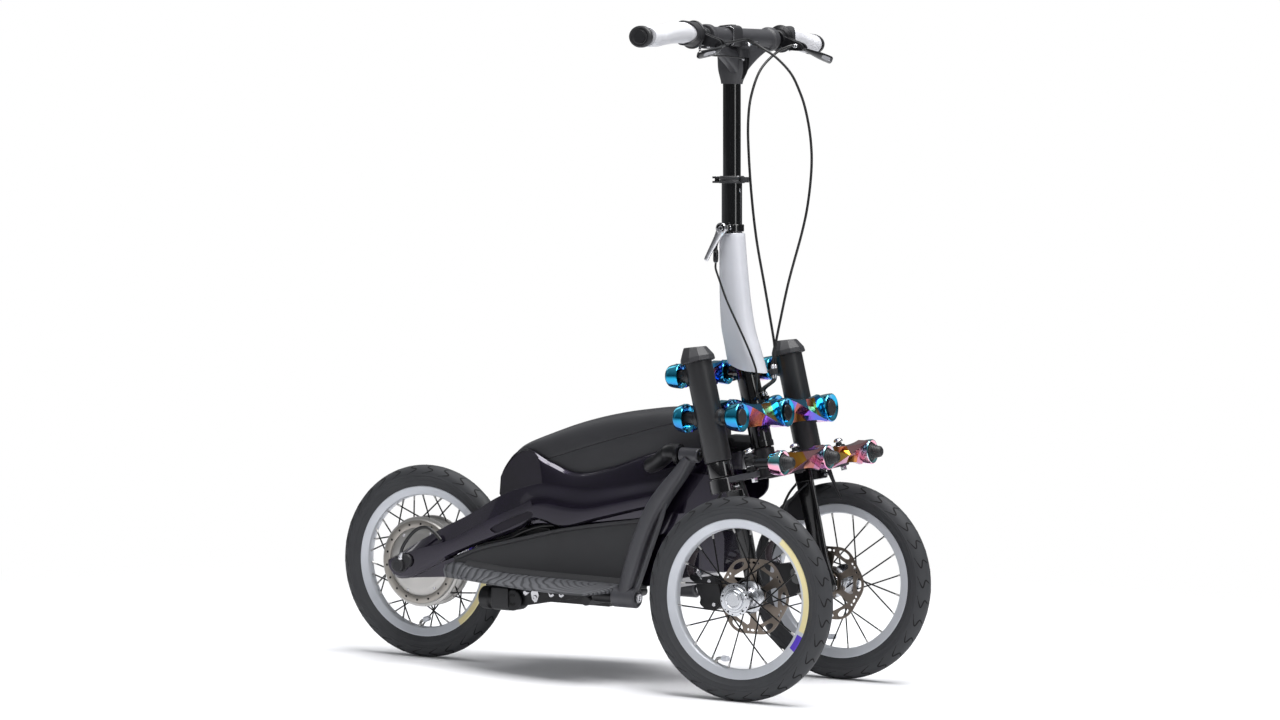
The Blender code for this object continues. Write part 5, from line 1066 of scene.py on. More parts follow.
def coverSection(x):
    top, base = lineAt(coverTop, x), lineAt(ridgeLine, x) - 0.0057
    half = 0.0497 * (0.86 + 0.14 * min(1, (x + 0.159) / 0.02))
    if x > 0.15:
        half = 0.0497 * (1 - 2.9 * (x - 0.15))
    if x < -0.13:
        half = min(half, 0.0755 - 0.4 * (-0.0775 - x) - 0.004)
    tall = max(top - base, 0.004)
    seam = min(max(lineAt(seamLine, x), base + 0.1 * tall), top - 0.16 * tall)
    line = flatCurve([(half, base), (0.992 * half, base + 0.28 * tall), (0.96 * half, base + 0.52 * tall),
        (0.87 * half, base + 0.74 * tall), (0.69 * half, base + 0.89 * tall),
        (0.4 * half, base + 0.975 * tall), (0, top)], 8)
    cutAt = next(k for k, (_, z) in enumerate(line) if z > seam)
    (y0, z0), (y1, z1) = line[cutAt - 1], line[cutAt]
    t = (seam - z0) / (z1 - z0)
    groove = (y0 + (y1 - y0) * t, seam)
    lower = resample(line[:cutAt] + [groove], 12)
    upper = resample([groove] + line[cutAt:], 22)
    lower[-1] = (groove[0] - 0.0002, seam - 0.0007)
    upper[0] = (groove[0] - 0.0006, seam + 0.0005)
    profile = lower + [(groove[0] - 0.0016, seam - 0.0001)] + upper
    profile = [(y, min(z, top)) for y, z in profile]
    rightHalf = [vec(x, -y, z) for y, z in profile[:-1]]
    leftHalf = [vec(x, y, z) for y, z in reversed(profile[:-1])]
    return rightHalf + [vec(x, 0, top)] + leftHalf


bm = bmesh.new()
loftSections(bm, [coverSection(x) for x in spaced(-0.159, 0.2215, 84)])
roundEdges(addPiece("cover_panels", bm, charcoal, "frame", ["top_cover"], 26), 0.0006, 2, 50)
print("cover made")

# Battery case and its cross tubes

bm = bmesh.new()
prism(bm, mm(-170, 172, -160, 149, -153, 145.2, 50, 145.2, 50, 251.5, -125, 251.5, -170, 229), -0.06, 0.06)
prism(bm, mm(-140, 147, -136, 119, 26, 119, 30, 147), -0.03, 0.03)
for x in (-0.145, 0.02):
    lathe(bm, mm(0, -101, 7.8, -101, 8.4, -100.2, 8.4, 100.2, 7.8, 101, 0, 101), 32, moved((x, 0, 0.135)))
# Ribs along the case's sides
for out in (-1, 1):
    for z in (0.168, 0.186, 0.204, 0.222):
        prism(bm, [(-0.15, z - 0.002), (0.045, z - 0.002), (0.045, z + 0.002), (-0.15, z + 0.002)],
            out * 0.0595, out * 0.0615)
roundEdges(addPiece("battery_case_shell", bm, mouldedBlack, "frame", ["battery_case"], 26), 0.0012, 2, 40)
print("case made")

# Footboards: a matt panel with a rounded bead on top, over a lens-shaped tread

panelTop = mm(-254.6, 190.5, -204.4, 211, -147.7, 226.2, -41.6, 253, 35.7, 267, 131.8, 281.5)
treadPlan = mm(-276, 88, -260, 96, -215, 113, -150, 142, -75, 167, 0, 181, 48, 183, 68, 172, 80, 140, 86, 100)
treadInner = mm(-276, 173, -250, 179, -210, 176, -140, 170, 86, 166.5)
treadOuter = mm(-276, 169, -250, 165, -200, 160, -100, 158, 50, 156.5, 86, 158.5)

# Flat grey black that lets the bead above it show
panelPlastic = plain("matt black panel", "moulded_black", "#29292b", "#323235", 0.58, grainMm=0.5,
    depthMm=0.03)
# Grey rubber with wavy ribs that catch the light one by one; the dark grooves and lighter ribs are painted
# shade and light
treadRubber, tree, shader = newMaterial("ribbed tread rubber with painted rib shade", "moulded_black", "#4c4d50", 0.62)
coordinates = addNode(tree, "TexCoord")
parts = addNode(tree, "SeparateXYZ", {"Vector": coordinates.outputs["Object"]})
mirrored = calc(tree, "ABSOLUTE", parts.outputs["Y"])
lengthwise = calc(tree, "MULTIPLY_ADD", parts.outputs["X"], 0.62, -0.035)
sideways = calc(tree, "ADD", mirrored, -0.105)
folded = addNode(tree, "CombineXYZ", {"X": lengthwise, "Y": sideways})
ribs = addNode(tree, "TexWave", {"Vector": folded, "Scale": 36, "Distortion": 9, "Detail": 1,
    "Detail Scale": 0.55}, wave_type="RINGS", rings_direction="Z")
# Painted shade and light: dark where the bump is low in the grooves, lighter on the ribs
ribShadeAndLight = addNode(tree, "ValToRGB", {"Fac": ribs.outputs["Fac"]})
ribShadeAndLight.color_ramp.elements[0].position = 0.1
ribShadeAndLight.color_ramp.elements[0].color = linear("#323336")
ribShadeAndLight.color_ramp.elements[1].position = 0.38
ribShadeAndLight.color_ramp.elements[1].color = linear("#56575b")
link(tree, ribShadeAndLight, shader.inputs["Base Color"])
ribBump = addNode(tree, "Bump", {"Height": ribs.outputs["Fac"], "Distance": 0.0012})
link(tree, ribBump, shader.inputs["Normal"])


def treadSection(x, out):
    edge, inner, outer = lineAt(treadPlan, x), lineAt(treadInner, x), lineAt(treadOuter, x)
    start = min(0.092, edge - 0.004)
    points = [(0.0815, 0.1545), (0.0815, inner + 0.004), (0.0845, inner + 0.003), (start, inner)]
    for k in range(1, 13):
        t = k / 12
        points.append((start + (edge - start) * t, inner + (outer - inner) * t ** 1.5))
    points += [(edge + 0.0006, outer - 0.0012), (edge - 0.0006, outer - 0.0032), (edge - 0.005, 0.1545)]
    return [vec(x, out * y, z) for y, z in points]


def makeFootboard(side, out):
    bm = bmesh.new()
    top = [(x, lineAt(panelTop, x)) for x in spaced(-0.2546, 0.1318, 48)]
    front = flatCurve(mm(131.8, 281.5, 127, 258, 115, 223, 98, 175, 86, 157), 5)
    prism(bm, top + front[1:] + mm(-248, 157, -264, 170), out * 0.079, out * 0.083)
    addPiece(side + "_foot_panel", bm, panelPlastic, "frame", [side + "_footboard"], 28)
    bead = bmesh.new()
    route = [(x, out * 0.0838, lineAt(panelTop, x) - 0.0022) for x in spaced(-0.256, 0.13, 60)]
    tube(bead, route, [0.002, 0.0032] + [0.0038] * 57 + [0.003], 14)
    # The shaded kick between the panel and the tread
    loftSections(bead, [[vec(x, out * y, z) for y, z in ((0.0825, lineAt(treadInner, x) + 0.01),
        (0.0836, lineAt(treadInner, x) + 0.01), (0.0905, lineAt(treadInner, x) + 0.0012),
        (0.0825, lineAt(treadInner, x) - 0.004))] for x in spaced(-0.23, 0.084, 40)])
    addPiece(side + "_foot_panel_bead", bead, panelPlastic, "frame", smooth=28)
    tread = bmesh.new()
    loftSections(tread, [treadSection(x, out) for x in spaced(-0.2755, 0.0855, 90)])
    roundEdges(addPiece(side + "_tread_board", tread, treadRubber, "frame", smooth=35), 0.0012, 2, 50)


for side, out in bothSides:
    makeFootboard(side, out)

# Struts: soft-edged bars between two bolted eyes, with a thinner rib in front

# Satin grey that sets the struts off from the hull
strutCoat = plain("satin charcoal coat", "black_steel", "#3a3a3e", "#47474c", 0.42, grainMm=0.45,
    depthMm=0.012)
strutPath = mm(221, 392, 201, 364, 159, 309, 130, 247, 105, 168, 102, 154)
strutWidth = ((0, 0.016), (0.2, 0.0225), (0.4, 0.029), (0.6, 0.0285), (0.8, 0.027), (1, 0.024))


def makeStrut(side, out):
    bm = bmesh.new()
    route = smoothLine([(x, 0, z) for x, z in strutPath], 8)
    sections, ribRoute = [], []
    for index, point in enumerate(route):
        t = index / (len(route) - 1)
        way = (route[min(index + 1, len(route) - 1)] - route[max(index - 1, 0)]).normalized()
        acrossWay = vec(way.z, 0, -way.x)
        half = lineAt(strutWidth, t) / 2
        section = []
        for k in range(28):
            angle = 2 * pi * k / 28
            c, n = cos(angle), sin(angle)
            a = half * copysign(abs(c) ** 0.62, c)
            b = 0.1016 + 0.0182 * copysign(abs(n) ** 0.62, n)
            section.append(point + a * acrossWay + vec(0, out * b, 0))
        sections.append(section)
        if 0.34 < t < 0.9:
            ribRoute.append(point - acrossWay * (half + 0.0085) * sin(pi * (t - 0.34) / 0.56) ** 0.35
                + vec(0, out * 0.106, 0))
    loftSections(bm, sections)
    tube(bm, ribRoute, 0.0046, 14)
    top, low = mm(221.8, 396.5, 36, 12.4, 103, 147.7, 45, 17.5, by=4)
    for x, z, length, radius in (top, low):
        place = moved((0, out * 0.105, z))
        lathe(bm, [(0.005, x - length / 2), (radius - 0.0015, x - length / 2),
            (radius, x - length / 2 + 0.0015), (radius, x + length / 2 - 0.0018),
            (radius - 0.0017, x + length / 2), (radius - 0.004, x + length / 2),
            (radius - 0.0047, x + length / 2 - 0.0016), (0.005, x + length / 2 - 0.0016)], 48, place, "X")
    addPiece(side + "_strut_bar", bm, strutCoat, "frame", [side + "_strut"])
    collar = bmesh.new()
    lathe(collar, mm(10, 0, 15.5, 0, 16.2, 0.8, 15.5, 2.2, 10, 2.6), 40,
        facing((0.1022, out * 0.1016, 0.164), (0.1, 0, 1)), "Z")
    addPiece(side + "_strut_collar", collar, glossBlack, "frame")


def makeFootBar(side, out):
    bm = bmesh.new()
    view = mm(-156, 112, -128, 112, -90, 120.5, 30, 144, 43, 149, 44, 153.6, -156, 153.6)
    prism(bm, view, out * 0.0905, out * 0.116)
    line = moved((0, out * 0.105, 0.1285))
    # Drum end, gap, then the wider clamp body with its split cylinder
    lathe(bm, mm(0, -183, 16, -183, 19.6, -180, 20, -164, 17.2, -160.5, 17.2, -156, 0, -156), 48, line, "X")
    block = mm(116, 109.5, 124, 113, 126.5, 120, 126.5, 148, 122, 153.8, 95, 153.8, 95, 109.5)
    prism(bm, [(out * y, z) for y, z in block], -0.154, -0.119, "X")
    lathe(bm, mm(0, 124, 17.5, 124, 18.5, 122.8, 18.5, 95, 0, 95), 40,
        moved((-0.113, 0, 0.129)) @ Matrix.Scale(out, 4, (0, 1, 0)), "Y")
    lathe(bm, mm(0, 40, 10, 40, 11.8, 43, 11.8, 79.5, 0, 79.5), 36, moved((0, out * 0.105, 0.1477)), "X")
    roundEdges(addPiece(side + "_foot_bar_body", bm, castBlack, "frame", [side + "_foot_bar"]), 0.0014, 3, 40)
    # Painted shade: a thin near-black plate stands for the C-shaped notch in the clamp
    notch = bmesh.new()
    ring = [(0.0105 * cos(radians(a)), 0.0105 * sin(radians(a))) for a in range(50, 311, 13)]
    ring += [(0.006 * cos(radians(a)), 0.006 * sin(radians(a))) for a in range(310, 49, -13)]
    prism(notch, [(-0.112 + a, 0.13 + b) for a, b in ring], out * 0.1238, out * 0.1246)
    addPiece(side + "_clamp_notch_shade", notch, spokeBlack, "frame")
    bolts = bmesh.new()
    lathe(bolts, mm(0, 115, 5.8, 115, 6, 120, 5, 123.2, 2.8, 125, 0, 125.4), 28,
        moved((-0.087, 0, 0.144)) @ Matrix.Scale(out, 4, (0, 1, 0)))
    tab = mm(-79, 144, -76, 147.5, -65, 147, -63, 140, -66.5, 129, -71, 127.5, -76, 132)
    low, high = out * 0.1155, out * 0.118
    prism(bolts, tab, low, high)
    screw(bolts, facing((-0.0706, out * 0.1202, 0.136), (0, out, 0)), 0.0042, 0.0024, 0.55)
    for x, z in mm(-39, 143, -19, 144):
        prism(bolts, [(x - 0.005, z + 0.0035), (x - 0.003, z - 0.003), (x + 0.001, z - 0.0045),
            (x + 0.007, z - 0.0005), (x + 0.0035, z + 0.002), (x + 0.0005, z - 0.001)], low, high)
    # The long bolt through the lower eye, with its bright ring and dark socket
    screw(bolts, facing((0.129, out * 0.105, 0.1477), (1, 0, 0)), 0.0088, 0.004, 0.58)
    addPiece(side + "_foot_bar_bolts", bolts, brightSteel, "frame")


for side, out in bothSides:
    makeStrut(side, out)
    makeFootBar(side, out)
print("foot parts made")

# Rear axle caps, the motor lead and the small fittings above the footboard

bm = bmesh.new()
for out in (-1, 1):
    profile = mm(0, 88, 15, 88, 15, 89.3, 12.8, 90, 12.2, 98.5, 10.4, 100, 7.2, 100, 6.4, 99.2, 0, 99.2)
    lathe(bm, [(radius, out * y) for radius, y in profile], 12, moved(rearPlace))
lathe(bm, rod(6, -88, 88), 32, moved(rearPlace))
# The round boss beside the cap that guides the lead
lathe(bm, mm(0, -88, 11.8, -88, 12.2, -92.5, 10.8, -94.5, 0, -94.5), 28,
    moved(rearPlace + vec(0.014, 0, 0.008)))
addPiece("rear_axle_caps", bm, mouldedBlack, "frame", ["rear_axle"], 25)
leadPoints = mm(-360, -95, 183.8, -356, -95.5, 202, -340, -95, 224.7, -325, -93.5, 237, -308, -92.5, 240,
    -293, -91.5, 232, -280, -91.2, 220, by=3)
leadRoute = smoothLine(leadPoints, 8)
gland = bmesh.new()
lathe(gland, mm(0, 0, 4.6, 0, 4.8, 3, 4, 4.2, 4, 12, 3.4, 14, 0, 14), 24,
    facing(leadRoute[0] - vec(0, 0, 0.003), leadRoute[6] - leadRoute[0]), "Z")
addPiece("motor_lead_gland", gland, brightSteel, "frame")
fittings, sleeve = bmesh.new(), bmesh.new()
start, end = vec(-0.254, -0.074, 0.196), vec(-0.215, -0.074, 0.211)
way = (end - start).normalized()
lathe(fittings, mm(0, -6, 1.2, -4, 3, 0, 3.4, 6, 2.6, 7, 2.6, 9, 3.6, 10, 3.6, 13, 2.4, 14, 2.4, 18, 3.4, 19,
    3.4, 21, 2.2, 22, 2.2, 26, 0, 26), 24, facing(start, way), "Z")
lathe(sleeve, rod(4.8, 26, 33), 24, facing(start, way), "Z")
addPiece("hose_fitting", fittings, brightSteel, "frame")
# One small spot of colour under the hull
violetSleeve = plain("violet plastic sleeve", "moulded_black", "#3a22a8", "#4a2fc8", 0.4, grainMm=0.6,
    depthMm=0.01)
addPiece("hose_sleeve", sleeve, violetSleeve, "frame")
hose = bmesh.new()
tube(hose, smoothLine([end + 0.002 * way, (-0.19, -0.0735, 0.22), (-0.15, -0.074, 0.23),
    (-0.12, -0.0745, 0.244), (-0.09, -0.073, 0.254), (-0.06, -0.07, 0.258)], 8), 0.0032, 16)
tube(hose, smoothLine(mm(-185, -70, 224, -150, -69, 240, -110, -70, 250, -70, -70, 250, by=3), 8), 0.0024,
    14)
addPiece("hull_hoses", hose, cableSkin, "frame", smooth=40)
print("rear details made")

# Stem: the white shell, both posts with their clamps, and the lever that locks the lean

postMatrix = moved((0.236, 0, 0.77)) @ Matrix.Rotation(radians(-1.3), 4, "Y")
barPlace = vec(0.24, 0, 1.1)
barMatrix = moved(barPlace)


def softened(points, times, share=0.25):
    for _ in range(times):
        points = [tuple(a + (b - a) * part for a, b in zip(start, end))
            for start, end in zip(points, points[1:] + points[:1]) for part in (share, 1 - share)]
    return points


def flow(rows, perSpan):
    padded = [tuple(2 * a - b for a, b in zip(rows[0], rows[1]))] + list(rows)
    padded.append(tuple(2 * a - b for a, b in zip(rows[-1], rows[-2])))
    made = []
    for before, start, end, after in zip(padded, padded[1:], padded[2:], padded[3:]):
        for step in range(perSpan):
            t = step / perSpan
            made.append(tuple(0.5 * (2 * b + (c - a) * t + (2 * a - 5 * b + 4 * c - d) * t * t
                + (3 * b - a - 3 * c + d) * t ** 3) for a, b, c, d in zip(before, start, end, after)))
    return made + [tuple(rows[-1])]


stemSettings = {"outline": [(1, -0.45), (1, 0.45), (0.55, 0.95), (-0.1, 1), (-0.75, 0.8), (-1, 0.35),
    (-1, -0.35), (-0.75, -0.8), (-0.1, -1), (0.55, -0.95)], "stations": mm(769, 236.5, 21.2, 20.3, 0, 705,
    241, 24, 21.2, 0, 655, 245.5, 26.5, 22.2, 0, 610, 252, 29, 23, 0, 580, 260.5, 31.5, 23.6, -3, 542.5,
    271.7, 35.7, 24, -8.3, by=5), "wall": 0.86}


def makeStemShell():
    s = stemSettings
    outline = softened(s["outline"], 3, 0.22)
    rows = flow(s["stations"], 9)
    rows = [(rows[0][0] + 0.0012, rows[0][1], rows[0][2] - 0.0016, rows[0][3] - 0.0016, 0),
        (rows[0][0] + 0.0007, rows[0][1], rows[0][2] - 0.0005, rows[0][3] - 0.0005, 0)] + rows
    sections = [[vec(x + deep * a, wide * b, z + rise * a - 0.0035 * (z < 0.544) * cos(1.5 * a) ** 2)
        for a, b in outline] for z, x, deep, wide, rise in rows]
    inner = [[vec(x + s["wall"] * deep * a, s["wall"] * wide * b, z + rise * a) for a, b in outline]
        for z, x, deep, wide, rise in (rows[0],) + tuple(rows[2::6]) + (rows[-1],)]
    bm = bmesh.new()
    loftSections(bm, sections + inner[::-1] + sections[:1], False)
    bmesh.ops.remove_doubles(bm, verts=bm.verts[:], dist=1e-6)
    addPiece("stem_shell", bm, whiteShell, "column", ["stem_fairing"], 50)


def groovedPost(bm, radius, low, high, groove, half, depth):
    chamfer = 0.0012
    edge = half / radius
    angles = [2 * pi * step / 96 for step in range(96)] + [edge, edge + 0.004, -edge, -edge - 0.004]
    angles = sorted(a % (2 * pi) for a in angles)
    sections = []
    for z, r, cutIn in ((low, radius - chamfer, 0), (low + chamfer, radius, 0),
            (groove[0] - 0.0001, radius, 0), (groove[0], radius, 1), (groove[1], radius, 1),
            (groove[1] + 0.0001, radius, 0), (high - chamfer, radius, 0), (high, radius - chamfer, 0)):
        section = []
        for angle in angles:
            off = min(angle, 2 * pi - angle)
            at = r - (depth if cutIn and off < edge + 0.001 else 0)
            section.append(postMatrix @ vec(at * cos(angle), at * sin(angle), z))
        sections.append(section)
    loftSections(bm, sections)


bm = bmesh.new()
groovedPost(bm, 0.0175, -0.15, 0.093, (0.004, 0.078), 0.0022, 0.0014)
addPiece("lower_post_tube", bm, glossBlack, "column", ["lower_post"])
bm = bmesh.new()
groovedPost(bm, 0.0152, -0.01, 0.285, (-0.009, 0.27), 0.0012, 0.0001)
addPiece("upper_post_tube", bm, glossBlack, "post", ["upper_post"])
# Painted highlight: a bright steel strip in the lower post's groove stands for the bright line along it
bm = bmesh.new()
prism(bm, mm(16, 4, 17.2, 4, 17.2, 76, 16, 76), -0.0019, 0.0019, "Y", postMatrix)
screw(bm, postMatrix @ facing((0.0178, -0.002, 0.072), (0.9, -0.2, 0)), 0.0028, 0.0022, 0.5)
addPiece("post_key_strip_painted_highlight", bm, brightSteel, "column")

# The spool collar with its split tail, bolt and front lug
bm = bmesh.new()
low, high = 0.084, 0.0965
lathe(bm, [(0.0176, low), (0.0215, low), (0.0224, low + 0.0012), (0.0226, low + 0.003),
    (0.0208, low + 0.0045), (0.0202, 0.0902), (0.0208, high - 0.0045), (0.022, high - 0.0032),
    (0.0216, high - 0.0016), (0.0196, high), (0.0154, high), (0.0154, 0.0932), (0.0176, 0.0932)], 64,
    postMatrix, "Z")
for z in (low + 0.0004, high - 0.0044):
    plate = softened(mm(-20, -11, -34.5, -8, -36, 0, -34.5, 8, -20, 11, -19, 0), 2)
    prism(bm, plate, z, z + 0.0034, "Z", postMatrix)
front = softened(mm(19, -10, 30, -7, 31.8, 0, 30, 7, 19, 10, 18.5, 0), 2)
prism(bm, front, low + 0.0012, high - 0.002, "Z", postMatrix)
lathe(bm, [(0, low + 0.003), (0.0042, low + 0.003), (0.0042, high - 0.003), (0, high - 0.003)], 24,
    postMatrix @ moved((-0.0285, 0, 0)), "Z")
addPiece("collar_spool", bm, mouldedBlack, "column", ["post_clamp_collar"])
bm = bmesh.new()
screw(bm, postMatrix @ facing((0.016, -0.009, high), (0.1, -0.05, 1)), 0.0026, 0.0024, 0.5)
screw(bm, postMatrix @ facing((-0.03, 0, high - 0.0008), (0, 0, 1)), 0.003, 0.0016, 0.5)
addPiece("collar_screws", bm, brightSteel, "column")

# Band clamp with its lever block, strap and cable barrel
bm = bmesh.new()
lathe(bm, mm(17.7, 2, 20.2, 2, 20.8, 2.6, 20.8, 13.4, 20.2, 14, 17.7, 14), 64, postMatrix, "Z")
block = softened(mm(-20, -7, -6, -32.5, 5, -32.5, 11, -24, 13, -16, -12, -14), 2, 0.18)
prism(bm, block, 0.003, 0.0132, "Z", postMatrix)
lathe(bm, rod(4, -32, -24), 24, postMatrix @ moved((0, 0, 0.008)))
place = vec(0.2216, -0.029, 0.7195)
tube(bm, smoothLine([place + vec(0.0065, 0.0015, 0.048), place + vec(0.0035, 0.001, 0.04),
    place + vec(0.0005, 0, 0.03), place + vec(0, 0, 0.022)], 6), 0.0028, 16)
lathe(bm, mm(0, 0, 2.8, 0, 4.2, 1.8, 4.6, 6, 4.6, 16, 4, 20.5, 2.6, 23, 0, 23), 28, moved(place), "Z")
addPiece("lever_band", bm, glossBlack, "column", ["lever_band_clamp"])
bm = bmesh.new()
screw(bm, postMatrix @ facing((0.0085, -0.0262, 0.0085), (0.45, -1, 0)), 0.0042, 0.003, 0.55)
screw(bm, postMatrix @ facing((-0.0085, -0.0268, 0.0085), (-0.35, -1, 0)), 0.0034, 0.003, 0.55)
prism(bm, mm(0.5, -32.8, 2.2, -32.8, 2.2, -30, 0.5, -30), 0.0022, 0.014, "Z", postMatrix)
addPiece("lever_band_screws", bm, brightSteel, "column")

# The polished lever: a ring eye and a tapered arm
leverPivot = postMatrix @ moved((0, -0.0333, 0.008))
bm = bmesh.new()
arm = flow(mm(0, -3, 9, 3.6, -8, -16, 6, 3, -18, -33, 4.8, 2.6, -25.5, -46, 4.2, 2.4, -29, -53, 4, 2.2,
    -30.2, -55.2, 2.2, 1.4, by=4), 6)
way = vec(-0.48, 0, -0.877)
side = vec(0.877, 0, -0.48)
sections = []
for x, z, wide, thick in arm:
    ring = []
    for k in range(20):
        angle = 2 * pi * k / 20
        a = wide * copysign(abs(cos(angle)) ** 0.7, cos(angle))
        b = thick * copysign(abs(sin(angle)) ** 0.7, sin(angle))
        ring.append(leverPivot @ (vec(x, -0.004 + b, z) + a * side))
    sections.append(ring)
loftSections(bm, sections)
lathe(bm, mm(0, 0, 9, 0, 9.6, -0.8, 9.8, -6, 8.8, -7.8, 7.6, -8, 7.2, -7, 7.2, -5, 0, -5), 48, leverPivot)
addPiece("lock_lever_arm", bm, brightSteel, "lock_lever", ["lean_lock_lever"])
bm = bmesh.new()
lathe(bm, mm(4.4, -5.1, 6.8, -5.1, 6.8, -6.6, 4.4, -6.6), 40, leverPivot)
lathe(bm, rod(2.1, -6, -6.8), 6, leverPivot)
addPiece("lock_lever_ring", bm, spokeBlack, "lock_lever")
bm = bmesh.new()
lathe(bm, mm(0, -4.9, 4.2, -4.9, 4.2, -6.6, 3.6, -7, 2.4, -7, 2.4, -6, 0, -6), 32, leverPivot)
addPiece("lock_lever_pin", bm, brightSteel, "lock_lever")
print("stem made")

# Handlebar: the cast neck, the bar with its clamps and collars, grips and controls


def barLine(y):
    reach = max(0, (abs(y) - 0.14) / 0.168)
    return vec(-0.018 * reach ** 1.4, y, 0.006 * sin(pi * min(1, 1.35 * reach)) - 0.005 * reach)


def alongBar(y):
    way = (barLine(y + copysign(0.002, y)) - barLine(y)).normalized()
    return moved(barPlace + barLine(y)) @ way.to_track_quat("Y", "Z").to_matrix().to_4x4()


# Soft dark grey of a cast and painted stem
stemPlastic = plain("charcoal cast stem", "moulded_charcoal", "#2b2b2e", "#37373a", 0.44, grainMm=0.4,
    depthMm=0.02)


def makeNeck():
    outline = softened([(1, -0.4), (1, 0.4), (0.72, 0.85), (-0.2, 1), (-0.85, 0.75), (-1, 0.3), (-1, -0.3),
        (-0.85, -0.75), (-0.2, -1), (0.72, -0.85)], 3, 0.22)
    rows = flow(mm(-78, -9.7, 17, 17, -71, -9.4, 18.6, 18, -55, -8, 24.5, 20.5, -38, -7.5, 26.5, 21.5, -20,
        -8.5, 26, 21.5, -7, -8, 23.5, 20.5, by=4), 6)
    bm = bmesh.new()
    loftSections(bm, [[barMatrix @ vec(x + deep * a, wide * b, z) for a, b in outline]
        for z, x, deep, wide in rows])
    neck = addPiece("stem_neck", bm, stemPlastic, "post", ["stem_head"], 32)
    cutter = bmesh.new()
    lower = mm(1, -10, 30, -10, 30, 10, 1, 10)
    upper = mm(9, -12, 30, -12, 30, 12, 9, 12)
    narrow = [(x + 0.008, 0.3 * y) for x, y in lower]
    loftSections(cutter, [[barMatrix @ vec(x, y, z) for x, y in section]
        for z, section in ((-0.07, narrow), (-0.048, lower), (-0.033, upper))])
    carve(neck, cutter, mouldedBlack)
    boss = bmesh.new()
    lathe(boss, mm(0, -117, 19, -117, 20.6, -115.8, 20.8, -106, 20, -103, 17.2, -100.5, 17, -90, 16.6, 0, 17,
        90, 17.2, 100.5, 20, 103, 20.8, 106, 20.6, 115.8, 19, 117, 0, 117), 64, barMatrix)
    for _, out in bothSides:
        rows = flow(mm(8, 2, 10.5, -65.5, -20, 35, 1.8, 9.5, -48, -15, 70, 1.4, 8.5, -30, -10, 106, 1, 7.5,
            -16.5, -4, by=5), 6)
        sections = []
        for y, x, half, low, high in rows:
            corners = softened([(x - half, low), (x + half, low), (x + half, high), (x - half, high)], 3, 0.2)
            sections.append([barMatrix @ vec(a, out * y, b) for a, b in corners])
        loftSections(boss, sections)
    # The ledge under the cross boss and the cable guides on it
    ledge = softened(mm(-27, -23, 30, -23, 30, 23, -27, 23), 2, 0.15)
    prism(boss, ledge, -0.018, -0.013, "Z", barMatrix)
    for _, out in bothSides:
        lathe(boss, mm(0, -6, 3.6, -6, 3.8, 6, 0, 6), 24, barMatrix @ moved((0.024, out * 0.018, -0.0085)))
    addPiece("stem_cross_boss", boss, stemPlastic, "post", smooth=32)
    bolts = bmesh.new()
    for _, out in bothSides:
        screw(bolts, barMatrix @ facing((0.015, out * 0.111, -0.013), (0.75, 0, -0.66)), 0.003, 0.002, 0.5)
        screw(bolts, barMatrix @ facing((0.015, out * 0.025, -0.009), (0.85, 0, -0.5)), 0.0026, 0.0018, 0.5)
        lathe(bolts, mm(0, -5, 2.2, -5, 2.5, -4.4, 2.5, 5, 2.2, 5.6, 0, 5.6), 20,
            barMatrix @ facing((0.0262, out * 0.012, -0.0095), (0.85, out * 0.6, -0.6)), "Z")
    screw(bolts, barMatrix @ moved((0.004, -0.006, -0.0778)) @ facing((0, 0, 0), (0.6, -0.3, -0.2)), 0.0026,
        0.012, 0.5)
    addPiece("stem_bolts", bolts, brightSteel, "post")


def makeBar():
    bm = bmesh.new()
    route = [barPlace + barLine(-0.306 + 0.612 * k / 90) for k in range(91)]
    tube(bm, route, 0.0111, 32)
    addPiece("bar_tube", bm, satinBlack, "post", ["handlebar"], 40)
    for side, out in bothSides:
        bm = bmesh.new()
        place = alongBar(out * 0.144)
        lathe(bm, mm(11.2, -7.5, 16, -7.5, 17, -6.6, 17, 6.6, 16, 7.5, 11.2, 7.5), 48, place)
        # The finned collar against the grip's inner end
        place = alongBar(out * 0.153)
        lathe(bm, mm(11.2, -6, 18, -6, 20, -4.6, 19.6, -3.6, 21.2, -2.6, 20.9, -1.4, 22.6, -0.4, 22.3, 1,
            23.8, 2.2, 24, 3.6, 22.8, 6.2, 20.6, 7.2, 20.2, 4, 11.2, 4), 64, place)
        arm = softened(mm(6, 10, 6, -12, 30, -18.5, 50, -19, 53.5, -13.5, 49, -6, 30, 0), 2, 0.2)
        prism(bm, arm, out * 0.1375, out * 0.1426, "Y", barMatrix)
        prism(bm, arm, out * 0.15, out * 0.155, "Y", barMatrix)
        bridge = softened(mm(6, 9.5, 6, -11, 29, -17, 33, -10, 28, -1), 2, 0.2)
        prism(bm, bridge, out * 0.1376, out * 0.1549, "Y", barMatrix)
        roundEdges(addPiece(side + "_lever_perch", bm, castBlack, "post"), 0.0008, 2,
            45)
        bits = bmesh.new()
        screw(bits, barMatrix @ facing((0.044, out * 0.1377, -0.0125), (0, -out, 0)), 0.0032, 0.0018, 0.5)
        screw(bits, barMatrix @ facing((0.024, out * 0.146, -0.019), (0.2, 0, -1)), 0.0028, 0.0018, 0.5)
        lathe(bits, mm(0, -1, 3.4, -1, 3.6, 0, 3.6, 6, 2.8, 6.6, 2.8, 13, 2.2, 14, 0, 14), 24,
            barMatrix @ facing((0.0405, out * 0.1375, -0.0106), (0.1, -out, 0.02)), "Z")
        addPiece(side + "_perch_fittings", bits, brightSteel, "post")


def gripStation(place):
    rows = mm(0, 17.2, 17, 0, 12, 18.3, 18, 0, 35, 17.8, 17.6, 0, 70, 18.1, 17.2, -1, 105, 20.5, 16.6, 1,
        128, 22.6, 16.8, 3, 138, 22.2, 16.4, 3, by=4)
    index = next((k for k in range(len(rows) - 1) if place <= rows[k + 1][0]), len(rows) - 2)
    start, end = rows[index], rows[index + 1]
    t = smoothStep((place - start[0]) / (end[0] - start[0]))
    return [a + (b - a) * t for a, b in zip(start[1:], end[1:])]


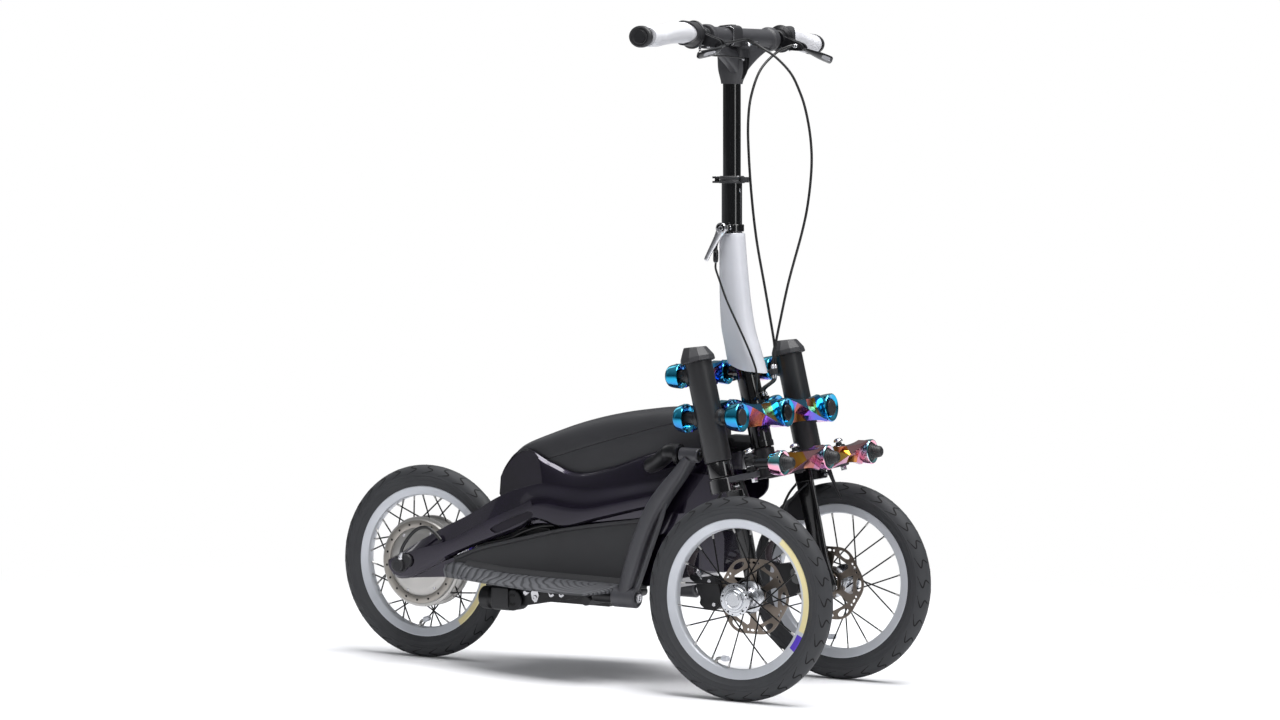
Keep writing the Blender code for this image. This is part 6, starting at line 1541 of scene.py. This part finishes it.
def makeGripPieces(side, out):
    bm = bmesh.new()
    sections = []
    for k in range(47):
        place = 0.138 * k / 46
        deep, tall, shift = gripStation(place)
        soft = 1 - 0.06 * (k in (0, 46)) - 0.02 * (k in (1, 45))
        centre = barPlace + barLine(out * (0.156 + place))
        ring = []
        for step in range(96):
            a = 2 * pi * step / 96
            wave = 1 + 0.006 * sin(12 * a) * sin(pi * min(1, place / 0.138))
            ring.append(centre + vec(shift + soft * wave * deep * (cos(a) + 0.05 * (1 - cos(2 * a))), 0,
                soft * wave * tall * sin(a)))
        sections.append(ring)
    loftSections(bm, sections)
    addPiece(side + "_grip_sleeve", bm, gripSkin, "post", [side + "_grip"], 40)
    bm = bmesh.new()
    sections = []
    for swell, start, reach in ((0.0002, 0, 1), (0.003, 0, 1), (0.004, 0, 0), (0.0026, -0.006, 0)):
        ring = []
        for step in range(96):
            a = 2 * pi * step / 96
            place = start + reach * (0.017 + 0.017 * sin(a) ** 2)
            deep, tall, shift = gripStation(max(place, 0))
            centre = barPlace + barLine(out * (0.156 + place))
            ring.append(centre + vec(shift + (deep + swell) * (cos(a) + 0.05 * (1 - cos(2 * a))), 0,
                (tall + swell) * sin(a)))
        sections.append(ring)
    loftSections(bm, sections, False)
    addPiece(side + "_grip_collar", bm, mouldedBlack, "post", smooth=40)
    cap = bmesh.new()
    place = alongBar(out * 0.2945)
    oval = place @ moved((0.003, 0, 0)) @ Matrix.Diagonal((1.27, 1, 1, 1))
    lathe(cap, mm(0, -0.5, 17.4, -0.5, 18, 0.8, 18, 5, 17.2, 7.2, 15.2, 8.4, 14, 7.6, 12.4, 7.6, 11.2, 8.6,
        8, 9.2, 7.4, 8.2, 6, 8.2, 5.4, 9.2, 0, 9.6), 64, oval)
    addPiece(side + "_grip_end", cap, mouldedBlack, "post")


def makeLever(side, out):
    pivot = barMatrix @ moved((0.045, out * 0.147, -0.014)) @ Matrix.Rotation(radians(19), 4, "Y")
    pivot = pivot @ Matrix.Rotation(-out * radians(9), 4, "X")
    bm = bmesh.new()
    route = flow(mm(0, -3, 7.2, 3, 4, 8, 6.6, 3.4, 12, 22, 5, 4.6, 16.5, 38, 3.4, 6, 17.8, 56, 3.2, 6.6, 17,
        76, 3.4, 6.8, 16.4, 88, 3.6, 6.6, 16.2, 92.5, 2.6, 4.8, by=4), 4)
    sections = []
    for index, (x, y, half, thick) in enumerate(route):
        before, after = route[max(index - 1, 0)], route[min(index + 1, len(route) - 1)]
        way = vec(after[0] - before[0], after[1] - before[1], 0).normalized()
        across = vec(way.y, -way.x, 0)
        ring = []
        for a, b in softened([(-1, -1), (1, -1), (1, 1), (-1, 1)], 2, 0.22):
            at = vec(x, y, 0) + across * half * a
            ring.append(pivot @ vec(at.x, out * at.y, thick * b))
        sections.append(ring)
    loftSections(bm, sections)
    lathe(bm, mm(0, -3, 7.8, -3, 8.4, -2.4, 8.4, 2.4, 7.8, 3, 0, 3), 36, pivot, "Z")
    made = addPiece(side + "_lever_blade", bm, glossBlack, side + "_lever", [side + "_brake_lever"], 35)
    cutter = bmesh.new()
    slot = softened([(out * 0.044, -0.0034), (out * 0.044, 0.0034), (out * 0.081, 0.0038),
        (out * 0.081, -0.0038)], 2, 0.2)
    prism(cutter, slot, 0.0195, 0.04, "X", pivot)
    carve(made, cutter, brightSteel)
    bm = bmesh.new()
    screw(bm, pivot @ facing((0, 0, 0.003), (0, 0, 1)), 0.004, 0.0014, 0.5)
    addPiece(side + "_lever_inlay", bm, brightSteel, side + "_lever")


def makeThumbLever():
    axis = barMatrix @ moved((0, -0.128, 0))
    bm = bmesh.new()
    lathe(bm, mm(11.3, -7.8, 15.5, -7.8, 16.4, -6.8, 16.6, 0, 16.4, 6.8, 15.5, 7.8, 11.3, 7.8), 56, axis)
    paddle = softened(mm(-6, 15, -18, 12.8, -31, 4, -33.5, -3.5, -28, -6.2, -15, 3, -5, 6), 3, 0.2)
    prism(bm, paddle, -0.0072, 0.0072, "Y", axis)
    roundEdges(addPiece("thumb_lever_body", bm, glossBlack, "throttle", ["thumb_throttle"], 35), 0.0009, 2,
        45)
    bm = bmesh.new()
    for y in (-0.0079, 0.0073):
        lathe(bm, [(0.014, y), (0.0153, y), (0.0153, y + 0.0006), (0.014, y + 0.0006)], 56, axis)
    addPiece("thumb_lever_trim", bm, brightSteel, "throttle")


def makeDisplay():
    bm = bmesh.new()
    place = barMatrix @ moved((0, -0.034, 0))
    outline = softened(mm(-18.5, -8, -20.5, 8, -16, 18.5, 12, 21.5, 20.5, 16.5, 21.5, -13, 15, -16.5), 2, 0.2)
    prism(bm, outline, -0.014, 0.014, "Y", place)
    roundEdges(addPiece("display_case", bm, mouldedBlack, "post", ["display"]), 0.0012, 3, 40)
    slope = atan2(0.003, 0.027)
    face = place @ moved((-0.0015, 0, 0.02)) @ Matrix.Rotation(-slope, 4, "Y")
    bm = bmesh.new()
    prism(bm, softened(mm(-11, -12.5, 11, -12.5, 11, 12.5, -11, 12.5), 2, 0.12), -0.001, 0.0006, "Z", face)
    addPiece("display_glass", bm, glossBlack, "post")
    trim = bmesh.new()
    loop = mm(-4, 17, 11, 18.6, 18, 15, 18.8, -11, 14, -13.6)
    tube(trim, [place @ vec(x, -0.0141, z) for x, z in loop], 0.0007, 8)
    tube(trim, [place @ vec(x, 0.0141, z) for x, z in loop], 0.0007, 8)
    addPiece("display_trim", trim, brightSteel, "post")


# White rubber without gloss
gripSkin = plain("white grip rubber", "white_shell", "#bdbec2", "#c9c9cd", 0.5, grainMm=1.6, depthMm=0.003)
makeStemShell()
makeNeck()
makeBar()
for side, out in bothSides:
    makeGripPieces(side, out)
    makeLever(side, out)
makeThumbLever()
makeDisplay()
print("handlebar made")

# Forks: crown and sleeve, one ridged blade inside each wheel, steering arm, caliper and small stays

forkSettings = {"inset": 0.036, "blade": ((0.2015, 1.02, 1), (0.15, 1.04, 1), (0.11, 1, 1), (0.06, 0.92, 1),
    (0.03, 0.95, 1), (0, 1.22, 1), (-0.012, 1.05, 0.95), (-0.017, 0.75, 0.8)), "section": [(-1, -0.5),
    (-0.8, -1), (0.7, -1), (1, -0.3), (1, 0.3), (0.7, 1), (-0.8, 1), (-1, 0.5)],
    "edge": ((0, 1.2), (0.03, 0.95), (0.06, 0.92), (0.11, 1), (0.15, 1.04), (0.2, 1.02))}
# Brownish rubber, softer than the caliper beside it
bootRubber = plain("violet brown rubber", "moulded_black", "#2b2228", "#3b3036", 0.5, grainMm=0.8,
    depthMm=0.02)
# Grey steel with little shine
armGrey = plain("grey cast steel", "black_alloy", "#37373b", "#47474c", 0.42, 0.3, grainMm=0.5, depthMm=0.02)
steerArm = mm(-4, 15, -12, 0, -4, -15, 14, -13.5, 60, -9.2, 70, -5, 71.5, 0, 70, 5, 60, 9.2, 14, 13.5)
pinDome = mm(0, 233.2, 7.8, 233.2, 8.2, 234.2, 7.8, 236.2, 6, 238.4, 3.4, 239.6, 0, 240)


def makeFork(side, out):
    s, leg, body = forkSettings, legMatrix[side], side + "_fork"
    inward = -out * s["inset"]
    bm = bmesh.new()
    shape = softened(s["section"], 2, 0.2)
    loftSections(bm, [[leg @ vec(0.0158 * wide * a, inward + out * 0.0055 * thick * b, z) for a, b in shape]
        for z, wide, thick in flow(s["blade"], 6)])
    lathe(bm, [(0, inward), (0.0125, inward), (0.0125, out * -0.0214), (0.0075, out * -0.0213),
        (0.0075, out * 0.0355), (0, out * 0.036)], 40, moved((frontAxle, out * 0.162, axleHeight)))
    addPiece(side + "_fork_blade", bm, glossBlack, body, [side + "_fork_leg"], 40)
    bm = bmesh.new()
    crown = [(0.023 * cos(a), out * 0.023 * sin(a)) for a in (radians(k) for k in range(-10, 191, 10))]
    crown += [(-0.0148, inward - out * 0.0062), (0.0148, inward - out * 0.0062)]
    prism(bm, crown, 0.178, 0.201, "Z", leg)
    lathe(bm, mm(0, 180, 19, 180, 19, 203, 20.6, 203.6, 20.8, 205, 20.8, 227.6, 20.2, 229.6, 16.4, 229.9,
        16.4, 370, 0, 370), 56, leg, "Z")
    lug = softened(mm(-10, -2, -10, 32, -42, 40, -62, 36, -62, 10), 2, 0.15)
    prism(bm, lug, inward - out * 0.0044, inward + out * 0.0011, "Y", leg)
    roundEdges(addPiece(side + "_fork_crown", bm, glossBlack, body), 0.002, 3, 40)
    bm = bmesh.new()
    prism(bm, softened(steerArm, 2, 0.2), 0.1912, 0.2018, "Z", leg)
    lathe(bm, rod(5.5, 189, 233), 32, leg @ moved((0.06, 0, 0)), "Z")
    roundEdges(addPiece(side + "_steering_arm", bm, armGrey, body), 0.0026, 3, 40)
    bright = bmesh.new()
    # A painted highlight as bright strips along the blade's front edge and up the sleeve; then the pin's
    # dome, its nut and the crown's screw
    for low, high, edge, y in ((0.002, 0.199, 0.0156, inward), (0.2052, 0.2284, 0.0205, 0)):
        loftSections(bright, [[leg @ vec(edge * (lineAt(s["edge"], z) if y else 1) + a, y + b, z)
            for a, b in mm(-0.8, -1.1, 0.3, -0.9, 0.3, 0.9, -0.8, 1.1)] for z in spaced(low, high, 24)])
    lathe(bright, pinDome, 36, leg @ moved((0.06, 0, 0)), "Z")
    lathe(bright, mm(0, 183.8, 5.2, 183.8, 5.6, 184.6, 5.6, 191.2, 0, 191.2), 6, leg @ moved((0.06, 0, 0)),
        "Z")
    lathe(bright, mm(0, 17, 3.4, 17, 3.6, 30, 3.2, 31, 1.6, 31, 1.6, 29, 0, 29), 24,
        leg @ moved((0, 0, 0.1845)), "X")
    addPiece(side + "_fork_brightwork_and_painted_highlight", bright, brightSteel, body)
    stays = bmesh.new()
    plate = softened(mm(-12, 170, -12, 112, -33, 117, -44, 128, -40, 150), 2, 0.15)
    prism(stays, plate, inward - 0.0018, inward + 0.0018, "Y", leg)
    tube(stays, [leg @ Vector(p) for p in ((0.006, inward - out * 0.006, 0.174),
        (-0.02, inward - out * 0.005, 0.16), (-0.048, inward, 0.142))], 0.0015, 10)
    tube(stays, [leg @ Vector(p) for p in ((0.033, -out * 0.004, 0.193), (0.036, -out * 0.004, 0.175),
        (0.045, -out * 0.004, 0.136))], [0.004, 0.0034, 0.0014], 14)
    addPiece(side + "_fork_stays", stays, satinBlack, body)


def makeCaliperPieces(side, out):
    leg, body = legMatrix[side], side + "_fork"
    bm = bmesh.new()
    shape = softened(mm(-56, -4, -68, -10, -86, -6, -97, 6, -92, 16, -96, 28, -96, 40, -82, 50, -58, 46, -53,
        22), 2, 0.2)
    prism(bm, shape, -out * 0.0345, -out * 0.012, "Y", leg)
    arm = softened(mm(-107, 56, -100, 57, -76, 40, -80, 30, -106, 48), 2, 0.2)
    prism(bm, arm, -out * 0.015, -out * 0.024, "Y", leg)
    made = addPiece(side + "_caliper_body", bm, castBlack, body, [side + "_brake_caliper"])
    cutter = bmesh.new()
    wedge = mm(0, -60, -32, -60) + [(0.07 * cos(a), 0.07 * sin(a))
        for a in (radians(k) for k in range(215, 124, -6))]
    prism(cutter, wedge + mm(-32, 60, 0, 60), -out * 0.0226, -out * 0.0264, "Y", leg)
    carve(made, cutter, spokeBlack)
    boot = bmesh.new()
    route = smoothLine([(-0.088, -out * 0.023, 0.096), (-0.096, -out * 0.023, 0.088),
        (-0.102, -out * 0.023, 0.079), (-0.106, -out * 0.0225, 0.068), (-0.1065, -out * 0.022, 0.056)], 9)
    tube(boot, [leg @ point for point in route],
        [0.0044 + 0.0016 * sin(pi * k / (len(route) - 1)) + 0.0009 * (k % 4 in (1, 2))
        for k in range(len(route))], 20)
    addPiece(side + "_cable_boot", boot, bootRubber, body, smooth=50)
    bits = bmesh.new()
    lathe(bits, mm(0, -7, 2.6, -7, 3, -6, 3.6, -5, 3.6, 4, 2.6, 5, 2.6, 9, 0, 9), 20,
        leg @ facing((-0.09, -out * 0.019, 0.056), (0.3, 0, -0.95)), "Z")
    for x, z in mm(-70, 0, -70, 40):
        screw(bits, leg @ facing((x, -out * 0.012 + out * 0.0012, z), (0, out, 0)), 0.0034, 0.002, 0.5)
    lathe(bits, rod(3.6, 0, 2.6), 6, leg @ facing((-0.083, -out * 0.015, 0.0455), (-0.2, 0, 1)), "Z")
    addPiece(side + "_caliper_fittings", bits, brightSteel, body)
    hose = bmesh.new()
    route = smoothLine([(-0.09, -out * 0.023, 0.0935), (-0.082, -out * 0.0235, 0.104),
        (-0.072, -out * 0.024, 0.12), (-0.056, -out * 0.027, 0.145), (-0.038, -out * 0.029, 0.165),
        (-0.02, -out * 0.026, 0.18), (-0.016, -out * 0.025, 0.19)], 8)
    tube(hose, [leg @ point for point in route], 0.0022, 14)
    addPiece(side + "_caliper_hose", hose, cableSkin, body, smooth=50)


def makeYokePieces(name, frame, y, body):
    stack, bright = bmesh.new(), bmesh.new()
    pin = frame @ moved((0.06, 0, 0))
    lathe(stack, mm(5.8, 202.7, 9.2, 202.7, 10.2, 203.8, 10.6, 207, 9.8, 209.8, 9.6, 212, 10.4, 214, 10.6,
        220, 10, 221.6, 10, 223.2, 10.6, 224.4, 9.8, 227.6, 8, 228.4, 5.8, 228.4), 48, pin, "Z")
    lathe(bright, mm(9.4, 210, 10.1, 210.3, 10.1, 211.7, 9.4, 212), 48, pin, "Z")
    line = tieMatrix @ moved((0, y, 0))
    face = 0.1549
    lathe(stack, [(0, 0.084), (0.007, 0.084), (0.008, 0.085), (0.008, 0.11), (0.0064, 0.111),
        (0.006, 0.1112), (0.006, 0.1385), (0.0118, 0.1385), (0.0125, 0.1392), (0.0125, 0.1409),
        (0.0116, 0.142), (0.0118, 0.1434), (0.0108, 0.1446), (0.0106, 0.1462), (0.009, 0.1478),
        (0.0084, 0.15), (0.0066, face - 0.0014), (0.0052, face), (0.0034, face), (0.003, face - 0.0016),
        (0, face - 0.0016)], 48, line, "X")
    addPiece(name + "_joint", stack, castBlack, body, [name])
    addPiece(name + "_joint_ring", bright, brightSteel, body)


for side, out in bothSides:
    makeFork(side, out)
    makeCaliperPieces(side, out)
    makeYokePieces(side + "_yoke", legMatrix[side], out * linkHalf, side + "_swivel")
makeYokePieces("centre_yoke", headMatrix, 0, "centre_swivel")
bm = bmesh.new()
lathe(bm, mm(0, 193, 17.6, 193, 18.8, 194.2, 18.8, 242.6, 17.8, 243.7, 14.9, 243.8, 14.9, 430, 0, 430), 48,
    headMatrix, "Z")
prism(bm, softened(mm(0, 14, 0, -14, 60, -9.2, 70, -4, 70, 4, 60, 9.2), 2, 0.15), 0.1912, 0.2018, "Z",
    headMatrix)
lathe(bm, rod(5.5, 189, 233), 32, headMatrix @ moved((0.06, 0, 0)), "Z")
roundEdges(addPiece("column_shaft", bm, satinBlack, "column", ["steering_shaft"]), 0.0014, 2, 40)
bm = bmesh.new()
lathe(bm, pinDome, 36, headMatrix @ moved((0.06, 0, 0)), "Z")
addPiece("column_pin_dome", bm, brightSteel, "column")
# The hull's nose bracket below each side tube
for side, out in bothSides:
    bm = bmesh.new()
    shape = softened(mm(150, 360, 250, 364, 280, 356, 279, 326, 240, 300, 170, 290, 140, 310), 3, 0.2)
    prism(bm, shape, out * 0.068, out * 0.072, "Y")
    roundEdges(addPiece(side + "_nose_bracket", bm, hullPaint, "frame"), 0.001, 2, 40)
    bm = bmesh.new()
    screw(bm, facing((0.2677, out * 0.0738, 0.3391), (0.1, out, 0)), 0.0056, 0.003, 0.55)
    addPiece(side + "_nose_bolt", bm, brightSteel, "frame")
print("forks made")

# Cables: smooth housings between their stops

stopAlong = (0.4657 - axleHeight) / cos(casterAngle) + 0.0251


def headPlace(along, forward, y):
    return tuple(headMatrix @ vec(forward, y, along))


cableRoutes = {"right_brake_cable": ("post", 0.0022, mm(281, -137.2, 1089.5, 286, -110, 1091, 280, -60, 1096,
    265, -15, 1097.5, 266, 0, 1094.8, 278.7, 10, 1085.1, 302.5, 20, 1068.7, 326.5, 30, 1042.1, 342, 34, 1012,
    353.9, 35, 980.2, 364, 35, 935, 367.5, 35, 887.7, 364, 33, 830, 355.5, 30, 777.6, 332.7, 28, 692.2,
    319.7, 24, 624, 315, 18, 585, 313.5, 12, 556, 313.5, 12, 542, by=3)), "left_brake_cable": ("post",
    0.0022, mm(281, 137.2, 1089.5, 274, 125, 1089, 255, 110, 1076.5, 247, 70, 1046.8, 244, 45, 1003.8, 247,
    30, 961.3, 252, 24, 910.4, 260, 23, 834.2, 271.5, 23, 758.2, 288.4, 23, 682.3, 299, 24, 631.7, 309, 23.5,
    585, 313.5, 20, 556, 313.5, 20, 542, by=3)), "throttle_cable": ("post", 0.0014, mm(238.5, -128, 1083.5,
    238.5, -128, 1075, 245, -105, 1069, 254, -70, 1068, 262, -35, 1066.5, 261.9, -18.5, 1064.5, 255.5, -13.7,
    1064, by=3)), "right_brake_cable_lower": ("column", 0.0022,
    mm(313.5, 12, 531.4, 313.5, 12, 521.4, by=3) + [headPlace(stopAlong + 0.012, 0.0232, -0.002),
    headPlace(stopAlong + 0.0006, 0.0232, -0.002)]), "left_brake_cable_lower": ("column", 0.0022,
    mm(313.5, 20, 531.4, 313.5, 20, 521.4, by=3) + [headPlace(stopAlong + 0.012, 0.019, 0.015),
    headPlace(stopAlong + 0.0006, 0.019, 0.015)]), "lean_lock_cable": ("column", 0.0018, mm(221.6, -29,
    719.2, 221.8, -29, 709.5, 227, -29, 696, 244.4, -29.5, 656.5, 264.5, -30, 620, 285, -29, 581.7, 298.5,
    -25, 547.9, 301, -21.5, 529, by=3) + [headPlace(stopAlong + 0.012, 0.019, -0.0155),
    headPlace(stopAlong + 0.0006, 0.019, -0.0155)]), "motor_lead": ("frame", 0.003, leadPoints)}


def makeCable(name, body, radius, points):
    bm = bmesh.new()
    route = smoothLine(points, 8)
    tube(bm, route, radius, 16)
    slides = name in ("right_brake_cable", "left_brake_cable")
    made = addPiece(name + "_housing", bm, cableSkin, None if slides else body, [name], 60)
    if slides:
        # The lower end stays at its stop on the column while the post slides
        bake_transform(made)


for name, (body, radius, points) in cableRoutes.items():
    makeCable(name, body, radius, points)


ferrules = {"post": bmesh.new(), "column": bmesh.new()}
for name, (body, radius, points) in cableRoutes.items():
    if body in ferrules and name != "lean_lock_cable":
        route = smoothLine(points, 8)
        for tip, inside in ((0, 2), (-1, -3)):
            side = "column" if tip and "brake" in name else body
            lathe(ferrules[side], [(radius + 0.0001, 0), (radius + 0.0008, 0.0004), (radius + 0.001, 0.001),
                (radius + 0.001, 0.0058), (radius + 0.0001, 0.0066)], 20,
                facing(route[tip], route[inside] - route[tip]), "Z")
for body, bm in ferrules.items():
    addPiece(body + "_ferrules", bm, brightSteel, body)
bm = bmesh.new()
prism(bm, softened(mm(308, 7.5, 318, 7.5, 318, 24.5, 308, 24.5), 2, 0.2), 0.5322, 0.5412, "Z")
tube(bm, mm(308, 10, 536.7, 298, 10, 536.7, by=3), 0.0026, 14)
roundEdges(addPiece("clip_block", bm, mouldedBlack, "column", ["cable_clip"]), 0.0008, 2, 40)
print("cables made")

# Camera, floor and light

yaw, elevation, roll = radians(29.61), radians(3.28), radians(1.07)
cameraPlace = vec(3.849, -6.665, 0.985)
back = vec(sin(yaw) * cos(elevation), -cos(yaw) * cos(elevation), sin(elevation))
across = vec(0, 0, 1).cross(back).normalized()
upward = back.cross(across)
across, upward = (cos(roll) * across + sin(roll) * upward, cos(roll) * upward - sin(roll) * across)
cameraData = bpy.data.cameras.new("camera")
cameraData.lens = 125.55
cameraData.sensor_width = 36
cameraData.clip_start = 0.1
camera = bpy.data.objects.new("camera", cameraData)
camera.matrix_world = moved(cameraPlace) @ Matrix((across, upward, back)).transposed().to_4x4()
scene.collection.objects.link(camera)
scene.camera = camera
scene.render.resolution_x = 1280
scene.render.resolution_y = 720
scene.view_settings.view_transform = "Standard"


def areaLight(name, place, aim, size, power, sizeY=None):
    data = bpy.data.lights.new(name, "AREA")
    data.energy = power
    data.size = size
    if sizeY:
        data.shape = "RECTANGLE"
        data.size_y = sizeY
    made = bpy.data.objects.new(name, data)
    made.matrix_world = facing(place, Vector(place) - Vector(aim))
    scene.collection.objects.link(made)


areaLight("top softbox", (0.75, -0.1, 3.3), (0, 0, 0.3), 2.6, 172)
areaLight("key softbox", (0.6, -3.4, 2.3), (0, 0, 0.6), 1.5, 15)
areaLight("left strip", (-3.2, -1.2, 1.3), (0, 0, 0.6), 0.9, 1.2, sizeY=2.2)
areaLight("back strip", (-2.4, 1, 2.2), (0, 0, 0.4), 0.9, 7, sizeY=2)
areaLight("right strip", (3.3, -1, 1.7), (0.2, 0, 0.6), 0.7, 16, sizeY=2.2)

world = bpy.data.worlds.new("studio")
scene.world = world
world.use_nodes = True
tree = world.node_tree
tree.nodes.clear()
path = addNode(tree, "LightPath")
seen = addNode(tree, "Background", {"Color": (1, 1, 1, 1), "Strength": 1})
# Rays from the scooter meet a dim horizon and a brighter sky, as between the boxes of a studio
direction = addNode(tree, "SeparateXYZ", {"Vector": addNode(tree, "TexCoord").outputs["Generated"]})
upness = addNode(tree, "MapRange", {"Value": direction.outputs["Z"], "From Min": -0.05, "From Max": 0.75,
    "To Min": 0.06, "To Max": 0.34})
glow = addNode(tree, "Background", {"Color": (0.93, 0.96, 1, 1), "Strength": upness})
choose = addNode(tree, "MixShader", {"Fac": path})
link(tree, glow, choose.inputs[1])
link(tree, seen, choose.inputs[2])
link(tree, choose, addNode(tree, "OutputWorld").inputs["Surface"])

bm = bmesh.new()
bmesh.ops.create_grid(bm, x_segments=1, y_segments=1, size=40)
floorMesh = bpy.data.meshes.new("floor")
bm.to_mesh(floorMesh)
bm.free()
floor = bpy.data.objects.new("floor", floorMesh)
scene.collection.objects.link(floor)
# Matt white that keeps only the soft shadow below the scooter
floorPaint, tree, shader = newMaterial("studio floor", None, "#f4f4f6", 0.9)
shader.inputs["Specular IOR Level"].default_value = 0
addGrain(tree, shader, 6, 0)
path = addNode(tree, "LightPath")
lift = calc(tree, "MULTIPLY", path, 0.01)
shader.inputs["Emission Color"].default_value = (1, 1, 1, 1)
link(tree, lift, shader.inputs["Emission Strength"])
# Away from the scooter the floor fades into the white backdrop
spot = addNode(tree, "TexCoord")
away = addNode(tree, "VectorMath", {0: spot.outputs["Object"]}, operation="LENGTH")
fade = addNode(tree, "MapRange", {"Value": away.outputs["Value"], "From Min": 0.95, "From Max": 1.9},
    interpolation_type="SMOOTHSTEP")
share = calc(tree, "MULTIPLY", fade, path)
white = addNode(tree, "Emission", {"Color": (1, 1, 1, 1), "Strength": 1})
blend = addNode(tree, "MixShader", {"Fac": share})
link(tree, shader.outputs["BSDF"], blend.inputs[1])
link(tree, white, blend.inputs[2])
link(tree, blend, tree.nodes["Material Output"].inputs["Surface"])
floorMesh.materials.append(floorPaint)
